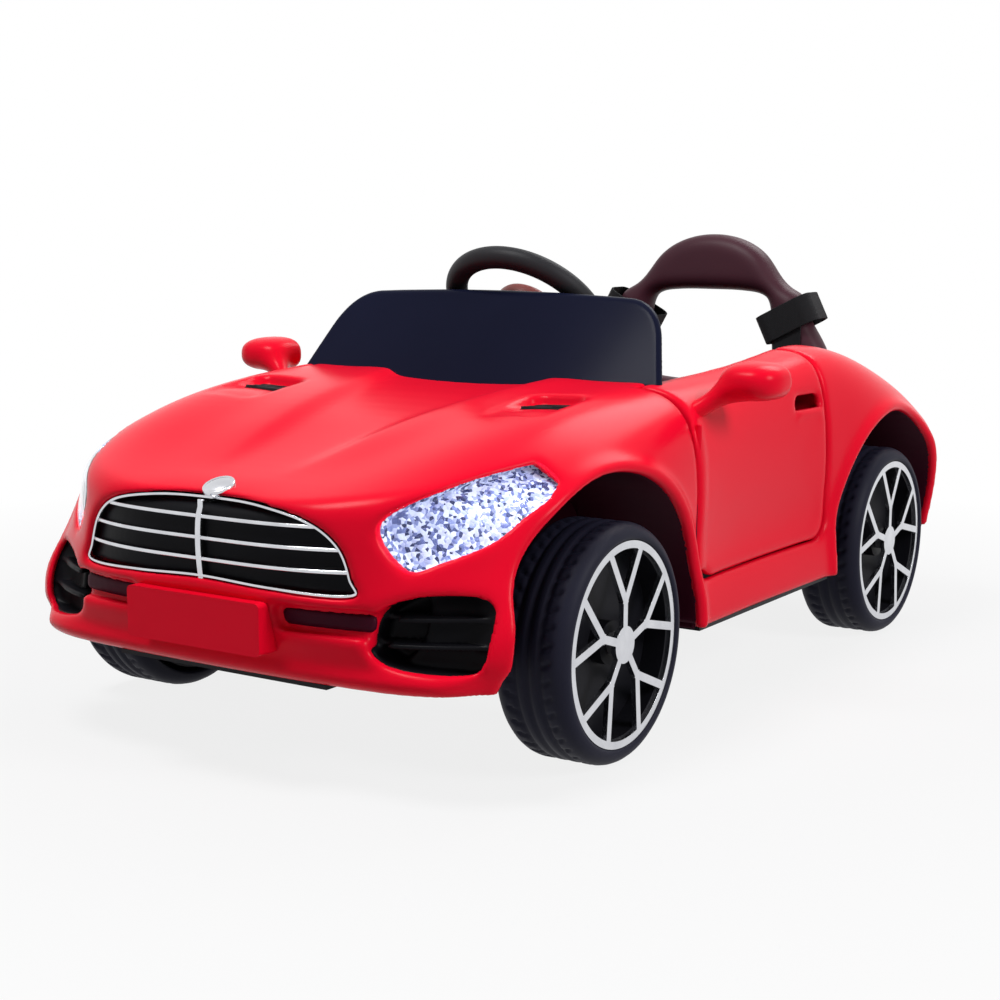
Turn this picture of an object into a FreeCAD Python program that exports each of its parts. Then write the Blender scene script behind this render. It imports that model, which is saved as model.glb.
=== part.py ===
import FreeCAD, Part
import functools
import math
import os
from FreeCAD import Vector

# Child's battery ride-on roadster. The nose points to -Y, the driver's left is +X, Z is up.
# The origin lies on the ground under the middle of the car. All lengths are millimetres.

# Driving sizes of the whole car
CAR_LENGTH = 1080.0
BODY_WIDTH = 604.0
CREST_HEIGHT = 348.0
BODY_BOTTOM = 94.0
WHEELBASE = 640.0
REAR_OVERHANG = 192.0
WHEEL_RADIUS = 110.0
WHEEL_WIDTH = 75.0
WHEEL_FACE_X = 292.0

HALF_LENGTH = CAR_LENGTH / 2
HALF_WIDTH = BODY_WIDTH / 2
REAR_AXLE_Y = HALF_LENGTH - REAR_OVERHANG
FRONT_AXLE_Y = REAR_AXLE_Y - WHEELBASE
AXLE_Z = WHEEL_RADIUS

# Shared fits
OVERRUN = 60.0
SEAT_GAP = 0.3
RUN_GAP = 0.05
SHUT_GAP = 2.5

# Body shell
BODY_WALL = 5.0
TUCK_HEIGHT = 158.0
SKIRT_HEIGHT = 122.0
WAIST_HEIGHT = 212.0
REAR_BUMPER_RISE = 24.0
REAR_BUMPER_RUN = 96.0
INNER_POINT_SHARE = 0.55
# Along the car: place, then half widths of sill, tuck, waist and shoulder, shoulder height,
# crown half width, crown height, height between crown and centre, centre height
BODY_SECTION_SHARES = [
    (-1.050, 0.858, 0.871, 0.884, 0.868, 0.546, 0.563, 0.680, 0.684, 0.684),
    (-0.926, 0.874, 0.894, 0.914, 0.894, 0.590, 0.629, 0.737, 0.735, 0.733),
    (-0.826, 0.901, 0.921, 0.940, 0.911, 0.652, 0.666, 0.791, 0.771, 0.758),
    (-0.726, 0.927, 0.940, 0.954, 0.924, 0.709, 0.686, 0.850, 0.808, 0.787),
    (-0.630, 0.944, 0.950, 0.960, 0.937, 0.747, 0.702, 0.893, 0.843, 0.819),
    (-0.541, 0.950, 0.957, 0.964, 0.944, 0.776, 0.715, 0.922, 0.872, 0.848),
    (-0.407, 0.950, 0.947, 0.957, 0.937, 0.810, 0.735, 0.945, 0.898, 0.876),
    (-0.278, 0.947, 0.919, 0.937, 0.917, 0.851, 0.755, 0.948, 0.918, 0.902),
    (-0.111, 0.940, 0.881, 0.917, 0.894, 0.882, 0.785, 0.953, 0.935, 0.920),
    (0.111, 0.940, 0.877, 0.914, 0.891, 0.891, 0.806, 0.963, 0.947, 0.937),
    (0.296, 0.947, 0.894, 0.927, 0.904, 0.911, 0.815, 0.997, 0.975, 0.966),
    (0.426, 0.960, 0.940, 0.954, 0.924, 0.897, 0.818, 1.023, 0.981, 0.960),
    (0.574, 0.980, 0.980, 0.990, 0.964, 0.839, 0.808, 0.993, 0.918, 0.874),
    (0.741, 0.987, 0.990, 0.997, 0.974, 0.753, 0.795, 0.919, 0.837, 0.805),
    (0.870, 0.967, 0.974, 0.980, 0.954, 0.690, 0.775, 0.853, 0.791, 0.770),
    (0.981, 0.934, 0.944, 0.950, 0.924, 0.626, 0.735, 0.775, 0.743, 0.730),
    (1.050, 0.907, 0.917, 0.924, 0.894, 0.592, 0.709, 0.723, 0.697, 0.690),
]
# Nose seen from above: half width places, and the sweep back at each of them
NOSE_SWEEP = 200.0
NOSE_STANDOFF = 6.0
NOSE_WIDTH_SHARES = (0.0, 0.331, 0.497, 0.662, 0.795, 0.877, 0.944, 1.100)
# Height, setback of the centre, then the sweep at each half width place
NOSE_LEVEL_SHARES = [
    (0.160, 0.170, 0.000, 0.010, 0.025, 0.065, 0.165, 0.270, 0.380, 0.700),
    (0.260, 0.135, 0.000, 0.010, 0.025, 0.065, 0.165, 0.270, 0.380, 0.700),
    (0.400, 0.060, 0.000, 0.010, 0.040, 0.110, 0.225, 0.330, 0.460, 0.820),
    (0.575, 0.000, 0.000, 0.025, 0.110, 0.275, 0.450, 0.640, 0.830, 1.300),
    (0.720, 0.020, 0.000, 0.040, 0.130, 0.305, 0.530, 0.740, 0.960, 1.450),
    (0.880, 0.100, 0.000, 0.050, 0.160, 0.360, 0.600, 0.830, 1.060, 1.550),
    (1.200, 0.300, 0.000, 0.060, 0.180, 0.400, 0.660, 0.900, 1.150, 1.650),
]
# Tail seen from above, as shares of the tail sweep, at the same half width places
TAIL_SWEEP = 60.0
TAIL_LEVEL_SHARES = [
    (0.160, 0.300, 0.000, 0.010, 0.030, 0.070, 0.130, 0.260, 0.600, 1.900),
    (0.260, 0.240, 0.000, 0.010, 0.030, 0.070, 0.130, 0.260, 0.600, 1.900),
    (0.400, 0.100, 0.000, 0.010, 0.030, 0.070, 0.130, 0.260, 0.600, 1.900),
    (0.575, 0.000, 0.000, 0.010, 0.030, 0.070, 0.140, 0.280, 0.640, 1.950),
    (0.720, 0.060, 0.000, 0.012, 0.040, 0.090, 0.180, 0.340, 0.720, 2.050),
    (0.880, 0.400, 0.000, 0.015, 0.050, 0.120, 0.240, 0.430, 0.850, 2.200),
    (1.200, 1.200, 0.000, 0.020, 0.070, 0.160, 0.320, 0.540, 1.000, 2.400),
]

# Wheel arches and their liners
ARCH_RADIUS = 155.0
ARCH_DROP = 2.0
LINER_GAP = 5.0
LINER_WALL = 3.0
FRONT_LINER_INNER_X = 160.0
REAR_LINER_INNER_X = 206.0
LINER_OUTER_X = 236.0
LINER_SLOT_HALF = 34.0
LINER_SLOT_TOP = 140.0

# Cockpit
COWL_Y = -104.0
DECK_Y = 476.0
COCKPIT_HALF_WIDTH = 208.0
COCKPIT_CORNER = 30.0
COCKPIT_CUT_BASE = 240.0

# Doors
DOOR_HINGE_Y = -122.0
DOOR_HINGE_X = 273.0
DOOR_REAR_Y = 178.0
DOOR_SILL_Z = 140.0
DOOR_CORNER = 30.0
DOOR_INNER_X = 208.0
DOOR_BARREL_RADIUS = 8.5
DOOR_FRONT_GAP = 1.5
DOOR_CARD_WALL = 4.0
DOOR_CARD_RIM = 6.0
HINGE_PIN_RADIUS = 3.0
HINGE_BARREL_BASE = 168.0
HINGE_BARREL_TOP = 280.0
HINGE_LUG_HEIGHT = 10.0
HINGE_LUG_REACH = 30.0
HINGE_LUG_EAR = 6.5

# Nose openings, half outlines seen from the front as shares of half width and crest height
GRILLE_OUTLINE_SHARES = (
    (0.000, 0.712), (0.200, 0.707), (0.364, 0.681), (0.457, 0.626),
    (0.497, 0.546), (0.497, 0.500), (0.250, 0.503), (0.000, 0.511),
)
INTAKE_OUTLINE_SHARES = (
    (0.546, 0.399), (0.570, 0.465), (0.650, 0.500), (0.762, 0.506),
    (0.835, 0.480), (0.846, 0.402), (0.825, 0.336), (0.750, 0.326), (0.610, 0.339), (0.556, 0.365),
)
LAMP_OUTLINE_SHARES = (
    (0.556, 0.672), (0.679, 0.753), (0.781, 0.790), (0.828, 0.799),
    (0.868, 0.730), (0.838, 0.684), (0.788, 0.626), (0.699, 0.586), (0.622, 0.569),
)
NOSE_CUT_FRONT = -620.0
NOSE_CUT_REAR = -380.0
GRILLE_CUT_REAR = -490.0
LAMP_CUT_REAR = -362.0
FIT_GAP = 0.5
GRILLE_FLANGE = 7.0
GRILLE_PANEL_WALL = 4.0
SLAT_COUNT = 3
SLAT_HEIGHT = 4.5
SLAT_PROUD = 3.4
CENTRE_BAR_WIDTH = 6.0
INTAKE_FLANGE = 4.0
INTAKE_DEPTH = 26.0
INTAKE_RIBS = 2
INTAKE_RIB_HEIGHT = 4.0
LAMP_LENS_WALL = 3.0
LAMP_BOWL_DEPTH = 24.0
LAMP_BOWL_WALL = 2.5
BADGE_RADIUS = 15.0
BADGE_THICKNESS = 5.0
BADGE_Y = -497.0
BADGE_TILT_DEG = 62.0

# Number plates
PLATE_WIDTH = 152.0
PLATE_HEIGHT = 46.0
PLATE_BASE_Z = 119.0
REAR_PLATE_BASE_Z = 152.0
PLATE_CORNER = 5.0

# Tail lamps
TAIL_LAMP_OUTLINE_SHARES = (
    (0.480, 0.600), (0.660, 0.640), (0.820, 0.660), (0.850, 0.610), (0.780, 0.560), (0.560, 0.550),
)
TAIL_CUT_FRONT = 440.0
TAIL_CUT_REAR = 620.0
TAIL_LAMP_WALL = 4.0

# Windscreen
SCREEN_BASE_HALF_WIDTH = 225.0
SCREEN_TOP_HALF_WIDTH = 192.0
SCREEN_BASE_SHARE = 0.90805
SCREEN_BASE_Z = CREST_HEIGHT * SCREEN_BASE_SHARE
SCREEN_HEIGHT = 94.0
SCREEN_BASE_Y = -127.0
SCREEN_BASE_BOW = 14.0
SCREEN_RAKE = 72.0
SCREEN_TOP_BOW = 4.0
SCREEN_WALL = 5.0
SCREEN_CORNER = 34.0
SCREEN_FOOT = 3.0

# Mirrors
MIRROR_ROOT_X = 262.0
MIRROR_Y = -74.0
MIRROR_SHARE = 0.94828
MIRROR_Z = CREST_HEIGHT * MIRROR_SHARE
MIRROR_WIDTH = 62.0
MIRROR_HEIGHT = 34.0
MIRROR_DEPTH = 46.0
MIRROR_ROUND = 12.0
MIRROR_STALK_RADIUS = 9.0
MIRROR_GLASS_WALL = 2.5
MIRROR_GLASS_RIM = 6.0
MIRROR_OUT_X = 336.0
MIRROR_STALK_Y = -100.0
MIRROR_STALK_SHARE = 0.87931
MIRROR_STALK_Z = CREST_HEIGHT * MIRROR_STALK_SHARE

# Chassis pan
PAN_WALL = 4.0
PAN_FLOOR_Z = 84.0
PAN_FRONT_Y = -438.0
PAN_STEP_FRONT_Y = -176.0
PAN_CORNER_SETBACK = 28.0
PAN_STEP_REAR_Y = 226.0
PAN_REAR_Y = 470.0
PAN_FRONT_DECK_Z = 146.0
PAN_REAR_DECK_Z = 178.0
PAN_SILL_FRONT_Y = -128.0
PAN_SILL_REAR_Y = 184.0
PAN_SILL_X = 244.0
PAN_FLANGE_X = 281.0
PAN_FRONT_HALF_WIDTH = 159.7
PAN_REAR_HALF_WIDTH = 205.7
PAN_TONGUE_HALF_WIDTH = 120.0
PAN_TONGUE_Y = -505.0

# Steering
STEER_CENTRE_Y = -1.0
STEER_CENTRE_Z = 386.0
STEER_LEAN_DEG = 45.0
STEER_RING_RADIUS = 83.0
STEER_GRIP_RADIUS = 12.0
STEER_HUB_RADIUS = 34.0
STEER_HUB_DEPTH = 20.0
STEER_SPOKE_WIDTH = 22.0
STEER_SPOKE_DEPTH = 9.0
STEER_SPOKES_DEG = (0.0, 180.0, 90.0)
COLUMN_RADIUS = 7.0
COLUMN_FOOT_RISE = 68.155
COLUMN_COLLAR_RADIUS = 13.0
COLUMN_COLLAR_LENGTH = 14.0
COLUMN_SLOT_HALF = 36.0
COLUMN_SLOT_FRONT_Y = -268.0
COLUMN_SLOT_REAR_Y = -188.0
COLUMN_BEARING_AT = 286.0
COLUMN_BEARING_LENGTH = 30.0
COLUMN_BEARING_RADIUS = 15.0
COLUMN_BEARING_FOOT = 64.0
CRANK_LENGTH = 45.0
CRANK_THICKNESS = 8.0
CRANK_WIDTH = 18.0
CRANK_PIN_RADIUS = 4.0
CRANK_PIN_LENGTH = 22.0
HORN_RADIUS = 22.0
HORN_PROUD = 5.0
HORN_GAP = 0.6
HORN_TRAVEL = 2.0
HORN_RECESS = 7.0
FORK_GAP = 0.8
FORK_WALL = 6.0
FORK_REACH = 13.0
KING_PIN_X = 196.0
KING_PIN_RADIUS = 5.0
KNUCKLE_RADIUS = 11.0
KNUCKLE_HEIGHT = 40.0
KNUCKLE_END_GAP = 0.3
STEER_ARM_WIDTH = 16.0
STEER_ARM_THICKNESS = 6.0
STEER_HUB_RISE = 8.0
TIE_PIN_RADIUS = 3.0
TIE_SLOT_HALF = 7.0
TIE_PIN_GAP = 0.8
TIE_ROD_RADIUS = 4.5
TIE_ROD_DROP = 1.0
AXLE_BEAM_SIZE = 20.0
CLEVIS_WALL = 5.0
CLEVIS_LENGTH = 32.0
CLEVIS_WIDTH = 26.0
BEAM_POST_X = 90.0
BEAM_POST_SIZE = 24.0

# Wheels
AXLE_RADIUS = 6.0
RIM_SEAT_RADIUS = 90.0
RIM_BARREL_WALL = 4.0
RIM_WEB_WALL = 6.0
RIM_WEB_DEPTH = 22.0
RIM_HUB_RADIUS = 20.0
RIM_INNER_SETBACK = 3.0
TYRE_CREST = 4.0
TYRE_GROOVE_DEPTH = 3.0
TYRE_GROOVE_WIDTH = 5.0
TYRE_SHOULDER = 12.0
TYRE_GROOVE_SHARES = (0.3, 0.5, 0.7)
TRIM_RING_RADIUS = 94.0
TRIM_RING_WIDTH = 7.0
TRIM_THICKNESS = 5.0
TRIM_INSET = 2.0
TRIM_HUB_RADIUS = 17.0
TRIM_SPOKES = 5
TRIM_SPOKE_WIDTH = 7.5
TRIM_FORK_SHARE = 0.44
TRIM_FORK_DEG = 18.0
AXLE_NUT_RADIUS = 11.0
AXLE_NUT_WIDTH = 7.0
WHEEL_SIDE_GAP = 1.0

# Rear axle and drive
AXLE_BRACKET_X = 120.0
AXLE_BRACKET_WIDTH = 22.0
AXLE_BRACKET_HALF = 20.0
STUB_END_GAP = 2.0
GEARBOX_INNER_X = 148.0
GEARBOX_OUTER_X = 196.0
GEARBOX_HALF_LENGTH = 58.0
GEARBOX_BASE_Z = 64.0
GEARBOX_WALL = 3.0
DRIVE_GEAR_WIDTH = 16.0
DRIVE_GEAR_TEETH = 48
DRIVE_COLLAR_RADIUS = 15.0
MOTOR_RADIUS = 18.0
MOTOR_LENGTH = 56.0

# Battery and electrics
BATTERY_LENGTH = 151.0
BATTERY_WIDTH = 65.0
BATTERY_HEIGHT = 80.0
BATTERY_Y = 120.0
BATTERY_ROUND = 5.0
BATTERY_POST_RADIUS = 4.0
BATTERY_POST_HEIGHT = 7.0
SOCKET_RADIUS = 9.0
SOCKET_BORE = 3.2
SOCKET_LENGTH = 20.0
SOCKET_FLANGE_RADIUS = 13.0
SOCKET_FLANGE_WALL = 2.5
SOCKET_X = 150.0

# Dashboard and switches
DASH_FRONT_Y = -98.0
DASH_REAR_Y = -44.0
DASH_HALF_WIDTH = 196.0
DASH_BASE_Z = 246.0
DASH_TOP_Z = 318.0
DASH_SLOPE = 26.0
DASH_ROUND = 9.0
DASH_TAB_X = 150.0
DASH_TAB_FRONT_Y = -122.0
DASH_COLUMN_GAP = 2.0
BUTTON_X = 96.0
BUTTON_RADIUS = 11.0
BUTTON_LENGTH = 14.0
BUTTON_PROUD = 5.0
BUTTON_GAP = 0.5
BUTTON_TRAVEL = 2.5
SWITCH_HEIGHT_SHARE = 0.5
ROCKER_X = -96.0
ROCKER_WIDTH = 16.0
ROCKER_RADIUS = 13.0
ROCKER_GAP = 0.6
ROCKER_PIN_RADIUS = 2.5
ROCKER_DEPTH = 6.0
ROCKER_THUMB = 5.0

# Pedal
PEDAL_X = -62.0
PEDAL_WIDTH = 64.0
PEDAL_LENGTH = 96.0
PEDAL_WALL = 7.0
PEDAL_LEAN_DEG = 34.0
PEDAL_HINGE_Y = -60.0
PEDAL_PIN_RADIUS = 3.5
PEDAL_BARREL_RADIUS = 8.0
PEDAL_EAR_WALL = 5.0
PEDAL_RIBS = 5
PEDAL_RIB_HEIGHT = 2.0
PEDAL_SIDE_GAP = 0.5

# Seat
SEAT_HALF_WIDTH = 165.0
SEAT_FRONT_Y = 168.0
SEAT_REAR_Y = 408.0
SEAT_TOP_Z = 214.0
SEAT_ROUND = 14.0
SEAT_DISH = 10.0
SEAT_DISH_RIM = 30.0
SEAT_SKIRT_Y = 200.0
SEAT_SKIRT_WALL = 8.0
HOOP_Y = 412.0
HOOP_DEPTH = 42.0
HOOP_LEAN_DEG = 4.0
# Half outline of the seat back seen from the front: half width, height above its foot
HOOP_RISE = 284.0
HOOP_HALF_WIDTH = 168.0
HOOP_OUTER_SHARES = (
    (0.000, 1.000), (0.250, 0.975), (0.440, 0.905), (0.560, 0.815), (0.660, 0.765), (0.745, 0.735),
    (0.800, 0.660), (0.900, 0.560), (0.985, 0.460), (1.000, 0.300), (0.985, 0.000),
)
HOOP_WINDOW_SHARES = (
    (0.000, 0.752), (0.250, 0.750), (0.430, 0.735), (0.505, 0.690), (0.530, 0.560),
    (0.545, 0.420), (0.510, 0.365), (0.300, 0.345), (0.000, 0.342),
)

# Seat belt
BELT_WIDTH = 36.0
BELT_WALL = 2.4
BELT_GAP = 1.2
BELT_LOOP_Z = 362.0
BELT_X = 118.0
BELT_INNER_X = 79.0
BELT_OUTER_X = 152.0
BUCKLE_LENGTH = 62.0
BUCKLE_WIDTH = 46.0
BUCKLE_HEIGHT = 16.0
BUCKLE_Y = 300.0
BUCKLE_ROUND = 4.0

# Door fittings
LATCH_Y = -66.0
LATCH_LENGTH = 54.0
LATCH_HEIGHT = 16.0
LATCH_WALL = 9.0
LATCH_PIN_RADIUS = 3.0
LATCH_SHARE = 0.90805
LATCH_Z = CREST_HEIGHT * LATCH_SHARE
HANDLE_Y = 140.0
HANDLE_Z = 284.0
HANDLE_LENGTH = 52.0
HANDLE_HEIGHT = 12.0
HANDLE_PROUD = 4.0

# Fasteners
SCREW_HEAD_RADIUS = 6.0
SCREW_HEAD_HEIGHT = 3.0
SCREW_PLACE_SHARES = (0.1, 0.5, 0.9)

# Gear teeth
PINION_SHAFT_RADIUS = 3.0
PINION_SHAFT_IN = 24.0
GEAR_SIDE_GAP = 4.0
GEAR_MODULE = 1.6
PINION_TEETH = 14
TOOTH_DEPTH = 3.0
TOOTH_ROOT_SHARE = 0.22
TOOTH_TIP_SHARE = 0.09
MESH_GAP = 0.7
PINION_ANGLE_DEG = 38.0


# Small building helpers

def box(x0, x1, y0, y1, z0, z1):
    """Block between two corners."""
    return Part.makeBox(x1 - x0, y1 - y0, z1 - z0, Vector(x0, y0, z0))


def rod(radius, start, end):
    """Round bar between two points."""
    axis = end - start
    return Part.makeCylinder(radius, axis.Length, start, axis)


def mirrored(shape):
    """The same piece on the other side of the car."""
    return shape.mirror(Vector(0, 0, 0), Vector(1, 0, 0))


def group(shapes):
    """Separate solids kept together in one node."""
    solids = []
    for shape in shapes:
        solids.extend(shape.Solids)
    return Part.makeCompound(solids)


def fused(shapes):
    """One solid out of several that touch."""
    return shapes[0].multiFuse(shapes[1:]).removeSplitter()


def moved(shape, x, y, z):
    """A copy of the shape in another place."""
    copy = shape.copy()
    copy.translate(Vector(x, y, z))
    return copy


def turned(shape, centre, axis, degrees):
    """A copy of the shape turned about an axis."""
    copy = shape.copy()
    copy.rotate(centre, axis, degrees)
    return copy


def closed_face(points):
    """Flat face inside straight edges."""
    return Part.Face(Part.makePolygon(points + points[:1]))


def smooth_face(points):
    """Flat face inside one closed smooth curve."""
    curve = Part.BSplineCurve()
    curve.interpolate(points, PeriodicFlag=True)
    return Part.Face(Part.Wire([curve.toShape()]))


def grown(points, amount):
    """Outline points pushed outward, away from their middle line, by one amount."""
    count = len(points)
    turn = sum(points[i - 1][0] * points[i][1] - points[i][0] * points[i - 1][1] for i in range(count))
    side = math.copysign(1, turn)
    result = []
    for i in range(count):
        before = points[i - 1]
        after = points[(i + 1) % count]
        dx = after[0] - before[0]
        dz = after[1] - before[1]
        reach = math.hypot(dx, dz)
        result.append((points[i][0] + side * amount * dz / reach,
                       points[i][1] - side * amount * dx / reach))
    return result


def front_prism(points, y0, y1):
    """Solid with an outline seen from the front."""
    face = smooth_face([Vector(x, y0, z) for x, z in points])
    return face.extrude(Vector(0, y1 - y0, 0))


def revolved(points, axis_point, axis):
    """Full turn of a closed outline."""
    return closed_face(points).revolve(axis_point, axis, 360)


# Body surface

def body_section(row, inset):
    """Half section of the body, from sill to centre line, moved inward by the inset."""
    sill, tuck, waist, shoulder, shoulder_z, crown, crown_z, inner_z, centre_z = row[1:]
    inner = crown * INNER_POINT_SHARE
    points = [
        (sill * HALF_WIDTH, BODY_BOTTOM),
        (sill * HALF_WIDTH, SKIRT_HEIGHT),
        (tuck * HALF_WIDTH, TUCK_HEIGHT),
        (waist * HALF_WIDTH, WAIST_HEIGHT),
        (shoulder * HALF_WIDTH, shoulder_z * CREST_HEIGHT),
        (crown * HALF_WIDTH, crown_z * CREST_HEIGHT),
        (inner * HALF_WIDTH, inner_z * CREST_HEIGHT),
        (0, centre_z * CREST_HEIGHT),
    ]
    return inset_path(points, inset)


def inset_path(points, inset):
    """Open path moved to the side of its inner face."""
    result = []
    last = len(points) - 1
    for i in range(len(points)):
        before = points[max(i - 1, 0)]
        after = points[min(i + 1, last)]
        dx = after[0] - before[0]
        dz = after[1] - before[1]
        if i == last:
            dz = 0
        reach = math.hypot(dx, dz)
        result.append((points[i][0] - inset * dz / reach, points[i][1] + inset * dx / reach))
    return result


def path_parameters(points):
    """Running length along a path, from 0 to 1."""
    lengths = [0]
    for i in range(1, len(points)):
        lengths.append(lengths[-1] + points[i].distanceToPoint(points[i - 1]))
    return [length / lengths[-1] for length in lengths]


def clamped_knots(count):
    """Knots and their multiplicities for a cubic row of control points with fixed ends."""
    spans = count - 3
    return list(range(spans + 1)), [4] + [1] * (spans - 1) + [4]


def end_line(edge):
    """Straight edge that closes an open curve."""
    return Part.makeLine(edge.valueAt(edge.FirstParameter), edge.valueAt(edge.LastParameter))


def body_loft(inset, bottom):
    """Long body form that flows along the control points of its sections."""
    rows = []
    for row in BODY_SECTION_SHARES:
        y = row[0] * HALF_LENGTH
        half = body_section(row, inset)
        half[0] = (half[0][0], bottom)
        left = [Vector(x, y, z) for x, z in half]
        rows.append(left + [Vector(-point.x, y, point.z) for point in reversed(left[:-1])])
    along_knots, along_mults = clamped_knots(len(rows))
    across_knots, across_mults = clamped_knots(len(rows[0]))
    surface = Part.BSplineSurface()
    surface.buildFromPolesMultsKnots(
        rows, along_mults, across_mults, along_knots, across_knots, False, False, 3, 3)
    left_sill = surface.vIso(across_knots[0]).toShape()
    right_sill = surface.vIso(across_knots[-1]).toShape()
    front = surface.uIso(along_knots[0]).toShape()
    rear = surface.uIso(along_knots[-1]).toShape()
    front_base = end_line(front)
    rear_base = end_line(rear)
    base = Part.Face(Part.Wire(Part.__sortEdges__([front_base, left_sill, rear_base, right_sill])))
    caps = [Part.Face(Part.Wire([front, front_base])), Part.Face(Part.Wire([rear, rear_base]))]
    shell = Part.makeShell([surface.toShape(), base] + caps)
    shell.sewShape()
    solid = Part.makeSolid(shell)
    if solid.Volume < 0:
        solid.reverse()
    return solid


def plan_curve(row, sweep, front, inset):
    """Nose or tail edge at one height, from the driver's left to the right."""
    direction = -1 if front else 1
    end = HALF_LENGTH - (NOSE_STANDOFF if front else 0)
    half = []
    for width, share in zip(NOSE_WIDTH_SHARES, row[2:]):
        half.append((width * HALF_WIDTH, end - sweep * (row[1] + share)))
    half = inset_path(list(reversed(half)), inset)
    z = row[0] * CREST_HEIGHT
    left = [Vector(x, direction * y, z) for x, y in half]
    points = left + [Vector(-point.x, point.y, z) for point in reversed(left[:-1])]
    curve = Part.BSplineCurve()
    curve.interpolate(points, Parameters=path_parameters(points))
    return curve.toShape(), points


def plan_loft(inset):
    """Block with the rounded nose and tail of the car seen from above."""
    wires = []
    for nose_row, tail_row in zip(NOSE_LEVEL_SHARES, TAIL_LEVEL_SHARES):
        nose, nose_points = plan_curve(nose_row, NOSE_SWEEP, True, inset)
        tail, tail_points = plan_curve(tail_row, TAIL_SWEEP, False, inset)
        left = Part.makeLine(nose_points[0], tail_points[0])
        right = Part.makeLine(nose_points[-1], tail_points[-1])
        wires.append(Part.Wire(Part.__sortEdges__([nose, right, tail, left])))
    return Part.makeLoft(wires, True, False)


@functools.lru_cache(maxsize=None)
def body_form(inset):
    """Closed body form, moved inward by the inset and open below when it is a hollow."""
    bottom = BODY_BOTTOM - OVERRUN / 2 if inset else BODY_BOTTOM
    return body_loft(inset, bottom).common(plan_loft(inset))


@functools.lru_cache(maxsize=None)
def skin(outer, inner):
    """Layer of the body between two depths under its surface."""
    return body_form(outer).cut(body_form(inner))


def outline(shares):
    """Outline seen from the front in millimetres."""
    return [(x * HALF_WIDTH, z * CREST_HEIGHT) for x, z in shares]


# Body and the pieces that follow its surface

def arch_cutters():
    """Round cuts of the four wheel arches."""
    cutters = []
    for y in (FRONT_AXLE_Y, REAR_AXLE_Y):
        centre = Vector(FRONT_LINER_INNER_X, y, AXLE_Z - ARCH_DROP)
        cutters.append(rod(ARCH_RADIUS, centre, centre + Vector(HALF_WIDTH, 0, 0)))
    return cutters + [mirrored(cutter) for cutter in cutters]


def cockpit_cutter():
    """Open top of the car with rounded corners."""
    block = box(-COCKPIT_HALF_WIDTH, COCKPIT_HALF_WIDTH, COWL_Y, DECK_Y,
                COCKPIT_CUT_BASE, CREST_HEIGHT + OVERRUN)
    upright = [edge for edge in block.Edges if edge.BoundBox.ZLength > edge.BoundBox.YLength
               and edge.BoundBox.ZLength > edge.BoundBox.XLength]
    return block.makeFillet(COCKPIT_CORNER, upright)


def door_block(front, rear, sill):
    """Side block of a door or of its opening, with rounded lower corners."""
    block = box(DOOR_INNER_X, HALF_WIDTH + OVERRUN, front, rear, sill, CREST_HEIGHT + OVERRUN)
    lower = [edge for edge in block.Edges if edge.BoundBox.ZMax < DOOR_SILL_Z + OVERRUN
             and edge.BoundBox.XLength > edge.BoundBox.YLength]
    return block.makeFillet(DOOR_CORNER, lower)


def hinge_axis_rod(radius, z0, z1):
    """Round bar on the door's hinge line."""
    return rod(radius, Vector(DOOR_HINGE_X, DOOR_HINGE_Y, z0), Vector(DOOR_HINGE_X, DOOR_HINGE_Y, z1))


def hinge_lugs(outer):
    """Two ears on the fender that carry the hinge pin."""
    lugs = []
    for base in (HINGE_BARREL_BASE - HINGE_LUG_HEIGHT - SEAT_GAP, HINGE_BARREL_TOP + SEAT_GAP):
        top = base + HINGE_LUG_HEIGHT
        ear = hinge_axis_rod(HINGE_LUG_EAR, base, top)
        arm = box(DOOR_HINGE_X - HINGE_LUG_EAR, DOOR_HINGE_X, DOOR_HINGE_Y - HINGE_LUG_REACH,
                  DOOR_HINGE_Y, base, top)
        root = box(DOOR_HINGE_X - HINGE_LUG_EAR, HALF_WIDTH, DOOR_HINGE_Y - HINGE_LUG_REACH,
                   DOOR_HINGE_Y - DOOR_BARREL_RADIUS - DOOR_FRONT_GAP, base, top)
        bore = hinge_axis_rod(HINGE_PIN_RADIUS + RUN_GAP, base, top)
        lugs.append(ear.multiFuse([arm, root]).common(outer).cut(bore))
    return lugs


def body_shell(outer, hollow):
    """Red one-piece moulding with all its openings and the door hinge ears."""
    opening_front = DOOR_HINGE_Y - DOOR_BARREL_RADIUS - DOOR_FRONT_GAP
    opening = door_block(opening_front, DOOR_REAR_Y + SHUT_GAP, DOOR_SILL_Z - SHUT_GAP)
    cutters = arch_cutters() + [cockpit_cutter(), opening, mirrored(opening)]
    for shares, rear in ((INTAKE_OUTLINE_SHARES, NOSE_CUT_REAR), (LAMP_OUTLINE_SHARES, LAMP_CUT_REAR)):
        cut = front_prism(outline(shares), NOSE_CUT_FRONT, rear)
        cutters.extend([cut, mirrored(cut)])
    cutters.append(front_prism(full_outline(GRILLE_OUTLINE_SHARES), NOSE_CUT_FRONT, GRILLE_CUT_REAR))
    tail = front_prism(outline(TAIL_LAMP_OUTLINE_SHARES), TAIL_CUT_FRONT, TAIL_CUT_REAR)
    cutters.extend([tail, mirrored(tail), rear_bumper_cutter()])
    shell = outer.cut(hollow)
    for cutter in cutters:
        shell = shell.cut(cutter)
    shell = largest(shell)
    lugs = hinge_lugs(outer)
    return shell.multiFuse(lugs + [mirrored(lug) for lug in lugs])


def full_outline(shares):
    """Whole outline from a half outline that starts and ends on the centre line."""
    half = outline(shares)
    return half + [(-x, z) for x, z in reversed(half[1:-1])]


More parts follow.
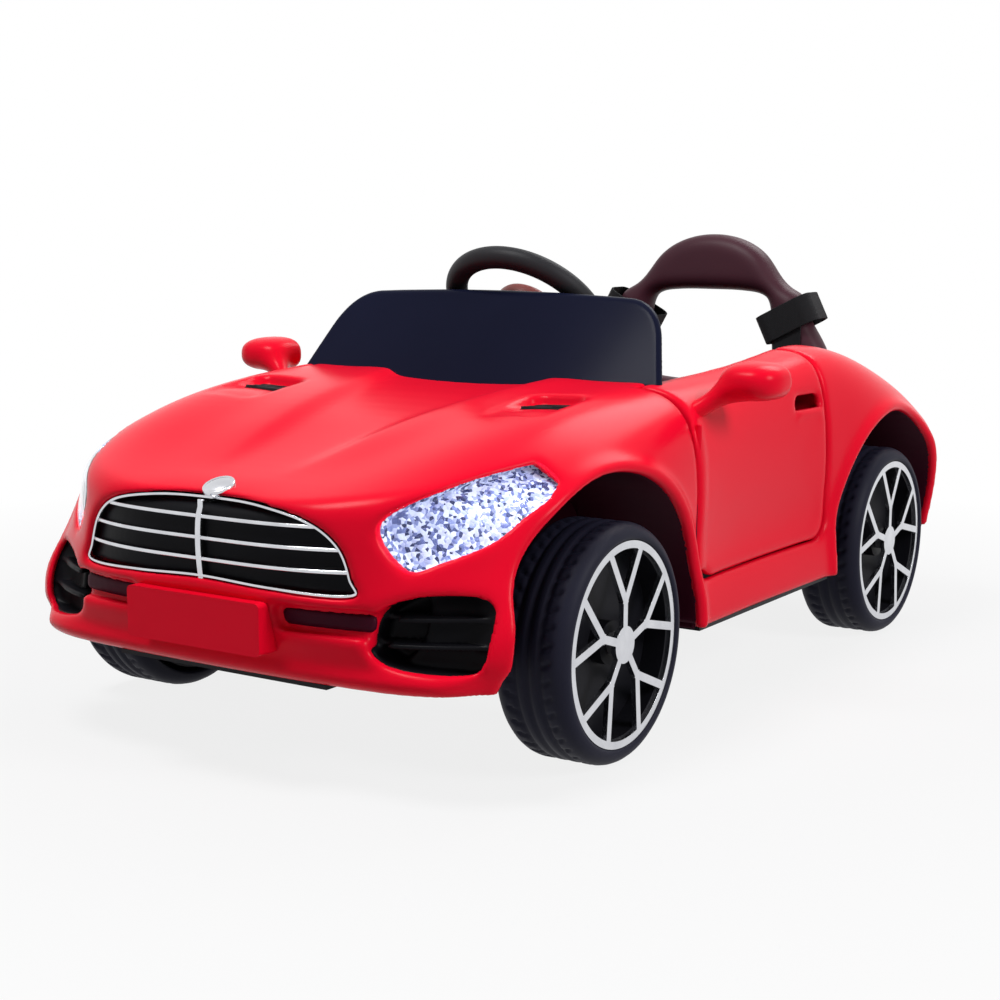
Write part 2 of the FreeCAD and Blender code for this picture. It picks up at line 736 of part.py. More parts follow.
def rear_bumper_cutter():
    """Wedge that lifts the lower edge of the body behind the rear wheels."""
    points = [
        Vector(-HALF_WIDTH - OVERRUN, HALF_LENGTH - REAR_BUMPER_RUN, BODY_BOTTOM),
        Vector(-HALF_WIDTH - OVERRUN, HALF_LENGTH + OVERRUN, BODY_BOTTOM + REAR_BUMPER_RISE),
        Vector(-HALF_WIDTH - OVERRUN, HALF_LENGTH + OVERRUN, BODY_BOTTOM - OVERRUN),
        Vector(-HALF_WIDTH - OVERRUN, HALF_LENGTH - REAR_BUMPER_RUN, BODY_BOTTOM - OVERRUN),
    ]
    return closed_face(points).extrude(Vector(BODY_WIDTH + OVERRUN * 2, 0, 0))


def door_skin(outer, hollow):
    """Red outer panel of a door with its hinge barrel."""
    panel = outer.cut(hollow).common(door_block(DOOR_HINGE_Y, DOOR_REAR_Y, DOOR_SILL_Z))
    panel = largest(panel)
    for base, top in ((DOOR_SILL_Z, HINGE_BARREL_BASE), (HINGE_BARREL_TOP, CREST_HEIGHT)):
        panel = panel.cut(hinge_axis_rod(HINGE_LUG_EAR + SHUT_GAP, base, top))
    barrel = hinge_axis_rod(DOOR_BARREL_RADIUS, HINGE_BARREL_BASE, HINGE_BARREL_TOP).common(outer)
    bore = hinge_axis_rod(HINGE_PIN_RADIUS + RUN_GAP, DOOR_SILL_Z, CREST_HEIGHT)
    return panel.fuse(barrel).cut(bore)


def door_card(lining):
    """Flat inner lining of a door."""
    plate = box(DOOR_INNER_X, DOOR_INNER_X + DOOR_CARD_WALL, DOOR_HINGE_Y + DOOR_CARD_RIM,
                DOOR_REAR_Y - DOOR_CARD_RIM, DOOR_SILL_Z + DOOR_CARD_RIM, CREST_HEIGHT)
    return plate.common(lining)


def hinge_pins():
    """Steel pins of both doors."""
    pin = hinge_axis_rod(HINGE_PIN_RADIUS, HINGE_BARREL_BASE - HINGE_LUG_HEIGHT - SEAT_GAP,
                         HINGE_BARREL_TOP + HINGE_LUG_HEIGHT + SEAT_GAP)
    return group([pin, mirrored(pin)])


def tray(shares, flange, depth, wall, front, rear):
    """Open box behind an opening of the body: side walls and a back that follow the surface."""
    face = BODY_WALL + SEAT_GAP
    bulk = skin(face, face + depth)
    hole = skin(face, face + depth - wall)
    outer = bulk.common(front_prism(grown(outline(shares), flange), front, rear))
    inner = hole.common(front_prism(grown(outline(shares), flange - wall), front, rear))
    return outer.cut(inner)


def arch_clearance():
    """Room round a front wheel that the nose fittings stay out of, driver's left."""
    start = Vector(0, FRONT_AXLE_Y, AXLE_Z - ARCH_DROP)
    return rod(ARCH_RADIUS + LINER_GAP + LINER_WALL + FIT_GAP, start,
               start + Vector(HALF_WIDTH + OVERRUN, 0, 0))


def largest(shape):
    """Largest solid of a shape."""
    return max(shape.Solids, key=lambda solid: solid.Volume)


def intake_grille():
    """Black side intake with two ribs across it."""
    case = tray(INTAKE_OUTLINE_SHARES, INTAKE_FLANGE, INTAKE_DEPTH, GRILLE_PANEL_WALL,
                NOSE_CUT_FRONT, NOSE_CUT_REAR)
    points = outline(INTAKE_OUTLINE_SHARES)
    low = min(z for x, z in points)
    high = max(z for x, z in points)
    layer = skin(BODY_WALL + SEAT_GAP + INTAKE_DEPTH / 2, BODY_WALL + SEAT_GAP + INTAKE_DEPTH)
    window = front_prism(grown(points, INTAKE_FLANGE), NOSE_CUT_FRONT, NOSE_CUT_REAR)
    ribs = []
    for i in range(INTAKE_RIBS):
        z = low + (high - low) * (i + 1) / (INTAKE_RIBS + 1)
        bar = box(0, HALF_WIDTH, NOSE_CUT_FRONT, NOSE_CUT_REAR, z, z + INTAKE_RIB_HEIGHT)
        ribs.append(layer.common(window).common(bar))
    return largest(fused([case] + ribs).cut(arch_clearance()))


def lamp_lens():
    """Clear cover of a headlamp, flush with the body."""
    cover = skin(0, LAMP_LENS_WALL)
    return cover.common(front_prism(grown(outline(LAMP_OUTLINE_SHARES), -FIT_GAP), NOSE_CUT_FRONT,
                                    LAMP_CUT_REAR))


def lamp_bowl():
    """Bright reflector tray of a headlamp behind its cover."""
    inside = LAMP_LENS_WALL + SEAT_GAP
    bulk = skin(inside, inside + LAMP_BOWL_DEPTH)
    hole = skin(inside, inside + LAMP_BOWL_DEPTH - LAMP_BOWL_WALL)
    outer = front_prism(grown(outline(LAMP_OUTLINE_SHARES), -FIT_GAP), NOSE_CUT_FRONT, LAMP_CUT_REAR)
    inner = front_prism(grown(outline(LAMP_OUTLINE_SHARES), -FIT_GAP - LAMP_BOWL_WALL),
                        NOSE_CUT_FRONT, LAMP_CUT_REAR)
    return largest(bulk.common(outer).cut(hole.common(inner)).cut(arch_clearance()))


def grille_panel():
    """Black panel behind the nose opening."""
    face = BODY_WALL + SEAT_GAP
    layer = skin(face, face + GRILLE_PANEL_WALL)
    return layer.common(front_prism(grown(full_outline(GRILLE_OUTLINE_SHARES), GRILLE_FLANGE),
                                    NOSE_CUT_FRONT, GRILLE_CUT_REAR))


def grille_bars():
    """Bright slats and centre bar in front of the grille panel, one casting."""
    points = full_outline(GRILLE_OUTLINE_SHARES)
    low = min(z for x, z in points)
    high = max(z for x, z in points)
    layer = skin(BODY_WALL - SLAT_PROUD, BODY_WALL)
    window = front_prism(grown(points, -FIT_GAP), NOSE_CUT_FRONT, NOSE_CUT_REAR)
    strips = [box(-CENTRE_BAR_WIDTH / 2, CENTRE_BAR_WIDTH / 2, NOSE_CUT_FRONT, NOSE_CUT_REAR, low, high)]
    for i in range(SLAT_COUNT):
        z = low + (high - low) * (i + 1) / (SLAT_COUNT + 1)
        strips.append(box(-HALF_WIDTH, HALF_WIDTH, NOSE_CUT_FRONT, NOSE_CUT_REAR, z, z + SLAT_HEIGHT))
    lattice = strips[0].multiFuse(strips[1:])
    return layer.common(window).common(lattice)


def badge(outer):
    """Plain bright disc on the nose, with nothing on it."""
    base = outer.common(rod(BADGE_RADIUS, Vector(0, BADGE_Y, 0), Vector(0, BADGE_Y, CREST_HEIGHT)))
    top = base.optimalBoundingBox(False).ZMax
    normal = Vector(0, -math.cos(math.radians(BADGE_TILT_DEG)), math.sin(math.radians(BADGE_TILT_DEG)))
    centre = Vector(0, BADGE_Y, top)
    disc = rod(BADGE_RADIUS, centre - normal * BADGE_THICKNESS, centre + normal * BADGE_THICKNESS)
    return disc.cut(body_form(-SEAT_GAP))


def tail_lamps():
    """Red rear lamps, flush with the tail."""
    cover = skin(0, TAIL_LAMP_WALL)
    lamp = cover.common(front_prism(grown(outline(TAIL_LAMP_OUTLINE_SHARES), -FIT_GAP),
                                    TAIL_CUT_FRONT, TAIL_CUT_REAR))
    return group([lamp, mirrored(lamp)])


def number_plates(outer):
    """Blank plates on the nose and the tail."""
    front = box(-PLATE_WIDTH / 2, PLATE_WIDTH / 2, -HALF_LENGTH, -HALF_LENGTH + OVERRUN,
                PLATE_BASE_Z, PLATE_BASE_Z + PLATE_HEIGHT)
    rear = box(-PLATE_WIDTH / 2, PLATE_WIDTH / 2, HALF_LENGTH - OVERRUN / 2, HALF_LENGTH,
               REAR_PLATE_BASE_Z, REAR_PLATE_BASE_Z + PLATE_HEIGHT)
    grown_body = body_form(-SEAT_GAP)
    plates = []
    for plate in (front, rear):
        rims = [edge for edge in plate.Edges if edge.BoundBox.YLength > edge.BoundBox.XLength
                and edge.BoundBox.YLength > edge.BoundBox.ZLength]
        plates.append(plate.makeFillet(PLATE_CORNER, rims).cut(grown_body))
    return group(plates)


def windscreen():
    """Dark raked screen, bowed in plan, standing on the cowl."""
    wires = []
    drop = SCREEN_WALL * SCREEN_FOOT
    rake = SCREEN_RAKE / SCREEN_HEIGHT
    top = SCREEN_BASE_Z + SCREEN_HEIGHT
    half = SCREEN_BASE_HALF_WIDTH
    back_shift = Vector(0, SCREEN_WALL, 0)
    levels = (
        (SCREEN_BASE_Z - drop, SCREEN_BASE_Y - drop * rake, SCREEN_BASE_BOW),
        (top, SCREEN_BASE_Y + SCREEN_RAKE, SCREEN_TOP_BOW),
    )
    for z, y, bow in levels:
        ends = (Vector(-half, y + bow, z), Vector(half, y + bow, z))
        front = Part.Arc(ends[0], Vector(0, y, z), ends[1]).toShape()
        back = Part.Arc(ends[1] + back_shift, Vector(0, y + SCREEN_WALL, z),
                        ends[0] + back_shift).toShape()
        sides = [Part.makeLine(ends[1], ends[1] + back_shift),
                 Part.makeLine(ends[0] + back_shift, ends[0])]
        wires.append(Part.Wire([front, sides[0], back, sides[1]]))
    sheet = Part.makeLoft(wires, True, True)
    corners = [
        Vector(-half, -HALF_LENGTH, SCREEN_BASE_Z - drop), Vector(half, -HALF_LENGTH,
                                                                  SCREEN_BASE_Z - drop),
        Vector(SCREEN_TOP_HALF_WIDTH, -HALF_LENGTH, top), Vector(-SCREEN_TOP_HALF_WIDTH, -HALF_LENGTH,
                                                                 top),
    ]
    window = closed_face(corners).extrude(Vector(0, CAR_LENGTH, 0))
    upper = [edge for edge in window.Edges if edge.BoundBox.YLength > HALF_LENGTH
             and edge.BoundBox.ZMin > SCREEN_BASE_Z]
    return sheet.common(window.makeFillet(SCREEN_CORNER, upper)).cut(body_form(-SEAT_GAP))


def mirror_housing(outer_grown):
    """Red mirror shell on its stalk on the door, driver's left."""
    base_x = MIRROR_OUT_X - MIRROR_WIDTH
    shell = box(base_x, MIRROR_OUT_X, MIRROR_Y - MIRROR_DEPTH / 2, MIRROR_Y + MIRROR_DEPTH / 2,
                MIRROR_Z - MIRROR_HEIGHT / 2, MIRROR_Z + MIRROR_HEIGHT / 2)
    shell = shell.makeFillet(MIRROR_ROUND, shell.Edges)
    back = MIRROR_Y + MIRROR_DEPTH / 2
    recess = box(base_x + MIRROR_GLASS_RIM, MIRROR_OUT_X - MIRROR_GLASS_RIM, back - MIRROR_GLASS_RIM,
                 back,
                 MIRROR_Z - MIRROR_HEIGHT / 2 + MIRROR_GLASS_RIM,
                 MIRROR_Z + MIRROR_HEIGHT / 2 - MIRROR_GLASS_RIM)
    stalk = rod(MIRROR_STALK_RADIUS,
                Vector(MIRROR_ROOT_X - MIRROR_DEPTH / 2, MIRROR_STALK_Y, MIRROR_STALK_Z),
                Vector(base_x + MIRROR_ROUND, MIRROR_Y, MIRROR_Z))
    return shell.fuse(stalk).cut(recess).cut(outer_grown)


def mirror_glass():
    """Bright plate in a mirror shell."""
    base_x = MIRROR_OUT_X - MIRROR_WIDTH + MIRROR_GLASS_RIM
    floor = MIRROR_Y + MIRROR_DEPTH / 2 - MIRROR_GLASS_RIM
    rise = MIRROR_HEIGHT / 2 - MIRROR_GLASS_RIM - FIT_GAP
    return box(base_x + FIT_GAP, MIRROR_OUT_X - MIRROR_GLASS_RIM - FIT_GAP, floor,
               floor + MIRROR_GLASS_WALL, MIRROR_Z - rise, MIRROR_Z + rise)


# Chassis

def chassis_pan():
    """Black floor pan with raised decks over both axles and a flange under each sill."""
    top = PAN_FLOOR_Z + PAN_WALL
    corner = PAN_STEP_FRONT_Y + PAN_CORNER_SETBACK
    floor = box(-PAN_SILL_X, PAN_SILL_X, corner, PAN_STEP_REAR_Y, PAN_FLOOR_Z, top)
    apron = box(-PAN_FRONT_HALF_WIDTH, PAN_FRONT_HALF_WIDTH, PAN_STEP_FRONT_Y, corner, PAN_FLOOR_Z, top)
    front_deck = box(-PAN_FRONT_HALF_WIDTH, PAN_FRONT_HALF_WIDTH, PAN_FRONT_Y,
                     PAN_STEP_FRONT_Y + PAN_WALL,
                     PAN_FRONT_DECK_Z, PAN_FRONT_DECK_Z + PAN_WALL)
    front_wall = box(-PAN_FRONT_HALF_WIDTH, PAN_FRONT_HALF_WIDTH, PAN_STEP_FRONT_Y,
                     PAN_STEP_FRONT_Y + PAN_WALL, PAN_FLOOR_Z, PAN_FRONT_DECK_Z + PAN_WALL)
    rear_wall = box(-PAN_REAR_HALF_WIDTH, PAN_REAR_HALF_WIDTH, PAN_STEP_REAR_Y - PAN_WALL,
                    PAN_STEP_REAR_Y, PAN_FLOOR_Z, PAN_REAR_DECK_Z + PAN_WALL)
    rear_deck = box(-PAN_REAR_HALF_WIDTH, PAN_REAR_HALF_WIDTH, PAN_STEP_REAR_Y - PAN_WALL, PAN_REAR_Y,
                    PAN_REAR_DECK_Z, PAN_REAR_DECK_Z + PAN_WALL)
    nose_wall = box(-PAN_FRONT_HALF_WIDTH, PAN_FRONT_HALF_WIDTH, PAN_FRONT_Y, PAN_FRONT_Y + PAN_WALL,
                    BODY_BOTTOM - PAN_WALL, PAN_FRONT_DECK_Z + PAN_WALL)
    tongue = box(-PAN_TONGUE_HALF_WIDTH, PAN_TONGUE_HALF_WIDTH, PAN_TONGUE_Y, PAN_FRONT_Y + PAN_WALL,
                 BODY_BOTTOM - PAN_WALL, BODY_BOTTOM)
    pieces = [floor, apron, front_deck, front_wall, rear_wall, rear_deck, nose_wall, tongue]
    for side in (-1, 1):
        inner = side * PAN_SILL_X
        outer = side * PAN_FLANGE_X
        web = side * (PAN_SILL_X - PAN_WALL)
        pieces.append(box(min(inner, outer, web), max(inner, outer, web), PAN_SILL_FRONT_Y,
                          PAN_SILL_REAR_Y,
                          BODY_BOTTOM - PAN_WALL, BODY_BOTTOM))
        pieces.append(box(min(inner, web), max(inner, web), PAN_SILL_FRONT_Y, PAN_SILL_REAR_Y,
                          PAN_FLOOR_Z, BODY_BOTTOM))
    pan = fused(pieces + axle_brackets() + pedal_bracket())
    notch = box(-COLUMN_SLOT_HALF, COLUMN_SLOT_HALF, COLUMN_SLOT_FRONT_Y, COLUMN_SLOT_REAR_Y,
                PAN_FRONT_DECK_Z - OVERRUN / 2, PAN_FRONT_DECK_Z + OVERRUN)
    pan = pan.cut(notch).fuse(column_bearing()).cut(rear_axle_bore())
    return pan.cut(pedal_pin_rod(PEDAL_PIN_RADIUS + RUN_GAP, PEDAL_WIDTH))


def wheel_liners():
    """Black half-round liners inside the four wheel arches."""
    liners = []
    for y, inner_x in ((FRONT_AXLE_Y, FRONT_LINER_INNER_X), (REAR_AXLE_Y, REAR_LINER_INNER_X)):
        radius = ARCH_RADIUS + LINER_GAP
        start = Vector(inner_x, y, AXLE_Z - ARCH_DROP)
        end = Vector(LINER_OUTER_X, y, AXLE_Z - ARCH_DROP)
        drum = rod(radius + LINER_WALL, start, end)
        hollow = rod(radius, start + Vector(LINER_WALL, 0, 0), end)
        below = box(0, HALF_WIDTH, y - CAR_LENGTH, y + CAR_LENGTH, -OVERRUN, BODY_BOTTOM + SEAT_GAP)
        slot = box(0, HALF_WIDTH, y - LINER_SLOT_HALF, y + LINER_SLOT_HALF, 0, LINER_SLOT_TOP)
        liner = drum.cut(hollow).cut(below).cut(slot)
        liners.extend([liner, mirrored(liner)])
    return group(liners)


def knuckle_levels():
    """Lower and upper face of the steering knuckle."""
    return AXLE_Z - KNUCKLE_HEIGHT / 2, AXLE_Z + KNUCKLE_HEIGHT / 2


def front_axle_beam():
    """Steel cross beam with a fork at each end and two posts up to the pan."""
    low, high = knuckle_levels()
    inner = KING_PIN_X - CLEVIS_LENGTH / 2 - CLEVIS_WALL
    half = AXLE_BEAM_SIZE / 2
    pieces = [box(-inner, inner, FRONT_AXLE_Y - half, FRONT_AXLE_Y + half, AXLE_Z - half, AXLE_Z + half)]
    clevis = []
    for base in (low - KNUCKLE_END_GAP - CLEVIS_WALL, high + KNUCKLE_END_GAP):
        clevis.append(box(inner, inner + CLEVIS_LENGTH, FRONT_AXLE_Y - CLEVIS_WIDTH / 2,
                          FRONT_AXLE_Y + CLEVIS_WIDTH / 2, base, base + CLEVIS_WALL))
    clevis.append(box(inner, inner + CLEVIS_WALL, FRONT_AXLE_Y - CLEVIS_WIDTH / 2,
                      FRONT_AXLE_Y + CLEVIS_WIDTH / 2,
                      low - KNUCKLE_END_GAP - CLEVIS_WALL, high + KNUCKLE_END_GAP + CLEVIS_WALL))
    post = box(BEAM_POST_X - BEAM_POST_SIZE / 2, BEAM_POST_X + BEAM_POST_SIZE / 2, FRONT_AXLE_Y - half,
               FRONT_AXLE_Y + half, AXLE_Z, PAN_FRONT_DECK_Z)
    side = clevis + [post]
    beam = fused(pieces + side + [mirrored(piece) for piece in side])
    bore = king_pin_rod(KING_PIN_RADIUS + RUN_GAP)
    return beam.cut(bore).cut(mirrored(bore))


def king_pin_rod(radius):
    """Round bar on the king pin's line, through both fork plates."""
    low, high = knuckle_levels()
    reach = KNUCKLE_END_GAP + CLEVIS_WALL
    return rod(radius, Vector(KING_PIN_X, FRONT_AXLE_Y, low - reach),
               Vector(KING_PIN_X, FRONT_AXLE_Y, high + reach))


def king_pins():
    """Steel pins that the front wheels steer about, with a flat head."""
    low, high = knuckle_levels()
    base = high + KNUCKLE_END_GAP + CLEVIS_WALL
    head = rod(KING_PIN_RADIUS + CLEVIS_WALL / 2, Vector(KING_PIN_X, FRONT_AXLE_Y, base),
               Vector(KING_PIN_X, FRONT_AXLE_Y, base + CLEVIS_WALL / 2))
    pin = king_pin_rod(KING_PIN_RADIUS).fuse(head)
    return group([pin, mirrored(pin)])


def stub_end_x():
    """Outer end of the wheel axles."""
    return WHEEL_FACE_X - TRIM_INSET - TRIM_THICKNESS - STUB_END_GAP


def knuckle():
    """Steering knuckle with its stub axle and slotted arm, driver's left."""
    low, high = knuckle_levels()
    tube = rod(KNUCKLE_RADIUS, Vector(KING_PIN_X, FRONT_AXLE_Y, low),
               Vector(KING_PIN_X, FRONT_AXLE_Y, high))
    stub = rod(AXLE_RADIUS, Vector(KING_PIN_X, FRONT_AXLE_Y, AXLE_Z),
               Vector(stub_end_x(), FRONT_AXLE_Y, AXLE_Z))
    shoulder = rod(KNUCKLE_RADIUS, Vector(KING_PIN_X, FRONT_AXLE_Y, AXLE_Z),
                   Vector(wheel_inner_x() - WHEEL_SIDE_GAP / 2, FRONT_AXLE_Y, AXLE_Z))
    tip_y = FRONT_AXLE_Y + CRANK_LENGTH
    half = STEER_ARM_WIDTH / 2
    arm = box(KING_PIN_X - half, KING_PIN_X + half, FRONT_AXLE_Y, tip_y + TIE_SLOT_HALF + half,
              low, low + STEER_ARM_THICKNESS)
    slot_half = TIE_PIN_RADIUS + TIE_PIN_GAP
    slot = box(KING_PIN_X - slot_half, KING_PIN_X + slot_half, tip_y - TIE_SLOT_HALF,
               tip_y + TIE_SLOT_HALF,
               low - OVERRUN, low + OVERRUN)
    return fused([tube, stub, shoulder, arm]).cut(slot).cut(king_pin_rod(KING_PIN_RADIUS + RUN_GAP))


def wheel_inner_x():
    """Inner end of a wheel's hub."""
    return WHEEL_FACE_X - WHEEL_WIDTH + RIM_INNER_SETBACK


def tie_rod():
    """Cross rod with an upright pin for each steering arm and a fork for the column's crank."""
    low, high = knuckle_levels()
    y = FRONT_AXLE_Y + CRANK_LENGTH
    z = tie_rod_z()
    bar = rod(TIE_ROD_RADIUS, Vector(-KING_PIN_X, y, z), Vector(KING_PIN_X, y, z))
    pin = rod(TIE_PIN_RADIUS, Vector(KING_PIN_X, y, z), Vector(KING_PIN_X, y, low + STEER_ARM_THICKNESS))
    inner = CRANK_PIN_RADIUS + FORK_GAP
    outer = inner + FORK_WALL
    start = CRANK_THICKNESS + FORK_WALL / 4
    end = CRANK_PIN_LENGTH + FORK_GAP
    cheek = crank_frame_box(inner, outer, start, end + FORK_WALL, CRANK_LENGTH - FORK_REACH,
                            CRANK_LENGTH + FORK_REACH)
    base = crank_frame_box(-outer, outer, end, end + FORK_WALL, CRANK_LENGTH - FORK_REACH,
                           CRANK_LENGTH + FORK_REACH)
    foot = column_point(column_length() + end + FORK_WALL / 2) + crank_direction() * CRANK_LENGTH
    web = box(-outer, outer, min(y, foot.y), max(y, foot.y), min(z - TIE_ROD_RADIUS, foot.z),
              max(z - TIE_ROD_RADIUS, foot.z))
    return fused([bar, pin, mirrored(pin), cheek, mirrored(cheek), base, web])


# Steering column and wheel

def column_axis():
    """Direction from the steering wheel down the column."""
    lean = math.radians(STEER_LEAN_DEG)
    return Vector(0, -math.cos(lean), -math.sin(lean))


def tie_rod_z():
    """Height of the tie rod's middle, just under the steering arms."""
    return knuckle_levels()[0] - TIE_ROD_RADIUS - TIE_ROD_DROP


def column_length():
    """Length of the column from the steering wheel to the crank above the tie rod."""
    return (STEER_CENTRE_Z - tie_rod_z() - COLUMN_FOOT_RISE) / math.sin(math.radians(STEER_LEAN_DEG))


def column_point(distance):
    """Point on the column at a distance below the middle of the steering wheel."""
    return Vector(0, STEER_CENTRE_Y, STEER_CENTRE_Z) + column_axis() * distance


def crank_direction():
    """Direction of the crank, square to the column and down."""
    axis = column_axis()
    return Vector(0, -axis.z, axis.y)


def crank_frame_box(x0, x1, d0, d1, c0, c1):
    """Block set square to the column: across the car, along the column and along the crank."""
    block = Part.makeBox(x1 - x0, d1 - d0, c1 - c0, Vector(x0, d0, c0))
    turn = FreeCAD.Rotation(Vector(1, 0, 0), column_axis(), crank_direction(), "ZXY")
    block.Placement = FreeCAD.Placement(column_point(column_length()), turn).multiply(block.Placement)
    return block


def crank_tip():
    """Middle of the crank pin."""
    return column_point(column_length()) + crank_direction() * CRANK_LENGTH


def steering_column():
    """Steel rod with a collar and a crank that moves the tie rod."""
    axis = column_axis()
    shaft = rod(COLUMN_RADIUS, column_point(0), column_point(column_length()))
    collar_base = COLUMN_BEARING_AT - COLUMN_BEARING_LENGTH / 2 - SEAT_GAP - COLUMN_COLLAR_LENGTH
    collar = rod(COLUMN_COLLAR_RADIUS, column_point(collar_base),
                 column_point(collar_base + COLUMN_COLLAR_LENGTH))
    half = CRANK_WIDTH / 2
    arm = crank_frame_box(-half, half, 0, CRANK_THICKNESS, -half, CRANK_LENGTH + half)
    tip = crank_tip()
    pin = rod(CRANK_PIN_RADIUS, tip, tip + axis * CRANK_PIN_LENGTH)
    return fused([shaft, collar, arm, pin])


def column_bearing():
    """Bridge of the pan on its front deck that carries the column."""
    centre = column_point(COLUMN_BEARING_AT)
    axis = column_axis()
    sleeve = rod(COLUMN_BEARING_RADIUS, centre - axis * (COLUMN_BEARING_LENGTH / 2),
                 centre + axis * (COLUMN_BEARING_LENGTH / 2))
    deck = PAN_FRONT_DECK_Z + PAN_WALL
    half = COLUMN_BEARING_LENGTH / 3
    bridge = box(-COLUMN_BEARING_FOOT, COLUMN_BEARING_FOOT, centre.y - half, centre.y + half, deck,
                 deck + FORK_WALL)
    post = box(-COLUMN_BEARING_RADIUS, COLUMN_BEARING_RADIUS, centre.y - half, centre.y + half, deck,
               centre.z)
    body = fused([sleeve, bridge, post])
    return body.cut(rod(COLUMN_RADIUS + RUN_GAP, column_point(0), column_point(column_length())))


def steering_wheel():
    """Thick black ring with three spokes and a hub that takes the column and the horn button."""
    axis = column_axis()
    centre = column_point(0)
    ring = Part.makeTorus(STEER_RING_RADIUS, STEER_GRIP_RADIUS, centre, axis)
    hub = rod(STEER_HUB_RADIUS, column_point(-STEER_HUB_RISE),
              column_point(STEER_HUB_DEPTH - STEER_HUB_RISE))
    pieces = [hub]
    for angle in STEER_SPOKES_DEG:
        spoke = Part.makeBox(STEER_RING_RADIUS, STEER_SPOKE_WIDTH, STEER_SPOKE_DEPTH,
                             Vector(0, -STEER_SPOKE_WIDTH / 2, -STEER_SPOKE_DEPTH / 2))
        spoke.rotate(Vector(0, 0, 0), Vector(0, 0, 1), angle)
        spoke.rotate(Vector(0, 0, 0), Vector(1, 0, 0), STEER_LEAN_DEG - 90)
        spoke.translate(centre)
        pieces.append(spoke)
    wheel = fused([ring] + pieces)
    socket = rod(COLUMN_RADIUS + RUN_GAP, column_point(0), column_point(STEER_HUB_DEPTH))
    floor = HORN_RECESS - STEER_HUB_RISE
    recess = rod(HORN_RADIUS + HORN_GAP, column_point(-STEER_HUB_RISE), column_point(floor))
    return wheel.cut(socket).cut(recess)


def horn_button():
    """Round push button in the middle of the steering wheel."""
    floor = HORN_RECESS - STEER_HUB_RISE
    return rod(HORN_RADIUS, column_point(-STEER_HUB_RISE - HORN_PROUD),
               column_point(floor - HORN_TRAVEL - HORN_GAP))


# Wheels

def ring_profile(points):
    """Full turn about the wheel's own axle of points given as place along the axle and radius."""
    return revolved([Vector(x, 0, r) for x, r in points], Vector(0, 0, 0), Vector(1, 0, 0))


def tyre():
    """Black moulded tyre with round shoulders and three grooves round its tread."""
    inner = WHEEL_FACE_X - WHEEL_WIDTH
    face = WHEEL_FACE_X
    crest = WHEEL_RADIUS
    bead = TRIM_INSET + TRIM_THICKNESS
    lip = TRIM_RING_RADIUS + SEAT_GAP
    points = [(inner, RIM_SEAT_RADIUS), (inner, crest - TYRE_SHOULDER),
              (inner + TYRE_SHOULDER / 2, crest - TYRE_CREST)]
    points.append((inner + TYRE_SHOULDER, crest))
    for share in TYRE_GROOVE_SHARES:
        middle = inner + WHEEL_WIDTH * share
        half = TYRE_GROOVE_WIDTH / 2
        points.extend([(middle - half, crest), (middle - half, crest - TYRE_GROOVE_DEPTH),
                       (middle + half, crest - TYRE_GROOVE_DEPTH), (middle + half, crest)])
    points.extend([(face - TYRE_SHOULDER, crest), (face - TYRE_SHOULDER / 2, crest - TYRE_CREST)])
    points.extend([(face, crest - TYRE_SHOULDER), (face, lip), (face - bead, lip),
                   (face - bead, RIM_SEAT_RADIUS)])
    return ring_profile(points)


def rim():
    """Black wheel moulding: barrel, web and hub in one piece."""
    inner = WHEEL_FACE_X - WHEEL_WIDTH
    front = WHEEL_FACE_X - TRIM_INSET - TRIM_THICKNESS
    seat = RIM_SEAT_RADIUS - SEAT_GAP
    bore = AXLE_RADIUS + RUN_GAP
    web = front - RIM_WEB_DEPTH
    barrel = ring_profile([(inner, seat - RIM_BARREL_WALL), (inner, seat), (front, seat),
                           (front, seat - RIM_BARREL_WALL)])
    disc = ring_profile([(web - RIM_WEB_WALL, bore), (web - RIM_WEB_WALL, seat - RIM_BARREL_WALL / 2),
                         (web, seat - RIM_BARREL_WALL / 2), (web, bore)])
    hub = ring_profile([(wheel_inner_x(), bore), (wheel_inner_x(), RIM_HUB_RADIUS),
                        (hub_outer_x(), RIM_HUB_RADIUS), (hub_outer_x(), bore)])
    return fused([barrel, disc, hub])


def hub_outer_x():
    """Outer end of a wheel's hub, where the axle nut runs."""
    return stub_end_x() - AXLE_NUT_WIDTH - WHEEL_SIDE_GAP


def axle_nut():
    """Hexagon nut on the end of an axle."""
    start = hub_outer_x() + WHEEL_SIDE_GAP / 2
    corners = []
    for i in range(6):
        angle = math.radians(60 * i)
        corners.append(Vector(start, AXLE_NUT_RADIUS * math.cos(angle),
                              AXLE_NUT_RADIUS * math.sin(angle)))
    nut = closed_face(corners).extrude(Vector(AXLE_NUT_WIDTH, 0, 0))
    return nut.cut(rod(AXLE_RADIUS, Vector(0, 0, 0), Vector(WHEEL_FACE_X, 0, 0)))


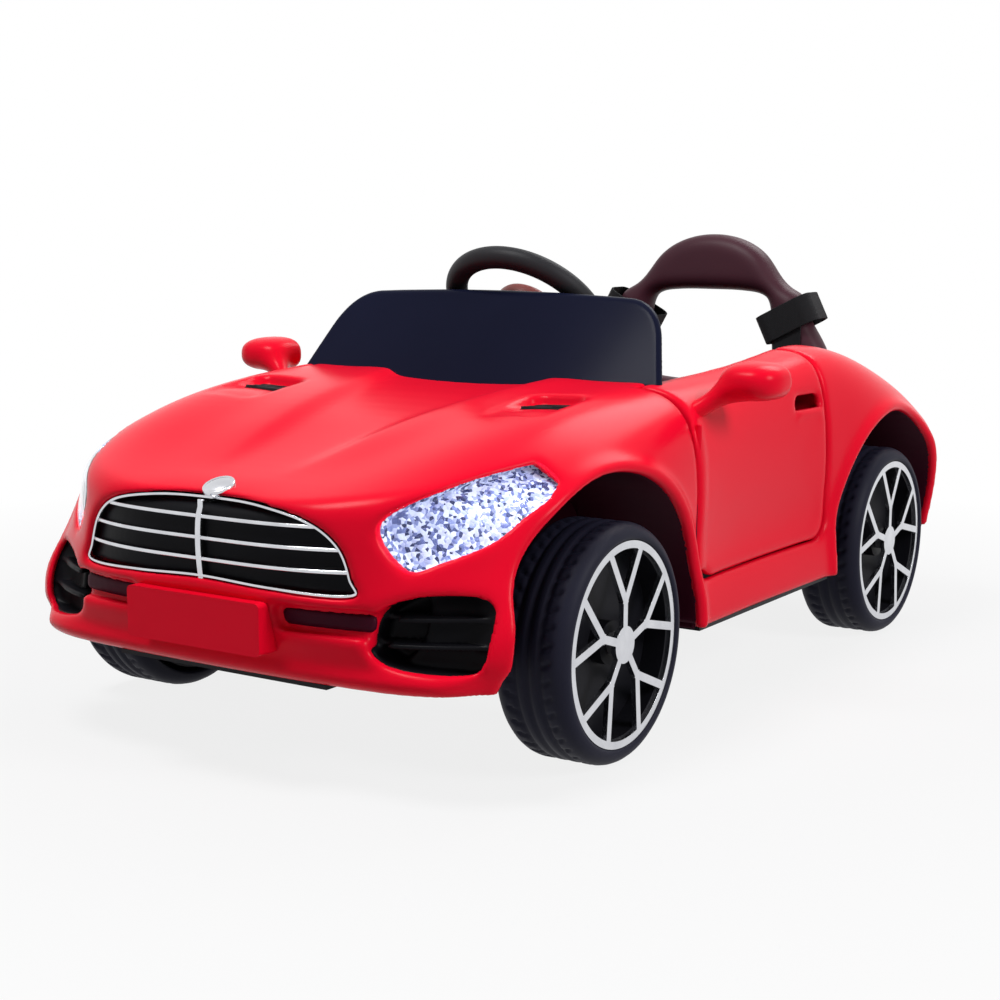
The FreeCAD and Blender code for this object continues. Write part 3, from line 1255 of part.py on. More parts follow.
def trim():
    """Bright wheel cover: ring, hub disc and forked spokes."""
    back = WHEEL_FACE_X - TRIM_INSET - TRIM_THICKNESS
    front = WHEEL_FACE_X - TRIM_INSET
    ring = ring_profile([(back, TRIM_RING_RADIUS - TRIM_RING_WIDTH), (back, TRIM_RING_RADIUS),
                         (front, TRIM_RING_RADIUS), (front, TRIM_RING_RADIUS - TRIM_RING_WIDTH)])
    disc = rod(TRIM_HUB_RADIUS, Vector(back, 0, 0), Vector(front, 0, 0))
    reach = TRIM_RING_RADIUS - TRIM_RING_WIDTH / 2
    fork = Vector(back, 0, reach * TRIM_FORK_SHARE)
    half = TRIM_SPOKE_WIDTH / 2
    pieces = [ring, disc]
    for i in range(TRIM_SPOKES):
        stem = box(back, front, -half, half, 0, fork.z)
        arms = [stem]
        for side in (-1, 1):
            angle = math.radians(side * TRIM_FORK_DEG)
            end = Vector(back, reach * math.sin(angle), reach * math.cos(angle))
            along = end - fork
            across = Vector(0, along.z, -along.y).normalize() * half
            tail = along * (half / along.Length)
            arms.append(closed_face([fork - tail + across, end + across, end - across,
                                     fork - tail - across])
                        .extrude(Vector(TRIM_THICKNESS, 0, 0)))
        spoke = arms[0].multiFuse(arms[1:])
        spoke.rotate(Vector(0, 0, 0), Vector(1, 0, 0), 360 * i / TRIM_SPOKES)
        pieces.append(spoke)
    return fused(pieces)


# Rear axle and drive

def rear_axle():
    """Steel rod right across under the seat."""
    end = Vector(stub_end_x(), REAR_AXLE_Y, AXLE_Z)
    return rod(AXLE_RADIUS, Vector(-end.x, end.y, end.z), end)


def axle_brackets():
    """Two blocks under the rear deck that take the axle."""
    half = AXLE_BRACKET_HALF
    block = box(AXLE_BRACKET_X - AXLE_BRACKET_WIDTH / 2, AXLE_BRACKET_X + AXLE_BRACKET_WIDTH / 2,
                REAR_AXLE_Y - half, REAR_AXLE_Y + half, AXLE_Z - half, PAN_REAR_DECK_Z)
    return [block, mirrored(block)]


def rear_axle_bore():
    """Running hole for the rear axle."""
    return rod(AXLE_RADIUS + RUN_GAP, Vector(-HALF_WIDTH, REAR_AXLE_Y, AXLE_Z),
               Vector(HALF_WIDTH, REAR_AXLE_Y, AXLE_Z))


def gearbox():
    """Hollow drive housing round the axle, driver's left."""
    y0 = REAR_AXLE_Y - GEARBOX_HALF_LENGTH
    y1 = REAR_AXLE_Y + GEARBOX_HALF_LENGTH
    case = box(GEARBOX_INNER_X, GEARBOX_OUTER_X, y0, y1, GEARBOX_BASE_Z, PAN_REAR_DECK_Z)
    hollow = box(GEARBOX_INNER_X + GEARBOX_WALL, GEARBOX_OUTER_X - GEARBOX_WALL, y0 + GEARBOX_WALL,
                 y1 - GEARBOX_WALL, GEARBOX_BASE_Z + GEARBOX_WALL, PAN_REAR_DECK_Z - GEARBOX_WALL)
    hole = rod(DRIVE_COLLAR_RADIUS + FIT_GAP,
               Vector(GEARBOX_OUTER_X - GEARBOX_WALL * 2, REAR_AXLE_Y, AXLE_Z),
               Vector(HALF_WIDTH, REAR_AXLE_Y, AXLE_Z))
    shaft = rod(PINION_SHAFT_RADIUS + FIT_GAP, pinion_centre(0),
                pinion_centre(GEARBOX_OUTER_X - GEARBOX_WALL * 2))
    return case.cut(hollow).cut(hole).cut(rear_axle_bore()).cut(shaft)


def gear_blank(teeth, tip, root, x0, x1, y, z, turn):
    """Spur gear with straight-sided teeth about an axis along X."""
    points = []
    pitch = 360 / teeth
    for i in range(teeth):
        for share, radius in ((-TOOTH_ROOT_SHARE, root), (-TOOTH_TIP_SHARE, tip),
                              (TOOTH_TIP_SHARE, tip), (TOOTH_ROOT_SHARE, root)):
            angle = math.radians(pitch * (i + share) + turn)
            points.append(Vector(x0, y + radius * math.sin(angle), z + radius * math.cos(angle)))
    return closed_face(points).extrude(Vector(x1 - x0, 0, 0))


def gear_mesh_x():
    """Inner and outer side of the gear teeth inside the housing."""
    start = GEARBOX_INNER_X + GEARBOX_WALL + GEAR_SIDE_GAP
    return start, start + DRIVE_GEAR_WIDTH


def drive_gear():
    """Large gear on the wheel's side of the axle, with the collar that drives the hub."""
    x0, x1 = gear_mesh_x()
    gear = gear_blank(DRIVE_GEAR_TEETH, drive_tip_radius(), drive_tip_radius() - TOOTH_DEPTH, x0, x1,
                      REAR_AXLE_Y, AXLE_Z, 0)
    collar = rod(DRIVE_COLLAR_RADIUS, Vector(x1, REAR_AXLE_Y, AXLE_Z),
                 Vector(wheel_inner_x(), REAR_AXLE_Y, AXLE_Z))
    return gear.fuse(collar).cut(rear_axle_bore())


def drive_tip_radius():
    """Tip radius of the large gear."""
    return GEAR_MODULE * DRIVE_GEAR_TEETH / 2 + TOOTH_DEPTH / 2


def pinion_tip_radius():
    """Tip radius of the motor pinion."""
    return GEAR_MODULE * PINION_TEETH / 2 + TOOTH_DEPTH / 2


def pinion_centre(x):
    """Point on the motor shaft, set forward and up from the axle at the gears' centre distance."""
    distance = GEAR_MODULE * (DRIVE_GEAR_TEETH + PINION_TEETH) / 2 + MESH_GAP
    angle = math.radians(PINION_ANGLE_DEG)
    return Vector(x, REAR_AXLE_Y - distance * math.cos(angle), AXLE_Z + distance * math.sin(angle))


def pinion_turn():
    """Angle of the pinion at which a gap of it takes a tooth of the large gear."""
    line = PINION_ANGLE_DEG - 90
    pitch = 360 / DRIVE_GEAR_TEETH
    offset = line - pitch * round(line / pitch)
    return line + 180 + offset * DRIVE_GEAR_TEETH / PINION_TEETH + 180 / PINION_TEETH


def motor_pinion():
    """Small gear on the motor's shaft, with a stretch of the shaft."""
    x0, x1 = gear_mesh_x()
    centre = pinion_centre(x0)
    gear = gear_blank(PINION_TEETH, pinion_tip_radius(), pinion_tip_radius() - TOOTH_DEPTH, x0, x1,
                      centre.y, centre.z, pinion_turn())
    shaft = rod(PINION_SHAFT_RADIUS, pinion_centre(GEARBOX_INNER_X - PINION_SHAFT_IN), centre)
    return gear.fuse(shaft)


def drive_motor():
    """Can motor on the inner side of the drive housing, driver's left."""
    start = pinion_centre(GEARBOX_INNER_X - MOTOR_LENGTH)
    end = pinion_centre(GEARBOX_INNER_X)
    can = rod(MOTOR_RADIUS, start, end)
    boss = rod(MOTOR_RADIUS / 3, start - Vector(MOTOR_RADIUS / 3, 0, 0), start)
    bore = rod(PINION_SHAFT_RADIUS + RUN_GAP,
               pinion_centre(GEARBOX_INNER_X - PINION_SHAFT_IN - GEAR_SIDE_GAP), end)
    return can.fuse(boss).cut(bore)


# Battery and electrics

def floor_top():
    """Upper face of the floor pan."""
    return PAN_FLOOR_Z + PAN_WALL


def battery():
    """Sealed battery block on the floor, ahead of the seat."""
    block = box(-BATTERY_LENGTH / 2, BATTERY_LENGTH / 2, BATTERY_Y, BATTERY_Y + BATTERY_WIDTH,
                floor_top(), floor_top() + BATTERY_HEIGHT)
    upright = [edge for edge in block.Edges if edge.BoundBox.ZLength > BATTERY_HEIGHT / 2]
    block = block.makeFillet(BATTERY_ROUND, upright)
    posts = []
    for side in (-1, 1):
        base = Vector(side * BATTERY_LENGTH / 3, BATTERY_Y + BATTERY_WIDTH / 3,
                      floor_top() + BATTERY_HEIGHT)
        posts.append(rod(BATTERY_POST_RADIUS, base, base + Vector(0, 0, BATTERY_POST_HEIGHT)))
    return fused([block] + posts)


def charge_socket_rod(radius, depth, proud):
    """Round bar square to the switch face at the charging socket."""
    face = dash_profile_point(SWITCH_HEIGHT_SHARE) + Vector(SOCKET_X, 0, 0)
    return rod(radius, face - dash_normal() * depth, face + dash_normal() * proud)


def charge_socket():
    """Charging socket in the switch face, its mouth towards the driver."""
    flange = charge_socket_rod(SOCKET_FLANGE_RADIUS, 0, SOCKET_FLANGE_WALL)
    barrel = charge_socket_rod(SOCKET_RADIUS, SOCKET_LENGTH, 0)
    bore = charge_socket_rod(SOCKET_BORE, SOCKET_LENGTH - SOCKET_FLANGE_WALL, SOCKET_FLANGE_WALL)
    return flange.fuse(barrel).cut(bore)


# Dashboard, switches and pedal

def dash_profile_point(share):
    """Point on the sloping switch face of the dashboard, as a share of its height."""
    return Vector(0, DASH_REAR_Y - DASH_SLOPE * share, DASH_BASE_Z + (DASH_TOP_Z - DASH_BASE_Z) * share)


def dash_normal():
    """Direction out of the switch face, towards the driver."""
    rise = DASH_TOP_Z - DASH_BASE_Z
    return Vector(0, rise, DASH_SLOPE).normalize()


def dashboard(lining):
    """Black panel under the screen, with holes for the column, button, rocker and socket."""
    points = [
        Vector(-DASH_HALF_WIDTH, DASH_FRONT_Y, DASH_BASE_Z), Vector(-DASH_HALF_WIDTH, DASH_REAR_Y,
                                                                    DASH_BASE_Z),
        Vector(-DASH_HALF_WIDTH, DASH_REAR_Y - DASH_SLOPE, DASH_TOP_Z), Vector(-DASH_HALF_WIDTH,
                                                                               DASH_FRONT_Y, DASH_TOP_Z),
    ]
    block = closed_face(points).extrude(Vector(DASH_HALF_WIDTH * 2, 0, 0))
    lower = [edge for edge in block.Edges if edge.BoundBox.XLength > DASH_HALF_WIDTH
             and edge.BoundBox.YMin > DASH_FRONT_Y]
    block = block.makeFillet(DASH_ROUND, lower)
    tabs = []
    for side in (-1, 1):
        tab = box(min(side * DASH_TAB_X, side * DASH_HALF_WIDTH),
                  max(side * DASH_TAB_X, side * DASH_HALF_WIDTH),
                  DASH_TAB_FRONT_Y, DASH_FRONT_Y, DASH_BASE_Z, CREST_HEIGHT)
        tabs.append(tab.common(lining))
    panel = fused([block] + tabs)
    panel = panel.cut(rod(COLUMN_RADIUS + DASH_COLUMN_GAP, column_point(0), column_point(column_length())))
    well = start_button_rod(BUTTON_RADIUS + BUTTON_GAP,
                            BUTTON_LENGTH - BUTTON_PROUD + BUTTON_TRAVEL + BUTTON_GAP, 0)
    socket = charge_socket_rod(SOCKET_RADIUS + FIT_GAP, SOCKET_LENGTH + FIT_GAP, 0)
    return panel.cut(well).cut(rocker_cutter()).cut(socket)


def start_button_rod(radius, depth, proud):
    """Round bar square to the switch face at the start button."""
    face = dash_profile_point(SWITCH_HEIGHT_SHARE) + Vector(BUTTON_X, 0, 0)
    return rod(radius, face - dash_normal() * depth, face + dash_normal() * proud)


def start_button():
    """Round start button."""
    return start_button_rod(BUTTON_RADIUS, BUTTON_LENGTH - BUTTON_PROUD, BUTTON_PROUD)


def rocker_centre():
    """Turning point of the direction switch, under the switch face."""
    return dash_profile_point(SWITCH_HEIGHT_SHARE) + Vector(ROCKER_X, 0, 0) - dash_normal() * ROCKER_DEPTH


def rocker_rod(radius, half):
    """Round bar along X through the rocker's turning point."""
    centre = rocker_centre()
    return rod(radius, centre - Vector(half, 0, 0), centre + Vector(half, 0, 0))


def rocker_cutter():
    """Pocket of the direction switch with the holes of its pin."""
    pocket = rocker_rod(ROCKER_RADIUS + ROCKER_GAP, ROCKER_WIDTH / 2 + ROCKER_GAP)
    return pocket.fuse(rocker_rod(ROCKER_PIN_RADIUS + RUN_GAP, ROCKER_WIDTH))


def direction_switch():
    """Forward and reverse rocker with its pin and a raised thumb ridge."""
    centre = rocker_centre()
    drum = rocker_rod(ROCKER_RADIUS, ROCKER_WIDTH / 2).fuse(rocker_rod(ROCKER_PIN_RADIUS, ROCKER_WIDTH))
    tip = centre + dash_normal() * (ROCKER_RADIUS + ROCKER_THUMB)
    half = ROCKER_WIDTH / 2 - ROCKER_GAP
    ridge = rod(ROCKER_PIN_RADIUS, tip - Vector(half, 0, 0), tip + Vector(half, 0, 0))
    stem = Part.makeLoft([
        Part.makePolygon(strip(centre, half)), Part.makePolygon(strip(tip, half))], True, True)
    return fused([drum, ridge, stem])


def strip(centre, half):
    """Closed four-corner strip across the rocker at a point."""
    across = Vector(0, -dash_normal().z, dash_normal().y) * ROCKER_PIN_RADIUS
    side = Vector(half, 0, 0)
    corners = [centre - side - across, centre + side - across, centre + side + across,
               centre - side + across]
    return corners + corners[:1]


def pedal_pin_rod(radius, half):
    """Round bar along X on the pedal's hinge line."""
    return rod(radius, Vector(PEDAL_X - half, PEDAL_HINGE_Y, pedal_hinge_z()),
               Vector(PEDAL_X + half, PEDAL_HINGE_Y, pedal_hinge_z()))


def pedal_hinge_z():
    """Height of the pedal's hinge line over the floor."""
    return floor_top() + PEDAL_BARREL_RADIUS + PEDAL_EAR_WALL


def pedal_bracket():
    """Foot plate with two ears that carry the pedal's pin, moulded on the floor."""
    half = PEDAL_WIDTH / 2 + PEDAL_SIDE_GAP
    ears = []
    for side in (-1, 1):
        x0 = PEDAL_X + side * half
        x1 = x0 + side * PEDAL_EAR_WALL
        ear = box(min(x0, x1), max(x0, x1), PEDAL_HINGE_Y - PEDAL_BARREL_RADIUS,
                  PEDAL_HINGE_Y + PEDAL_BARREL_RADIUS,
                  floor_top(), pedal_hinge_z())
        knuckle_end = rod(PEDAL_BARREL_RADIUS, Vector(x0, PEDAL_HINGE_Y, pedal_hinge_z()),
                          Vector(x1, PEDAL_HINGE_Y, pedal_hinge_z()))
        ears.append(ear.fuse(knuckle_end))
    plate = box(PEDAL_X - half - PEDAL_EAR_WALL, PEDAL_X + half + PEDAL_EAR_WALL,
                PEDAL_HINGE_Y - PEDAL_BARREL_RADIUS,
                PEDAL_HINGE_Y + PEDAL_BARREL_RADIUS, floor_top(), floor_top() + PEDAL_EAR_WALL / 2)
    return ears + [plate]


def pedal():
    """Accelerator plate with grip ribs, its barrel and its pin, leaning up and forward."""
    half = PEDAL_WIDTH / 2
    hinge = Vector(PEDAL_X, PEDAL_HINGE_Y, pedal_hinge_z())
    plate = box(PEDAL_X - half, PEDAL_X + half, hinge.y - PEDAL_LENGTH, hinge.y,
                hinge.z - PEDAL_WALL / 2, hinge.z + PEDAL_WALL / 2)
    pieces = [plate]
    for i in range(PEDAL_RIBS):
        y = hinge.y - PEDAL_LENGTH * (i + 1) / (PEDAL_RIBS + 1)
        top = hinge.z + PEDAL_WALL / 2
        pieces.append(box(PEDAL_X - half + PEDAL_WALL, PEDAL_X + half - PEDAL_WALL, y, y + PEDAL_WALL,
                          top, top + PEDAL_RIB_HEIGHT))
    tread = fused(pieces)
    tread.rotate(hinge, Vector(1, 0, 0), -PEDAL_LEAN_DEG)
    barrel = pedal_pin_rod(PEDAL_BARREL_RADIUS, half)
    pin = pedal_pin_rod(PEDAL_PIN_RADIUS, half + PEDAL_SIDE_GAP + PEDAL_EAR_WALL)
    return fused([tread, barrel, pin])


# Seat and belt

def seat_floor():
    """Upper face of the rear deck, which carries the seat."""
    return PAN_REAR_DECK_Z + PAN_WALL


def seat_base():
    """Hard seat moulding with a shallow dished top and a box under its front."""
    block = box(-SEAT_HALF_WIDTH, SEAT_HALF_WIDTH, SEAT_FRONT_Y, SEAT_REAR_Y, seat_floor(), SEAT_TOP_Z)
    upper = [edge for edge in block.Edges if edge.BoundBox.ZMin > seat_floor()]
    block = block.makeFillet(SEAT_ROUND, upper)
    dish = box(-SEAT_HALF_WIDTH + SEAT_DISH_RIM, SEAT_HALF_WIDTH - SEAT_DISH_RIM,
               SEAT_FRONT_Y + SEAT_DISH_RIM,
               SEAT_REAR_Y - SEAT_DISH_RIM, SEAT_TOP_Z - SEAT_DISH, SEAT_TOP_Z + SEAT_DISH)
    upright = [edge for edge in dish.Edges if edge.BoundBox.ZLength > SEAT_DISH]
    dish = dish.makeFillet(SEAT_DISH_RIM, upright)
    skirt = box(-SEAT_HALF_WIDTH + SEAT_DISH_RIM, SEAT_HALF_WIDTH - SEAT_DISH_RIM, SEAT_SKIRT_Y,
                SEAT_SKIRT_Y + SEAT_SKIRT_WALL, floor_top(), seat_floor())
    return fused([block.cut(dish), skirt])


def lean_back(shape):
    """Shape leaned back about the foot of the seat back."""
    return turned(shape, Vector(0, HOOP_Y, seat_floor()), Vector(1, 0, 0), -HOOP_LEAN_DEG)


def hoop_points(shares):
    """Half outline of the seat back or its window seen from the front."""
    return [(x * HOOP_HALF_WIDTH, seat_floor() + z * HOOP_RISE) for x, z in shares]


def seat_back():
    """Dark moulded hoop behind the seat with a window right through it."""
    outer_half = hoop_points(HOOP_OUTER_SHARES)
    left = [Vector(x, HOOP_Y, z) for x, z in outer_half]
    right = [Vector(-point.x, point.y, point.z) for point in reversed(left[1:])]
    curve = Part.BSplineCurve()
    curve.interpolate(right + left)
    wire = Part.Wire([curve.toShape(), Part.makeLine(left[-1], right[0])])
    plate = Part.Face(wire).extrude(Vector(0, HOOP_DEPTH, 0))
    window_half = hoop_points(HOOP_WINDOW_SHARES)
    window_points = window_half + [(-x, z) for x, z in reversed(window_half[1:-1])]
    window = front_prism(window_points, HOOP_Y - OVERRUN, HOOP_Y + HOOP_DEPTH + OVERRUN)
    hoop = lean_back(plate.cut(window))
    below = box(-HALF_WIDTH, HALF_WIDTH, 0, CAR_LENGTH, 0, seat_floor())
    return hoop.cut(below)


def belt_strap():
    """Webbing looped round one leg of the seat back and laid down its front onto the seat."""
    front = HOOP_Y - BELT_GAP
    rear = HOOP_Y + HOOP_DEPTH + BELT_GAP
    wall = BELT_WALL
    inner = BELT_INNER_X - BELT_GAP
    outer = BELT_OUTER_X + BELT_GAP
    z0 = BELT_LOOP_Z - BELT_WIDTH / 2
    z1 = BELT_LOOP_Z + BELT_WIDTH / 2
    loop = box(inner - wall, outer + wall, front - wall, rear + wall, z0, z1)
    loop = loop.cut(box(inner, outer, front, rear, z0, z1))
    x0 = BELT_X - BELT_WIDTH / 2
    x1 = BELT_X + BELT_WIDTH / 2
    seat_rest = SEAT_TOP_Z + SEAT_GAP
    fall = box(x0, x1, front - wall, front, seat_rest, z0 + wall)
    strap = lean_back(loop.fuse(fall))
    lap = box(x0, x1, BUCKLE_Y + BUCKLE_LENGTH / 2, HOOP_Y - BELT_GAP, seat_rest, seat_rest + wall)
    return fused([strap, lap])


def belt_buckle():
    """Two plastic buckle halves at the ends of the straps, on the seat."""
    rest = SEAT_TOP_Z + SEAT_GAP
    block = box(BELT_X - BUCKLE_WIDTH / 2, BELT_X + BUCKLE_WIDTH / 2, BUCKLE_Y - BUCKLE_LENGTH / 2,
                BUCKLE_Y + BUCKLE_LENGTH / 2, rest, rest + BUCKLE_HEIGHT)
    upper = [edge for edge in block.Edges if edge.BoundBox.ZMin > rest]
    block = block.makeFillet(BUCKLE_ROUND, upper)
    slot = box(BELT_X - BUCKLE_WIDTH / 4, BELT_X + BUCKLE_WIDTH / 4, BUCKLE_Y - BUCKLE_LENGTH / 2,
               BUCKLE_Y - BUCKLE_LENGTH / 4, rest + BUCKLE_HEIGHT / 3, rest + BUCKLE_HEIGHT * 2 / 3)
    block = block.cut(slot)
    return group([block, mirrored(block)])


# Door fittings and fasteners

def latch_pivot():
    """Turning point of the inside door lever."""
    return Vector(DOOR_INNER_X, LATCH_Y, LATCH_Z)


def door_latch():
    """Black inside lever: an arm with a pull loop, on a pin through the door card."""
    pivot = latch_pivot()
    x0 = pivot.x - SEAT_GAP - LATCH_WALL
    x1 = pivot.x - SEAT_GAP
    half = LATCH_HEIGHT / 2
    boss = rod(half, Vector(x0, pivot.y, pivot.z), Vector(x1, pivot.y, pivot.z))
    arm = box(x0, x1, pivot.y, pivot.y + LATCH_LENGTH, pivot.z - half, pivot.z + half)
    finger = box(x0, x1, pivot.y + half * 2, pivot.y + LATCH_LENGTH - half, pivot.z - half / 2,
                 pivot.z + half / 2)
    pin = rod(LATCH_PIN_RADIUS, Vector(x0, pivot.y, pivot.z),
              Vector(pivot.x + DOOR_CARD_WALL, pivot.y, pivot.z))
    return fused([boss, arm, pin]).cut(finger)


def latch_bore():
    """Running hole of the lever's pin in the door card."""
    pivot = latch_pivot()
    return rod(LATCH_PIN_RADIUS + RUN_GAP, pivot - Vector(OVERRUN, 0, 0), pivot + Vector(OVERRUN, 0, 0))


def door_handle():
    """Outside pull on the door's skin."""
    bar = box(DOOR_INNER_X, HALF_WIDTH, HANDLE_Y - HANDLE_LENGTH / 2, HANDLE_Y + HANDLE_LENGTH / 2,
              HANDLE_Z - HANDLE_HEIGHT / 2, HANDLE_Z + HANDLE_HEIGHT / 2)
    return bar.common(body_form(-HANDLE_PROUD)).cut(body_form(-SEAT_GAP))


def pan_screws():
    """Screws up through the sill flanges into the body, heads below."""
    screws = []
    base = BODY_BOTTOM - PAN_WALL
    for share in SCREW_PLACE_SHARES:
        y = PAN_SILL_FRONT_Y + (PAN_SILL_REAR_Y - PAN_SILL_FRONT_Y) * share
        for side in (-1, 1):
            x = side * (PAN_SILL_X + PAN_FLANGE_X) / 2
            screws.append(rod(SCREW_HEAD_RADIUS, Vector(x, y, base - SCREW_HEAD_HEIGHT),
                              Vector(x, y, base)))
    return group(screws)


# All nodes, placed

def at_axle(shape, y):
    """Wheel piece moved from its own axle line to an axle of the car."""
    return moved(shape, 0, y, AXLE_Z)


def both_sides(shape):
    """One node with the piece and its mirror image."""
    return group([shape, mirrored(shape)])


def all_nodes():
    """Every node of the car by name."""
    outer = body_form(0)
    hollow = body_form(BODY_WALL)
    lining = body_form(BODY_WALL + SEAT_GAP)
    grown_body = body_form(-SEAT_GAP)
    nodes = {
        "body_shell": body_shell(outer, hollow),
        "chassis_pan": chassis_pan(),
        "wheel_liners": wheel_liners(),
        "grille_panel": grille_panel(),
        "grille_bars": grille_bars(),
        "nose_badge": badge(outer),
        "number_plates": number_plates(outer),
        "windscreen": windscreen(),
        "tail_lamps": tail_lamps(),
        "door_hinge_pins": hinge_pins(),
        "dashboard": dashboard(lining),
        "start_button": start_button(),
        "direction_switch": direction_switch(),
        "accelerator_pedal": pedal(),
        "seat_base": seat_base(),
        "seat_back": seat_back(),
        "belt_straps": both_sides(belt_strap()),
        "belt_buckle": belt_buckle(),
        "steering_wheel": steering_wheel(),
        "horn_button": horn_button(),
        "steering_column": steering_column(),
        "tie_rod": tie_rod(),
        "front_axle_beam": group([front_axle_beam(), king_pins()]),
        "battery": battery(),
        "charge_socket": charge_socket(),
        "pan_screws": pan_screws(),
    }
    singles = {
        "headlamp_lenses": lamp_lens(),
        "headlamp_bowls": lamp_bowl(),
        "intake_grilles": intake_grille(),
        "gearbox_housings": gearbox(),
        "drive_motors": drive_motor(),
    }
    for name, shape in singles.items():
        nodes[name] = both_sides(shape)
    nut = axle_nut()
    pairs = {
        "door_skin": group([door_skin(outer, hollow), door_handle()]),
        "door_card": door_card(lining).cut(latch_bore()),
        "door_latch": door_latch(),
        "mirror_housing": mirror_housing(grown_body),
        "mirror_glass": mirror_glass(),
        "steering_knuckle": group([knuckle(), at_axle(nut, FRONT_AXLE_Y)]),
        "drive_gear": drive_gear(),
        "motor_pinion": motor_pinion(),
    }
    wheel_pieces = {"tyre": tyre(), "rim": rim(), "wheel_trim": trim()}
    for place, y in (("front", FRONT_AXLE_Y), ("rear", REAR_AXLE_Y)):
        for name, shape in wheel_pieces.items():
            pairs[f"{name}_{place}"] = at_axle(shape, y)
    for name, shape in pairs.items():
        nodes[name + "_left"] = shape
        nodes[name + "_right"] = mirrored(shape)
    nodes["rear_axle"] = group([rear_axle(), both_sides(at_axle(nut, REAR_AXLE_Y))])
    return nodes


def main():
    """Write one file for each node."""
    os.makedirs("parts", exist_ok=True)
    for name, shape in all_nodes().items():
        shape.exportStep(f"parts/{name}.step")


main()
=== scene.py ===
"""Looks of a child's battery ride-on roadster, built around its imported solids.

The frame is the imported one: metres, nose to -Y, driver's left to +X, Z up, ground at zero.
Shapes that follow the body are worked out in millimetres and turned to metres at the end.
"""

from __future__ import annotations

import logging
import math
from dataclasses import dataclass
from enum import Enum
from functools import reduce
from typing import Sequence

import bmesh
import bpy
import numpy as np
from mathutils import Matrix, Vector

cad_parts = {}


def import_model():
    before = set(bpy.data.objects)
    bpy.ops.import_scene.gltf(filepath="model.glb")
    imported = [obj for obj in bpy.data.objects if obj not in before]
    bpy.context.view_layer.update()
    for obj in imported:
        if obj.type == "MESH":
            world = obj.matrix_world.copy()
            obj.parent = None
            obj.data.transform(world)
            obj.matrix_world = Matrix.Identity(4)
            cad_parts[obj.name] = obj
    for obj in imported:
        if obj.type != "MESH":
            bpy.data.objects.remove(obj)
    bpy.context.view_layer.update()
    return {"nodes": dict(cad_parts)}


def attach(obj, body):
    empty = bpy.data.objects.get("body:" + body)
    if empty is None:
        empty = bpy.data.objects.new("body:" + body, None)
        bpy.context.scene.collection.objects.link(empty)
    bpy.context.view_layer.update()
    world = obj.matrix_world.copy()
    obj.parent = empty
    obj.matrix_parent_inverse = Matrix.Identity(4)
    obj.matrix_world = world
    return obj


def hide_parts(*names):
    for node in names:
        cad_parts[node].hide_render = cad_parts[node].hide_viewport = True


LOG = logging.getLogger("ride_on_car")
MM = 0.001
# Distance in millimetres that is well outside of any pocket, one that no section reaches, and the least divisor
FAR, BEYOND, TINY = 50.0, 1e6, 1e-9
# Rounds, largest move and share of a move while a skin settles on its field
SETTLE_ROUNDS, SETTLE_LIMIT, SETTLE_SHARE = 3, 0.6, 0.7
# Steps round a turned piece, and rounding of a strip's edges as a share of its thickness
LATHE_STEPS, STRIP_ROUND = 48, 0.3
Pair = tuple[float, float]
Triple = tuple[float, float, float]
Points = Sequence[Pair]
Array = np.ndarray
Axes = Sequence[Array]
Piece = bpy.types.Object
Tree = bpy.types.NodeTree
Socket = bpy.types.NodeSocket


class Side(Enum):
    """The two sides of the car; the value is the sign of X."""

    LEFT = 1
    RIGHT = -1

    @property
    def word(self) -> str:
        """Name of the side as the nodes spell it."""
        return self.name.lower()


# Curves and fields


def spline_weights(count: int, places: Array) -> Array:
    """Weights of a clamped cubic row of control points.

    Args:
        count: Number of control points.
        places: Parameters from 0 to count - 3.

    Returns:
        One row of weights for each place.
    """
    spans = count - 3
    knots = np.concatenate([np.zeros(4), np.arange(1, spans), np.full(4, spans)])
    places = np.clip(places, 0, spans - TINY)[:, None]
    weights = ((places >= knots[:-1]) & (places < knots[1:])).astype(float)
    for degree in (1, 2, 3):
        kept = weights.shape[1] - 1
        start, end = knots[:kept], knots[degree : degree + kept]
        after, last = knots[1 : kept + 1], knots[degree + 1 : degree + 1 + kept]
        rise = (places - start) / np.where(end > start, end - start, np.inf)
        fall = (last - places) / np.where(last > after, last - after, np.inf)
        weights = rise * weights[:, :kept] + fall * weights[:, 1:]
    return weights


def smooth_through(places: Array, values: Array, wanted: Array) -> Array:
    """Natural cubic curve through given values.

    Args:
        places: Rising parameters of the values.
        values: Values, one row for each place.
        wanted: Parameters to read the curve at.

    Returns:
        The curve's values, one row for each wanted parameter.
    """
    count = len(places)
    gaps = np.diff(places)
    matrix = np.eye(count)
    right = np.zeros((count,) + values.shape[1:])
    slopes = np.diff(values, axis=0) / gaps.reshape((-1,) + (1,) * (values.ndim - 1))
    for i in range(1, count - 1):
        matrix[i, i - 1 : i + 2] = gaps[i - 1], 2 * (gaps[i - 1] + gaps[i]), gaps[i]
        right[i] = 6 * (slopes[i] - slopes[i - 1])
    bends = np.linalg.solve(matrix, right.reshape(count, -1)).reshape(right.shape)
    cell = np.clip(np.searchsorted(places, wanted) - 1, 0, count - 2)
    shape = (-1,) + (1,) * (values.ndim - 1)
    gap = gaps[cell].reshape(shape)
    low = ((places[cell + 1] - wanted)).reshape(shape) / gap
    high = 1 - low
    curve = low * values[cell] + high * values[cell + 1]
    return curve + ((low**3 - low) * bends[cell] + (high**3 - high) * bends[cell + 1]) * gap**2 / 6


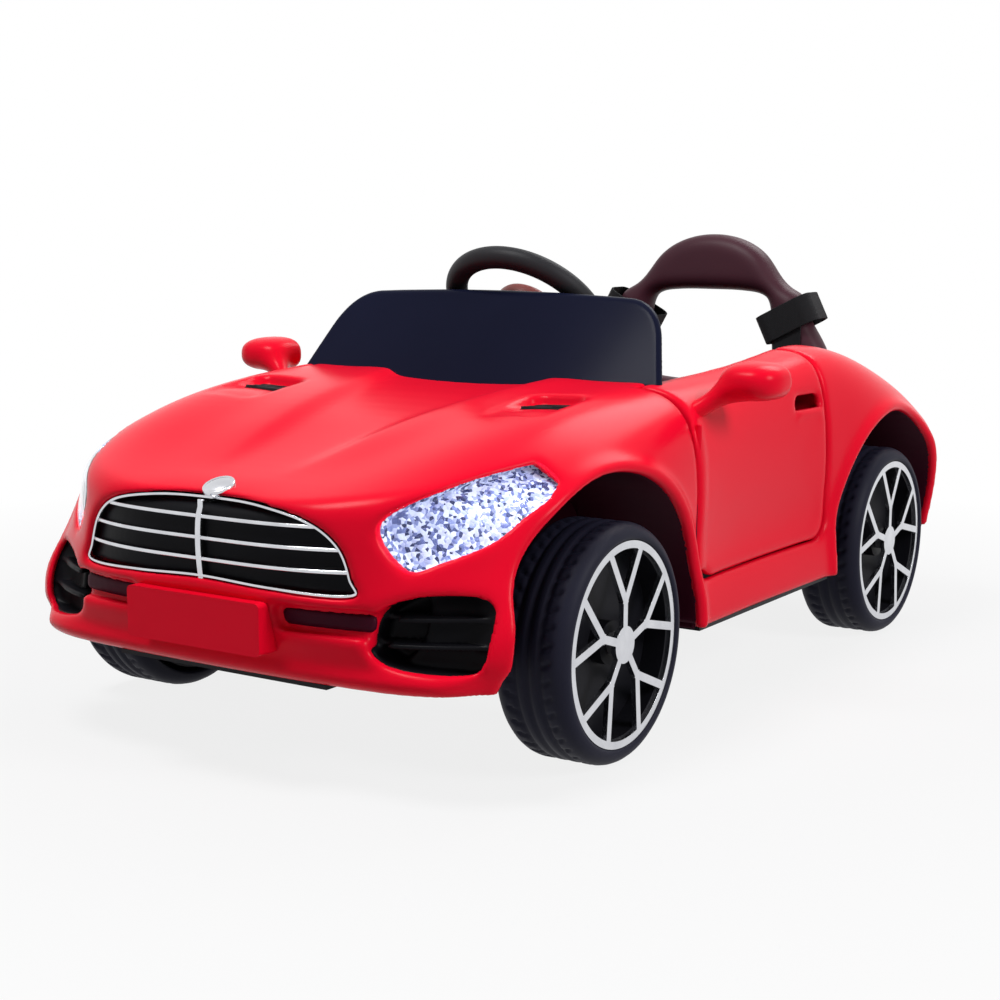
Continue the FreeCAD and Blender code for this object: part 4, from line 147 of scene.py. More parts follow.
def closed_curve(points: Points, steps: int = 12) -> Array:
    """Smooth closed outline through points.

    Args:
        points: Corner points in order.
        steps: Samples between two points.

    Returns:
        Samples of the outline, without the repeated first one.
    """
    pts = np.array(points, float)
    before, after, far = np.roll(pts, 1, 0), np.roll(pts, -1, 0), np.roll(pts, -2, 0)
    rows = []
    for t in np.linspace(0, 1, steps, endpoint=False):
        rows.append(
            0.5 * (2 * pts + (after - before) * t + (2 * before - 5 * pts + 4 * after - far) * t**2
                   + (3 * pts - before - 3 * after + far) * t**3)
        )
    return np.stack(rows, 1).reshape(-1, 2)


def line_distance(places: Array, line: Array) -> Array:
    """Distance of flat points from an open run of straight pieces.

    Args:
        places: Points, one row of two numbers each.
        line: Points of the run.

    Returns:
        One distance for each point.
    """
    start = line[:-1].astype(np.float32)
    step = np.diff(line, axis=0).astype(np.float32)
    size = np.maximum((step**2).sum(1), TINY)
    best = np.full(len(places), np.inf, np.float32)
    for origin, along, square in zip(start, step, size):
        offset = places - origin
        share = np.clip((offset @ along) / square, 0, 1)
        offset = offset - share[:, None] * along
        np.minimum(best, (offset**2).sum(1), out=best)
    return np.sqrt(best)


def flat_grid(xs: Array, ys: Array) -> Array:
    """Points of a flat grid, one row of two numbers each."""
    return np.stack(np.meshgrid(xs, ys, indexing="ij"), -1).reshape(-1, 2)


def outline_field(xs: Array, ys: Array, outline: Array) -> Array:
    """Signed distance of a flat grid from a closed outline, below zero inside.

    Args:
        xs: First coordinates of the grid.
        ys: Second coordinates of the grid.
        outline: Points of the closed outline.

    Returns:
        Grid of distances.
    """
    grid = flat_grid(xs, ys).astype(np.float32)
    loop = np.vstack([outline, outline[:1]])
    distance = line_distance(grid, loop)
    inside = np.zeros(len(grid), bool)
    for (x0, y0), (x1, y1) in zip(loop[:-1], loop[1:]):
        if y0 != y1:
            crossing = (y0 > grid[:, 1]) != (y1 > grid[:, 1])
            inside ^= crossing & (grid[:, 0] < x0 + (grid[:, 1] - y0) * (x1 - x0) / (y1 - y0))
    return np.where(inside, -distance, distance).reshape(len(xs), len(ys))


def box_field(x: Array, y: Array, middle: Pair, half: Pair, corner: float) -> Array:
    """Signed distance from a flat box with rounded corners.

    Args:
        x: First coordinates.
        y: Second coordinates.
        middle: Centre of the box.
        half: Half sizes of the box.
        corner: Radius of its corners.

    Returns:
        Distances, below zero inside.
    """
    dx = np.abs(x - middle[0]) - half[0] + corner
    dy = np.abs(y - middle[1]) - half[1] + corner
    outer = np.sqrt(np.maximum(dx, 0) ** 2 + np.maximum(dy, 0) ** 2)
    return outer + np.minimum(np.maximum(dx, dy), 0) - corner


def meet(a: Array, b: Array, blend: float) -> Array:
    """Overlap of two fields, its edge rounded by the blend."""
    near = np.maximum(blend - np.abs(a - b), 0) / blend
    return np.maximum(a, b) + near**2 * blend / 4


def join(a: Array, b: Array, blend: float) -> Array:
    """Union of two fields, its inner corner filled by the blend."""
    return -meet(-a, -b, blend)


def bump(distance: Array, width: float) -> Array:
    """Bell of height one and the given half width."""
    return np.exp(-((distance / width) ** 2))


def ramp(values: Array, start: float, end: float) -> Array:
    """Smooth rise from zero at start to one at end."""
    share = np.clip((values - start) / (end - start), 0, 1)
    return share * share * (3 - 2 * share)


def overlap(*fields: Array) -> Array:
    """Overlap of fields, its edges sharp."""
    return reduce(np.maximum, fields)


def spread(axes: Axes) -> Axes:
    """Coordinates of a grid, each lying along its own axis."""
    return np.meshgrid(*axes, indexing="ij", sparse=True)


def run_lengths(points: Array) -> Array:
    """Length of a run of points up to each of them."""
    return np.concatenate([[0], np.cumsum(np.linalg.norm(np.diff(points, axis=0), axis=1))])


@dataclass
class FieldGrid:
    """Regular grid over half of the car or a part of it, in millimetres."""

    low: Triple
    high: Triple
    step: float

    def axes(self) -> Axes:
        """Coordinates of the grid along X, Y and Z."""
        return tuple(
            np.arange(a + self.step / 2, b, self.step, dtype=np.float32) for a, b in zip(self.low, self.high)
        )

    def mesh(self, name: str, values: Array, mirrored: bool = False, sides: Sequence[Side] = (Side.LEFT,),
             calm: int = 1) -> Piece:
        """Smooth skin at the zero level of a field.

        Args:
            name: Name of the new object.
            values: Field on the grid, below zero inside.
            mirrored: True for a half field that starts at X zero and gets its other half.
            sides: Sides of the car that get the skin; the field is the driver's left one.
            calm: How often the field is averaged before its normals are taken.

        Returns:
            The object, with the field's own normals.
        """
        origin = np.array([axis[0] for axis in self.axes()], np.float32)
        if mirrored:
            values = np.concatenate([values[::-1], values], 0)
            origin[0] -= self.step * (values.shape[0] // 2)
        places, quads = surface_net(values)
        slopes = np.gradient(values)
        for _ in range(SETTLE_ROUNDS):
            height = sampled(values, places)
            slope = np.stack([sampled(part, places) for part in slopes], 1)
            square = np.maximum((slope**2).sum(1), 1e-6)
            move = np.clip(height / square, -SETTLE_LIMIT, SETTLE_LIMIT)
            places = places - slope * move[:, None] * SETTLE_SHARE
        for _ in range(calm):
            values = softened(values)
        slope = np.stack([sampled(part, places) for part in np.gradient(values)], 1)
        normals = slope / np.maximum(np.linalg.norm(slope, axis=1), TINY)[:, None]
        places = (origin + places * self.step) * MM
        parts = []
        for number, side in enumerate(sides):
            turn = np.array([side.value, 1, 1], np.float32)
            parts.append((places * turn, quads[:, :: side.value] + number * len(places), normals * turn))
        return new_mesh(name, *(np.vstack(rows) for rows in zip(*parts)))


def softened(values: Array) -> Array:
    """Field averaged with its neighbours along each axis, for calm normals."""
    for axis in range(3):
        ends = [(1, 1) if i == axis else (0, 0) for i in range(3)]
        wide = np.pad(values, ends, mode="edge")
        rows = [np.take(wide, np.arange(k, k + values.shape[axis]), axis) for k in range(3)]
        values = (rows[0] + 2 * rows[1] + rows[2]) / 4
    return values


def sampled(values: Array, places: Array) -> Array:
    """Values of a grid read between its points.

    Args:
        values: The grid.
        places: Points in steps of the grid.

    Returns:
        One value for each point.
    """
    base = np.clip(places.astype(int), 0, np.array(values.shape) - 2)
    share = np.clip(places - base, 0, 1)
    total = np.zeros(len(places), np.float32)
    for corner in np.ndindex(2, 2, 2):
        weight = np.prod(np.where(corner, share, 1 - share), axis=1)
        total += weight * values[tuple((base + corner).T)]
    return total


def surface_net(values: Array) -> tuple[Array, Array]:
    """Points and quads of the zero level of a field.

    Args:
        values: Field, below zero inside.

    Returns:
        Points in steps of the grid, and quads that face out.
    """
    inside = values < 0
    count = np.zeros(tuple(n - 1 for n in values.shape), np.int8)
    for corner in np.ndindex(2, 2, 2):
        count += inside[tuple(slice(c, n - 1 + c) for c, n in zip(corner, values.shape))]
    cells = np.argwhere((count > 0) & (count < 8))
    number = np.full(count.shape, -1, np.int64)
    number[tuple(cells.T)] = np.arange(len(cells))
    total = np.zeros((len(cells), 3))
    hits = np.zeros(len(cells))
    faces = []
    for axis in range(3):
        unit = np.eye(3, dtype=int)
        side, rise = unit[(axis + 1) % 3], unit[(axis + 2) % 3]
        for corner in (0 * side, side, rise, side + rise):
            first = cells + corner
            a = values[tuple(first.T)]
            b = values[tuple((first + unit[axis]).T)]
            cross = (a < 0) != (b < 0)
            share = np.where(cross, a / np.where(a == b, 1, a - b), 0)
            total += np.where(cross[:, None], first + share[:, None] * unit[axis], 0)
            hits += cross
        starts = np.argwhere(np.diff(inside.astype(np.int8), axis=axis) != 0)
        others = [i for i in range(3) if i != axis]
        keep = np.all([(starts[:, i] > 0) & (starts[:, i] < values.shape[i] - 1) for i in others], axis=0)
        starts = starts[keep]
        quad = np.stack([number[tuple((starts - d).T)] for d in (0 * side, side, side + rise, rise)], 1)
        flip = ~inside[tuple(starts.T)]
        quad[flip] = quad[flip][:, ::-1]
        faces.append(quad)
    return (total / hits[:, None]).astype(np.float32), np.vstack(faces)


# Meshes


def new_mesh(name: str, places: Array, faces: Sequence[Sequence[int]], normals: Array | None = None) -> Piece:
    """New mesh object in the scene.

    Args:
        name: Name of the object.
        places: Points in metres.
        faces: Corner numbers of each face.
        normals: One normal for each point, or None for plain smooth shading.

    Returns:
        The object, with smooth faces.
    """
    mesh = bpy.data.meshes.new(name)
    if isinstance(faces, Array):
        mesh.vertices.add(len(places))
        mesh.vertices.foreach_set("co", places.astype(np.float32).ravel())
        mesh.loops.add(faces.size)
        mesh.loops.foreach_set("vertex_index", faces.astype(np.int32).ravel())
        mesh.polygons.add(len(faces))
        mesh.polygons.foreach_set("loop_start", np.arange(0, faces.size, faces.shape[1], dtype=np.int32))
        mesh.update(calc_edges=True)
    else:
        mesh.from_pydata([tuple(map(float, p)) for p in places], [], [list(f) for f in faces])
    mesh.validate()
    mesh.polygons.foreach_set("use_smooth", np.ones(len(mesh.polygons), bool))
    if normals is not None:
        mesh.normals_split_custom_set_from_vertices(normals.tolist())
    piece = bpy.data.objects.new(name, mesh)
    bpy.context.scene.collection.objects.link(piece)
    return piece


def lathe(name: str, profile: Points, place: Matrix) -> Piece:
    """Turned piece round the local Z axis.

    Args:
        name: Name of the piece.
        profile: Radius and height in millimetres, from one end to the other.
        place: Place of the piece.

    Returns:
        The piece.
    """
    angles = np.linspace(0, 2 * math.pi, LATHE_STEPS, endpoint=False)
    rows = [(r * math.cos(a), r * math.sin(a), h) for r, h in profile for a in angles]
    places = np.array([place @ (Vector(row) * MM) for row in rows])
    faces = []
    for k in range(0, (len(profile) - 1) * LATHE_STEPS, LATHE_STEPS):
        for i in range(LATHE_STEPS):
            j = (i + 1) % LATHE_STEPS
            faces.append((k + i, k + LATHE_STEPS + i, k + LATHE_STEPS + j, k + j))
    piece = new_mesh(name, places, np.array(faces))
    cleaned(piece)
    return piece


def strips(name: str, bands: Sequence[tuple], side: Side = Side.LEFT) -> Piece:
    """Flat strips along rows of place, facing and width direction, in millimetres.

    Args:
        name: Name of the piece.
        bands: Rows of each strip, True where it closes on itself, and its width and thickness.
        side: Side of the car; the right one is mirrored.

    Returns:
        One mesh with all strips, their edges softened.
    """
    places, faces = [], []
    for rows, closed, (width, wall) in bands:
        base, count = len(places), len(rows)
        for place, facing, across in rows:
            for a, b in ((-1, -1), (1, -1), (1, 1), (-1, 1)):
                point = (place + across * (a * width / 2) + facing * (b * wall / 2)) * MM
                places.append((point.x * side.value, point.y, point.z))
        for k in range(count if closed else count - 1):
            n = (k + 1) % count
            for c in range(4):
                d = (c + 1) % 4
                faces.append((base + 4 * k + c, base + 4 * k + d, base + 4 * n + d, base + 4 * n + c))
        if not closed:
            faces.append(tuple(base + c for c in range(4)))
            faces.append(tuple(base + 4 * (count - 1) + c for c in (3, 2, 1, 0)))
    piece = new_mesh(name, np.array(places), faces)
    cleaned(piece)
    soften_edges(piece, min(wall for _, _, (_, wall) in bands) * STRIP_ROUND * MM)
    return piece


def cleaned(piece: Piece) -> None:
    """Merges points that meet and turns the faces outward."""
    mesh = bmesh.new()
    mesh.from_mesh(piece.data)
    bmesh.ops.remove_doubles(mesh, verts=mesh.verts, dist=1e-6)
    bmesh.ops.recalc_face_normals(mesh, faces=mesh.faces)
    mesh.to_mesh(piece.data)
    mesh.free()
    for face in piece.data.polygons:
        face.use_smooth = True


def soften_edges(piece: Piece, width: float, segments: int = 2, angle: float = 38.0) -> None:
    """Rounds the sharp edges of a piece without changing its mesh.

    Args:
        piece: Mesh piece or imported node.
        width: Width of the rounding in metres.
        segments: Steps of the rounding.
        angle: Edges sharper than this many degrees are rounded.
    """
    weld = piece.modifiers.new("weld", "WELD")
    weld.merge_threshold = 0.00002
    bevel = piece.modifiers.new("edge", "BEVEL")
    bevel.width, bevel.segments = width, segments
    bevel.limit_method, bevel.angle_limit = "ANGLE", math.radians(angle)
    bevel.use_clamp_overlap = True
    normals = piece.modifiers.new("calm", "WEIGHTED_NORMAL")
    normals.keep_sharp = False
    normals.weight = 60


# Body form


@dataclass
class BodyForm:
    """The moulded body as a field, from the same sections as the solids (millimetres)."""

    half_length: float = 540.0
    half_width: float = 302.0
    crest: float = 348.0
    bottom: float = 94.0
    skirt: float = 122.0
    tuck: float = 158.0
    waist: float = 212.0
    wall: float = 8.0
    inner_point_share: float = 0.55
    edge_round: float = 14.0
    front_axle_y: float = -292.0
    rear_axle_y: float = 348.0
    arch_z: float = 108.0
    arch_radius: float = 155.0
    arch_inner_x: float = 160.0
    nose_sweep: float = 200.0
    nose_standoff: float = 6.0
    tail_sweep: float = 60.0
    # Along the car: place, half widths of sill, tuck, waist and shoulder, shoulder height,
    # crown half width, crown height, height between crown and centre, centre height
    sections: tuple[tuple[float, ...], ...] = (
        (-1.050, 0.858, 0.871, 0.884, 0.868, 0.546, 0.563, 0.680, 0.684, 0.684),
        (-0.926, 0.874, 0.894, 0.914, 0.894, 0.590, 0.629, 0.737, 0.735, 0.733),
        (-0.826, 0.901, 0.921, 0.940, 0.911, 0.652, 0.666, 0.791, 0.771, 0.758),
        (-0.726, 0.927, 0.940, 0.954, 0.924, 0.709, 0.686, 0.850, 0.808, 0.787),
        (-0.630, 0.944, 0.950, 0.960, 0.937, 0.747, 0.702, 0.893, 0.843, 0.819),
        (-0.541, 0.950, 0.957, 0.964, 0.944, 0.776, 0.715, 0.922, 0.872, 0.848),
        (-0.407, 0.950, 0.947, 0.957, 0.937, 0.810, 0.735, 0.945, 0.898, 0.876),
        (-0.278, 0.947, 0.919, 0.937, 0.917, 0.851, 0.755, 0.948, 0.918, 0.902),
        (-0.111, 0.940, 0.881, 0.917, 0.894, 0.882, 0.785, 0.953, 0.935, 0.920),
        (0.111, 0.940, 0.877, 0.914, 0.891, 0.891, 0.806, 0.963, 0.947, 0.937),
        (0.296, 0.947, 0.894, 0.927, 0.904, 0.911, 0.815, 0.997, 0.975, 0.966),
        (0.426, 0.960, 0.940, 0.954, 0.924, 0.897, 0.818, 1.023, 0.981, 0.960),
        (0.574, 0.980, 0.980, 0.990, 0.964, 0.839, 0.808, 0.993, 0.918, 0.874),
        (0.741, 0.987, 0.990, 0.997, 0.974, 0.753, 0.795, 0.919, 0.837, 0.805),
        (0.870, 0.967, 0.974, 0.980, 0.954, 0.690, 0.775, 0.853, 0.791, 0.770),
        (0.981, 0.934, 0.944, 0.950, 0.924, 0.626, 0.735, 0.775, 0.743, 0.730),
        (1.050, 0.907, 0.917, 0.924, 0.894, 0.592, 0.709, 0.723, 0.697, 0.690),
    )
    plan_widths: tuple[float, ...] = (0.0, 0.331, 0.497, 0.662, 0.795, 0.877, 0.944, 1.100)
    # Height, setback of the centre, then the sweep at each half width place
    nose_levels: tuple[tuple[float, ...], ...] = (
        (0.160, 0.170, 0.000, 0.010, 0.025, 0.065, 0.165, 0.270, 0.380, 0.700),
        (0.260, 0.135, 0.000, 0.010, 0.025, 0.065, 0.165, 0.270, 0.380, 0.700),
        (0.400, 0.060, 0.000, 0.010, 0.040, 0.110, 0.225, 0.330, 0.460, 0.820),
        (0.575, 0.000, 0.000, 0.025, 0.110, 0.275, 0.450, 0.640, 0.830, 1.300),
        (0.720, 0.020, 0.000, 0.040, 0.130, 0.305, 0.530, 0.740, 0.960, 1.450),
        (0.880, 0.100, 0.000, 0.050, 0.160, 0.360, 0.600, 0.830, 1.060, 1.550),
        (1.200, 0.300, 0.000, 0.060, 0.180, 0.400, 0.660, 0.900, 1.150, 1.650),
    )
    tail_levels: tuple[tuple[float, ...], ...] = (
        (0.160, 0.300, 0.000, 0.010, 0.030, 0.070, 0.130, 0.260, 0.600, 1.900),
        (0.260, 0.240, 0.000, 0.010, 0.030, 0.070, 0.130, 0.260, 0.600, 1.900),
        (0.400, 0.100, 0.000, 0.010, 0.030, 0.070, 0.130, 0.260, 0.600, 1.900),
        (0.575, 0.000, 0.000, 0.010, 0.030, 0.070, 0.140, 0.280, 0.640, 1.950),
        (0.720, 0.060, 0.000, 0.012, 0.040, 0.090, 0.180, 0.340, 0.720, 2.050),
        (0.880, 0.400, 0.000, 0.015, 0.050, 0.120, 0.240, 0.430, 0.850, 2.200),
        (1.200, 1.200, 0.000, 0.020, 0.070, 0.160, 0.320, 0.540, 1.000, 2.400),
    )
    grille: Points = (
        (0.000, 0.712), (0.200, 0.707), (0.364, 0.681), (0.457, 0.626),
        (0.497, 0.546), (0.497, 0.500), (0.250, 0.503), (0.000, 0.511),
    )
    intake: Points = (
        (0.546, 0.399), (0.570, 0.465), (0.650, 0.500), (0.762, 0.506), (0.835, 0.480),
        (0.846, 0.402), (0.825, 0.336), (0.750, 0.326), (0.610, 0.339), (0.556, 0.365),
    )
    lamp: Points = (
        (0.556, 0.672), (0.679, 0.753), (0.781, 0.790), (0.828, 0.799), (0.868, 0.730),
        (0.838, 0.684), (0.788, 0.626), (0.699, 0.586), (0.622, 0.569),
    )
    tail_lamp: Points = (
        (0.480, 0.600), (0.660, 0.640), (0.820, 0.660), (0.850, 0.610), (0.780, 0.560), (0.560, 0.550),
    )
    section_samples: int = 100
    plan_samples: int = 80
    fine_samples: int = 600
    # How far a half section runs past the centre line, and the ends' plans past the axles
    past_centre: float = 1.06
    past_axle: float = 60.0

    @property
    def axles(self) -> Pair:
        """Places of both axles along the car."""
        return self.front_axle_y, self.rear_axle_y

    def arch_reach(self, y: Array, z: Array, axle_y: float) -> Array:
        """Distance from the middle of the arches at an axle."""
        return np.sqrt((y - axle_y) ** 2 + (z - self.arch_z) ** 2)

    def outline(self, shares: Points) -> Array:
        """Smooth outline seen from the front, in millimetres."""
        return closed_curve([(x * self.half_width, z * self.crest) for x, z in shares])

    def whole_outline(self, shares: Points) -> Array:
        """Smooth outline from a half one that starts and ends on the centre line."""
        return self.outline(tuple(shares) + tuple((-x, z) for x, z in reversed(shares[1:-1])))

    def section_lines(self, ys: Array) -> Array:
        """Half sections of the body.

        Args:
            ys: Places along the car.

        Returns:
            One run of (x, z) points for each place, from below the sill to past the centre line.
        """
        rows = []
        for _, sill, tuck, waist, shoulder, shoulder_z, crown, crown_z, inner_z, centre_z in self.sections:
            inner = crown * self.inner_point_share
            half = [
                (sill * self.half_width, self.bottom), (sill * self.half_width, self.skirt),
                (tuck * self.half_width, self.tuck), (waist * self.half_width, self.waist),
                (shoulder * self.half_width, shoulder_z * self.crest),
                (crown * self.half_width, crown_z * self.crest),
                (inner * self.half_width, inner_z * self.crest), (0.0, centre_z * self.crest),
            ]
            rows.append(half + [(-x, z) for x, z in reversed(half[:-1])])
        rows = np.array(rows)
        fine = np.linspace(0, len(rows) - 3, self.fine_samples)
        along = spline_weights(len(rows), fine) @ np.array([row[0] * self.half_length for row in self.sections])
        weights = spline_weights(len(rows), np.interp(ys, along, fine))
        nets = np.einsum("ki,ijc->kjc", weights, rows)
        middle = (rows.shape[1] - 3) / 2
        across = spline_weights(rows.shape[1], np.linspace(0, middle * self.past_centre, self.section_samples))
        lines = np.einsum("sj,kjc->ksc", across, nets)
        foot = lines[:, :1] - np.array([0.0, self.bottom])
        return np.concatenate([foot, lines], 1)

    def plan_lines(self, zs: Array, nose: bool) -> Array:
        """Nose or tail edges seen from above.

        Args:
            zs: Heights of the edges.
            nose: True for the nose, False for the tail.

        Returns:
            One run of (x, y) points for each height, from the centre line outward.
        """
        table = np.array(self.nose_levels if nose else self.tail_levels)
        rows = smooth_through(table[:, 0] * self.crest, table[:, 1:], zs)
        sweep = self.nose_sweep if nose else self.tail_sweep
        end = self.half_length - (self.nose_standoff if nose else 0.0)
        ys = end - sweep * (rows[:, :1] + rows[:, 1:])
        xs = np.array(self.plan_widths) * self.half_width
        lines = []
        for row in ys * (-1 if nose else 1):
            points = np.stack([np.concatenate([-xs[:0:-1], xs]), np.concatenate([row[:0:-1], row])], 1)
            reach = run_lengths(points)
            lines.append(smooth_through(reach, points, np.linspace(reach[len(xs) - 1], reach[-1], self.plan_samples)))
        return np.array(lines)

    def distance(self, axes: Axes) -> Array:
        """Field of the plain closed body.

        Args:
            axes: Coordinates along X, Y and Z.

        Returns:
            Signed distances on the grid, below zero inside.
        """
        xs, ys, zs = axes
        flat = flat_grid(xs, zs)
        values = np.empty((len(xs), len(ys), len(zs)), np.float32)
        for k, line in enumerate(self.section_lines(ys)):
            gap = line_distance(flat, line).reshape(len(xs), len(zs))
            values[:, k] = np.where(self._under(xs, zs, line), -gap, gap)
        ends = ((True, ys < self.front_axle_y + self.past_axle), (False, ys > self.rear_axle_y + self.past_axle))
        for nose, reach in ends:
            if not reach.any():
                continue
            near = ys[reach]
            flat_plan = flat_grid(xs, near)
            for k, line in enumerate(self.plan_lines(zs, nose)):
                gap = line_distance(flat_plan, line).reshape(len(xs), len(near))
                edge = np.interp(xs, line[:, 0], line[:, 1])[:, None]
                inside = near[None] > edge if nose else near[None] < edge
                signed = np.where(inside, -gap, gap)
                values[:, reach, k] = meet(values[:, reach, k], signed, self.edge_round)
        return values

    @staticmethod
    def _under(xs: Array, zs: Array, line: Array) -> Array:
        """True where a point of the section's plane lies inside the section."""
        z0, z1 = line[:-1, 1][None], line[1:, 1][None]
        x0, x1 = line[:-1, 0][None], line[1:, 0][None]
        level = zs[:, None]
        crossing = (z0 > level) != (z1 > level)
        where = np.where(crossing, x0 + (level - z0) * (x1 - x0) / np.where(z1 == z0, 1, z1 - z0), -BEYOND)
        return (np.sum(where[None] > xs[:, None, None], axis=2) % 2) == 1


@dataclass
class BodyPanels:
    """Red shell and doors cut from the body form, with rolled edges (millimetres)."""

    form: BodyForm
    grid_step: float = 3.4
    cut_round: float = 7.0
    shell_wall: float = 10.5
    ridge_height: float = 5.5
    ridge_nose_x: float = 46.0
    ridge_cowl_x: float = 104.0
    ridge_inner_width: float = 15.0
    ridge_outer_width: float = 46.0
    ridge_start_y: float = -478.0
    ridge_end_y: float = -128.0
    lip_height: float = 5.0
    lip_offset: float = 8.0
    lip_width: float = 7.0
    vent_middle: Pair = (170.0, -252.0)
    vent_half: Pair = (30.0, 46.0)
    vent_corner: float = 14.0
    vent_depth: float = 11.0
    splitter_height: float = 7.0
    splitter_z: float = 103.0
    corner_reach: Pair = (222.0, 268.0)
    corner_tuck: float = 11.0
    corner_top: float = 122.0
    channel_depth: float = 12.0
    channel_middle: Pair = (124.0, 152.0)
    channel_half: Pair = (48.0, 12.0)
    cockpit_half_width: float = 208.0
    cowl_y: float = -104.0
    deck_y: float = 476.0
    cockpit_base: float = 240.0
    cockpit_corner: float = 30.0
    door_hinge: Pair = (273.0, -122.0)
    door_rear_y: float = 178.0
    door_sill_z: float = 140.0
    door_corner: float = 30.0
    barrel_radius: float = 8.5
    rim_wall: float = 7.0
    rim_x: float = 210.0
    front_gap: float = 1.5
    shut_gap: float = 2.5
    handle_middle: Pair = (140.0, 286.0)
    handle_half: Pair = (30.0, 12.0)
    handle_depth: float = 9.0
    grip_middle: Pair = (140.0, 279.0)
    grip_half: Pair = (30.0, 4.5)
    rear_edge_y: float = 444.0
    rear_edge_slope: float = 24.0 / 156.0
    grid_low: Triple = (0.0, -548.0, 84.0)
    grid_high: Triple = (316.0, 552.0, 372.0)
    quick_step: float = 1.6
    ridge_fade: float = 130.0
    ridge_levels: Pair = (225.0, 250.0)
    lip_reach: Pair = (200.0, 240.0)
    nose_fade: Pair = (-430.0, -380.0)
    splitter_width: float = 8.0
    channel_corner_share: float = 0.8
    channel_end_y: float = -440.0
    # Where the cuts of the ends stop along the car
    intake_end_y: float = -380.0
    lamp_end_y: float = -362.0
    grille_end_y: float = -490.0
    tail_lamp_start_y: float = 440.0
    # Roundings of walls, pocket floors, hems, openings and the channel
    wall_round: float = 2.0
    pocket_round: float = 3.0
    hem_round: float = 4.0
    opening_round: float = 5.0
    channel_round: float = 6.0
    door_rise: float = 200.0
    door_span: Pair = (-150.0, 200.0)
    door_inner_x: float = 190.0
    barrel_lift: float = 8.0
    rim_inset: float = 3.0
    grip_height: float = 1.5

    def grid(self) -> FieldGrid:
        """Grid over the driver's left half of the car."""
        return FieldGrid(self.grid_low, self.grid_high, self.grid_step * (1.0))

    def dressed(self, axes: Axes) -> Array:
        """Field of the closed body with its ridges, lips and pockets.

        Args:
            axes: Coordinates along X, Y and Z.

        Returns:
            Signed distances on the grid.
        """
        form = self.form
        values = form.distance(axes)
        x, y, z = spread(axes)
        along = np.clip((y - self.ridge_start_y) / (self.ridge_end_y - self.ridge_start_y), 0, 1)
        offset = x - (self.ridge_nose_x + (self.ridge_cowl_x - self.ridge_nose_x) * along)
        ridge = np.where(offset < 0, bump(offset, self.ridge_inner_width), bump(offset, self.ridge_outer_width))
        ridge = ridge * ramp(y, self.ridge_start_y, self.ridge_start_y + self.ridge_fade) * (y < 0)
        values -= self.ridge_height * ridge * ramp(z, *self.ridge_levels)
        for axle_y in form.axles:
            lip = bump(form.arch_reach(y, z, axle_y) - form.arch_radius - self.lip_offset, self.lip_width)
            values -= self.lip_height * lip * ramp(x, *self.lip_reach)
        front = 1 - ramp(y, *self.nose_fade)
        corner = ramp(x, *self.corner_reach)
        values -= self.splitter_height * bump(z - self.splitter_z, self.splitter_width) * front * (1 - corner)
        values += self.corner_tuck * (1 - ramp(z, form.bottom, self.corner_top)) * front * corner
        vent = box_field(x, y, self.vent_middle, self.vent_half, self.vent_corner)
        vent_y, vent_run = self.vent_middle[1], self.vent_half[1]
        floor = self.vent_depth * ramp(y, vent_y - vent_run, vent_y + vent_run)
        pocket = meet(vent, -(values + floor), self.pocket_round)
        values = meet(values, -np.where(z > form.waist, pocket, FAR), self.opening_round)
        end_round = self.channel_half[1] * self.channel_corner_share
        channel = box_field(x, z, self.channel_middle, self.channel_half, end_round)
        groove = meet(channel, -(values + self.channel_depth), self.pocket_round)
        return meet(values, -np.where(y < self.channel_end_y, groove, FAR), self.channel_round)

    def shell_field(self, axes: Axes, solid: Array) -> Array:
        """Wall of the body with its lower edge, arches and nose openings cut.

        Args:
            axes: Coordinates along X, Y and Z.
            solid: Field of the closed body.

        Returns:
            Field of the wall.
        """
        form = self.form
        xs, _, zs = axes
        x, y, z = spread(axes)
        wall = meet(solid, -(solid + self.shell_wall), self.wall_round)
        wall = meet(wall, form.bottom - z, self.hem_round)
        wall = meet(wall, form.bottom + (y - self.rear_edge_y) * self.rear_edge_slope - z, self.hem_round)
        for axle_y in form.axles:
            arch = np.minimum(form.arch_radius - form.arch_reach(y, z, axle_y), x - form.arch_inner_x)
            wall = meet(wall, arch, self.cut_round)
        cuts = ((form.outline(form.intake), self.intake_end_y), (form.outline(form.lamp), self.lamp_end_y),
                (form.outline(form.tail_lamp), self.tail_lamp_start_y),
                (form.whole_outline(form.grille), self.grille_end_y))
        for line, limit in cuts:
            reach = limit - y if limit > 0 else y - limit
            wall = meet(wall, -np.maximum(outline_field(xs, zs, line)[:, None], reach), self.cut_round)
        return wall

    def door_side(self, axes: Axes, front: float, rear: float, sill: float) -> Array:
        """Field of a door or of its opening, seen from the side."""
        _, y, z = spread(axes)
        top = self.form.crest + self.door_rise
        middle = ((front + rear) / 2, (sill + top) / 2)
        return box_field(y, z, middle, ((rear - front) / 2, (top - sill) / 2), self.door_corner)

    def door_block(self, axes: Axes, front: float, rear: float, sill: float) -> Array:
        """Field of the side block of a door or of its opening."""
        return np.maximum(self.door_side(axes, front, rear, sill), self.cockpit_half_width - axes[0][:, None, None])

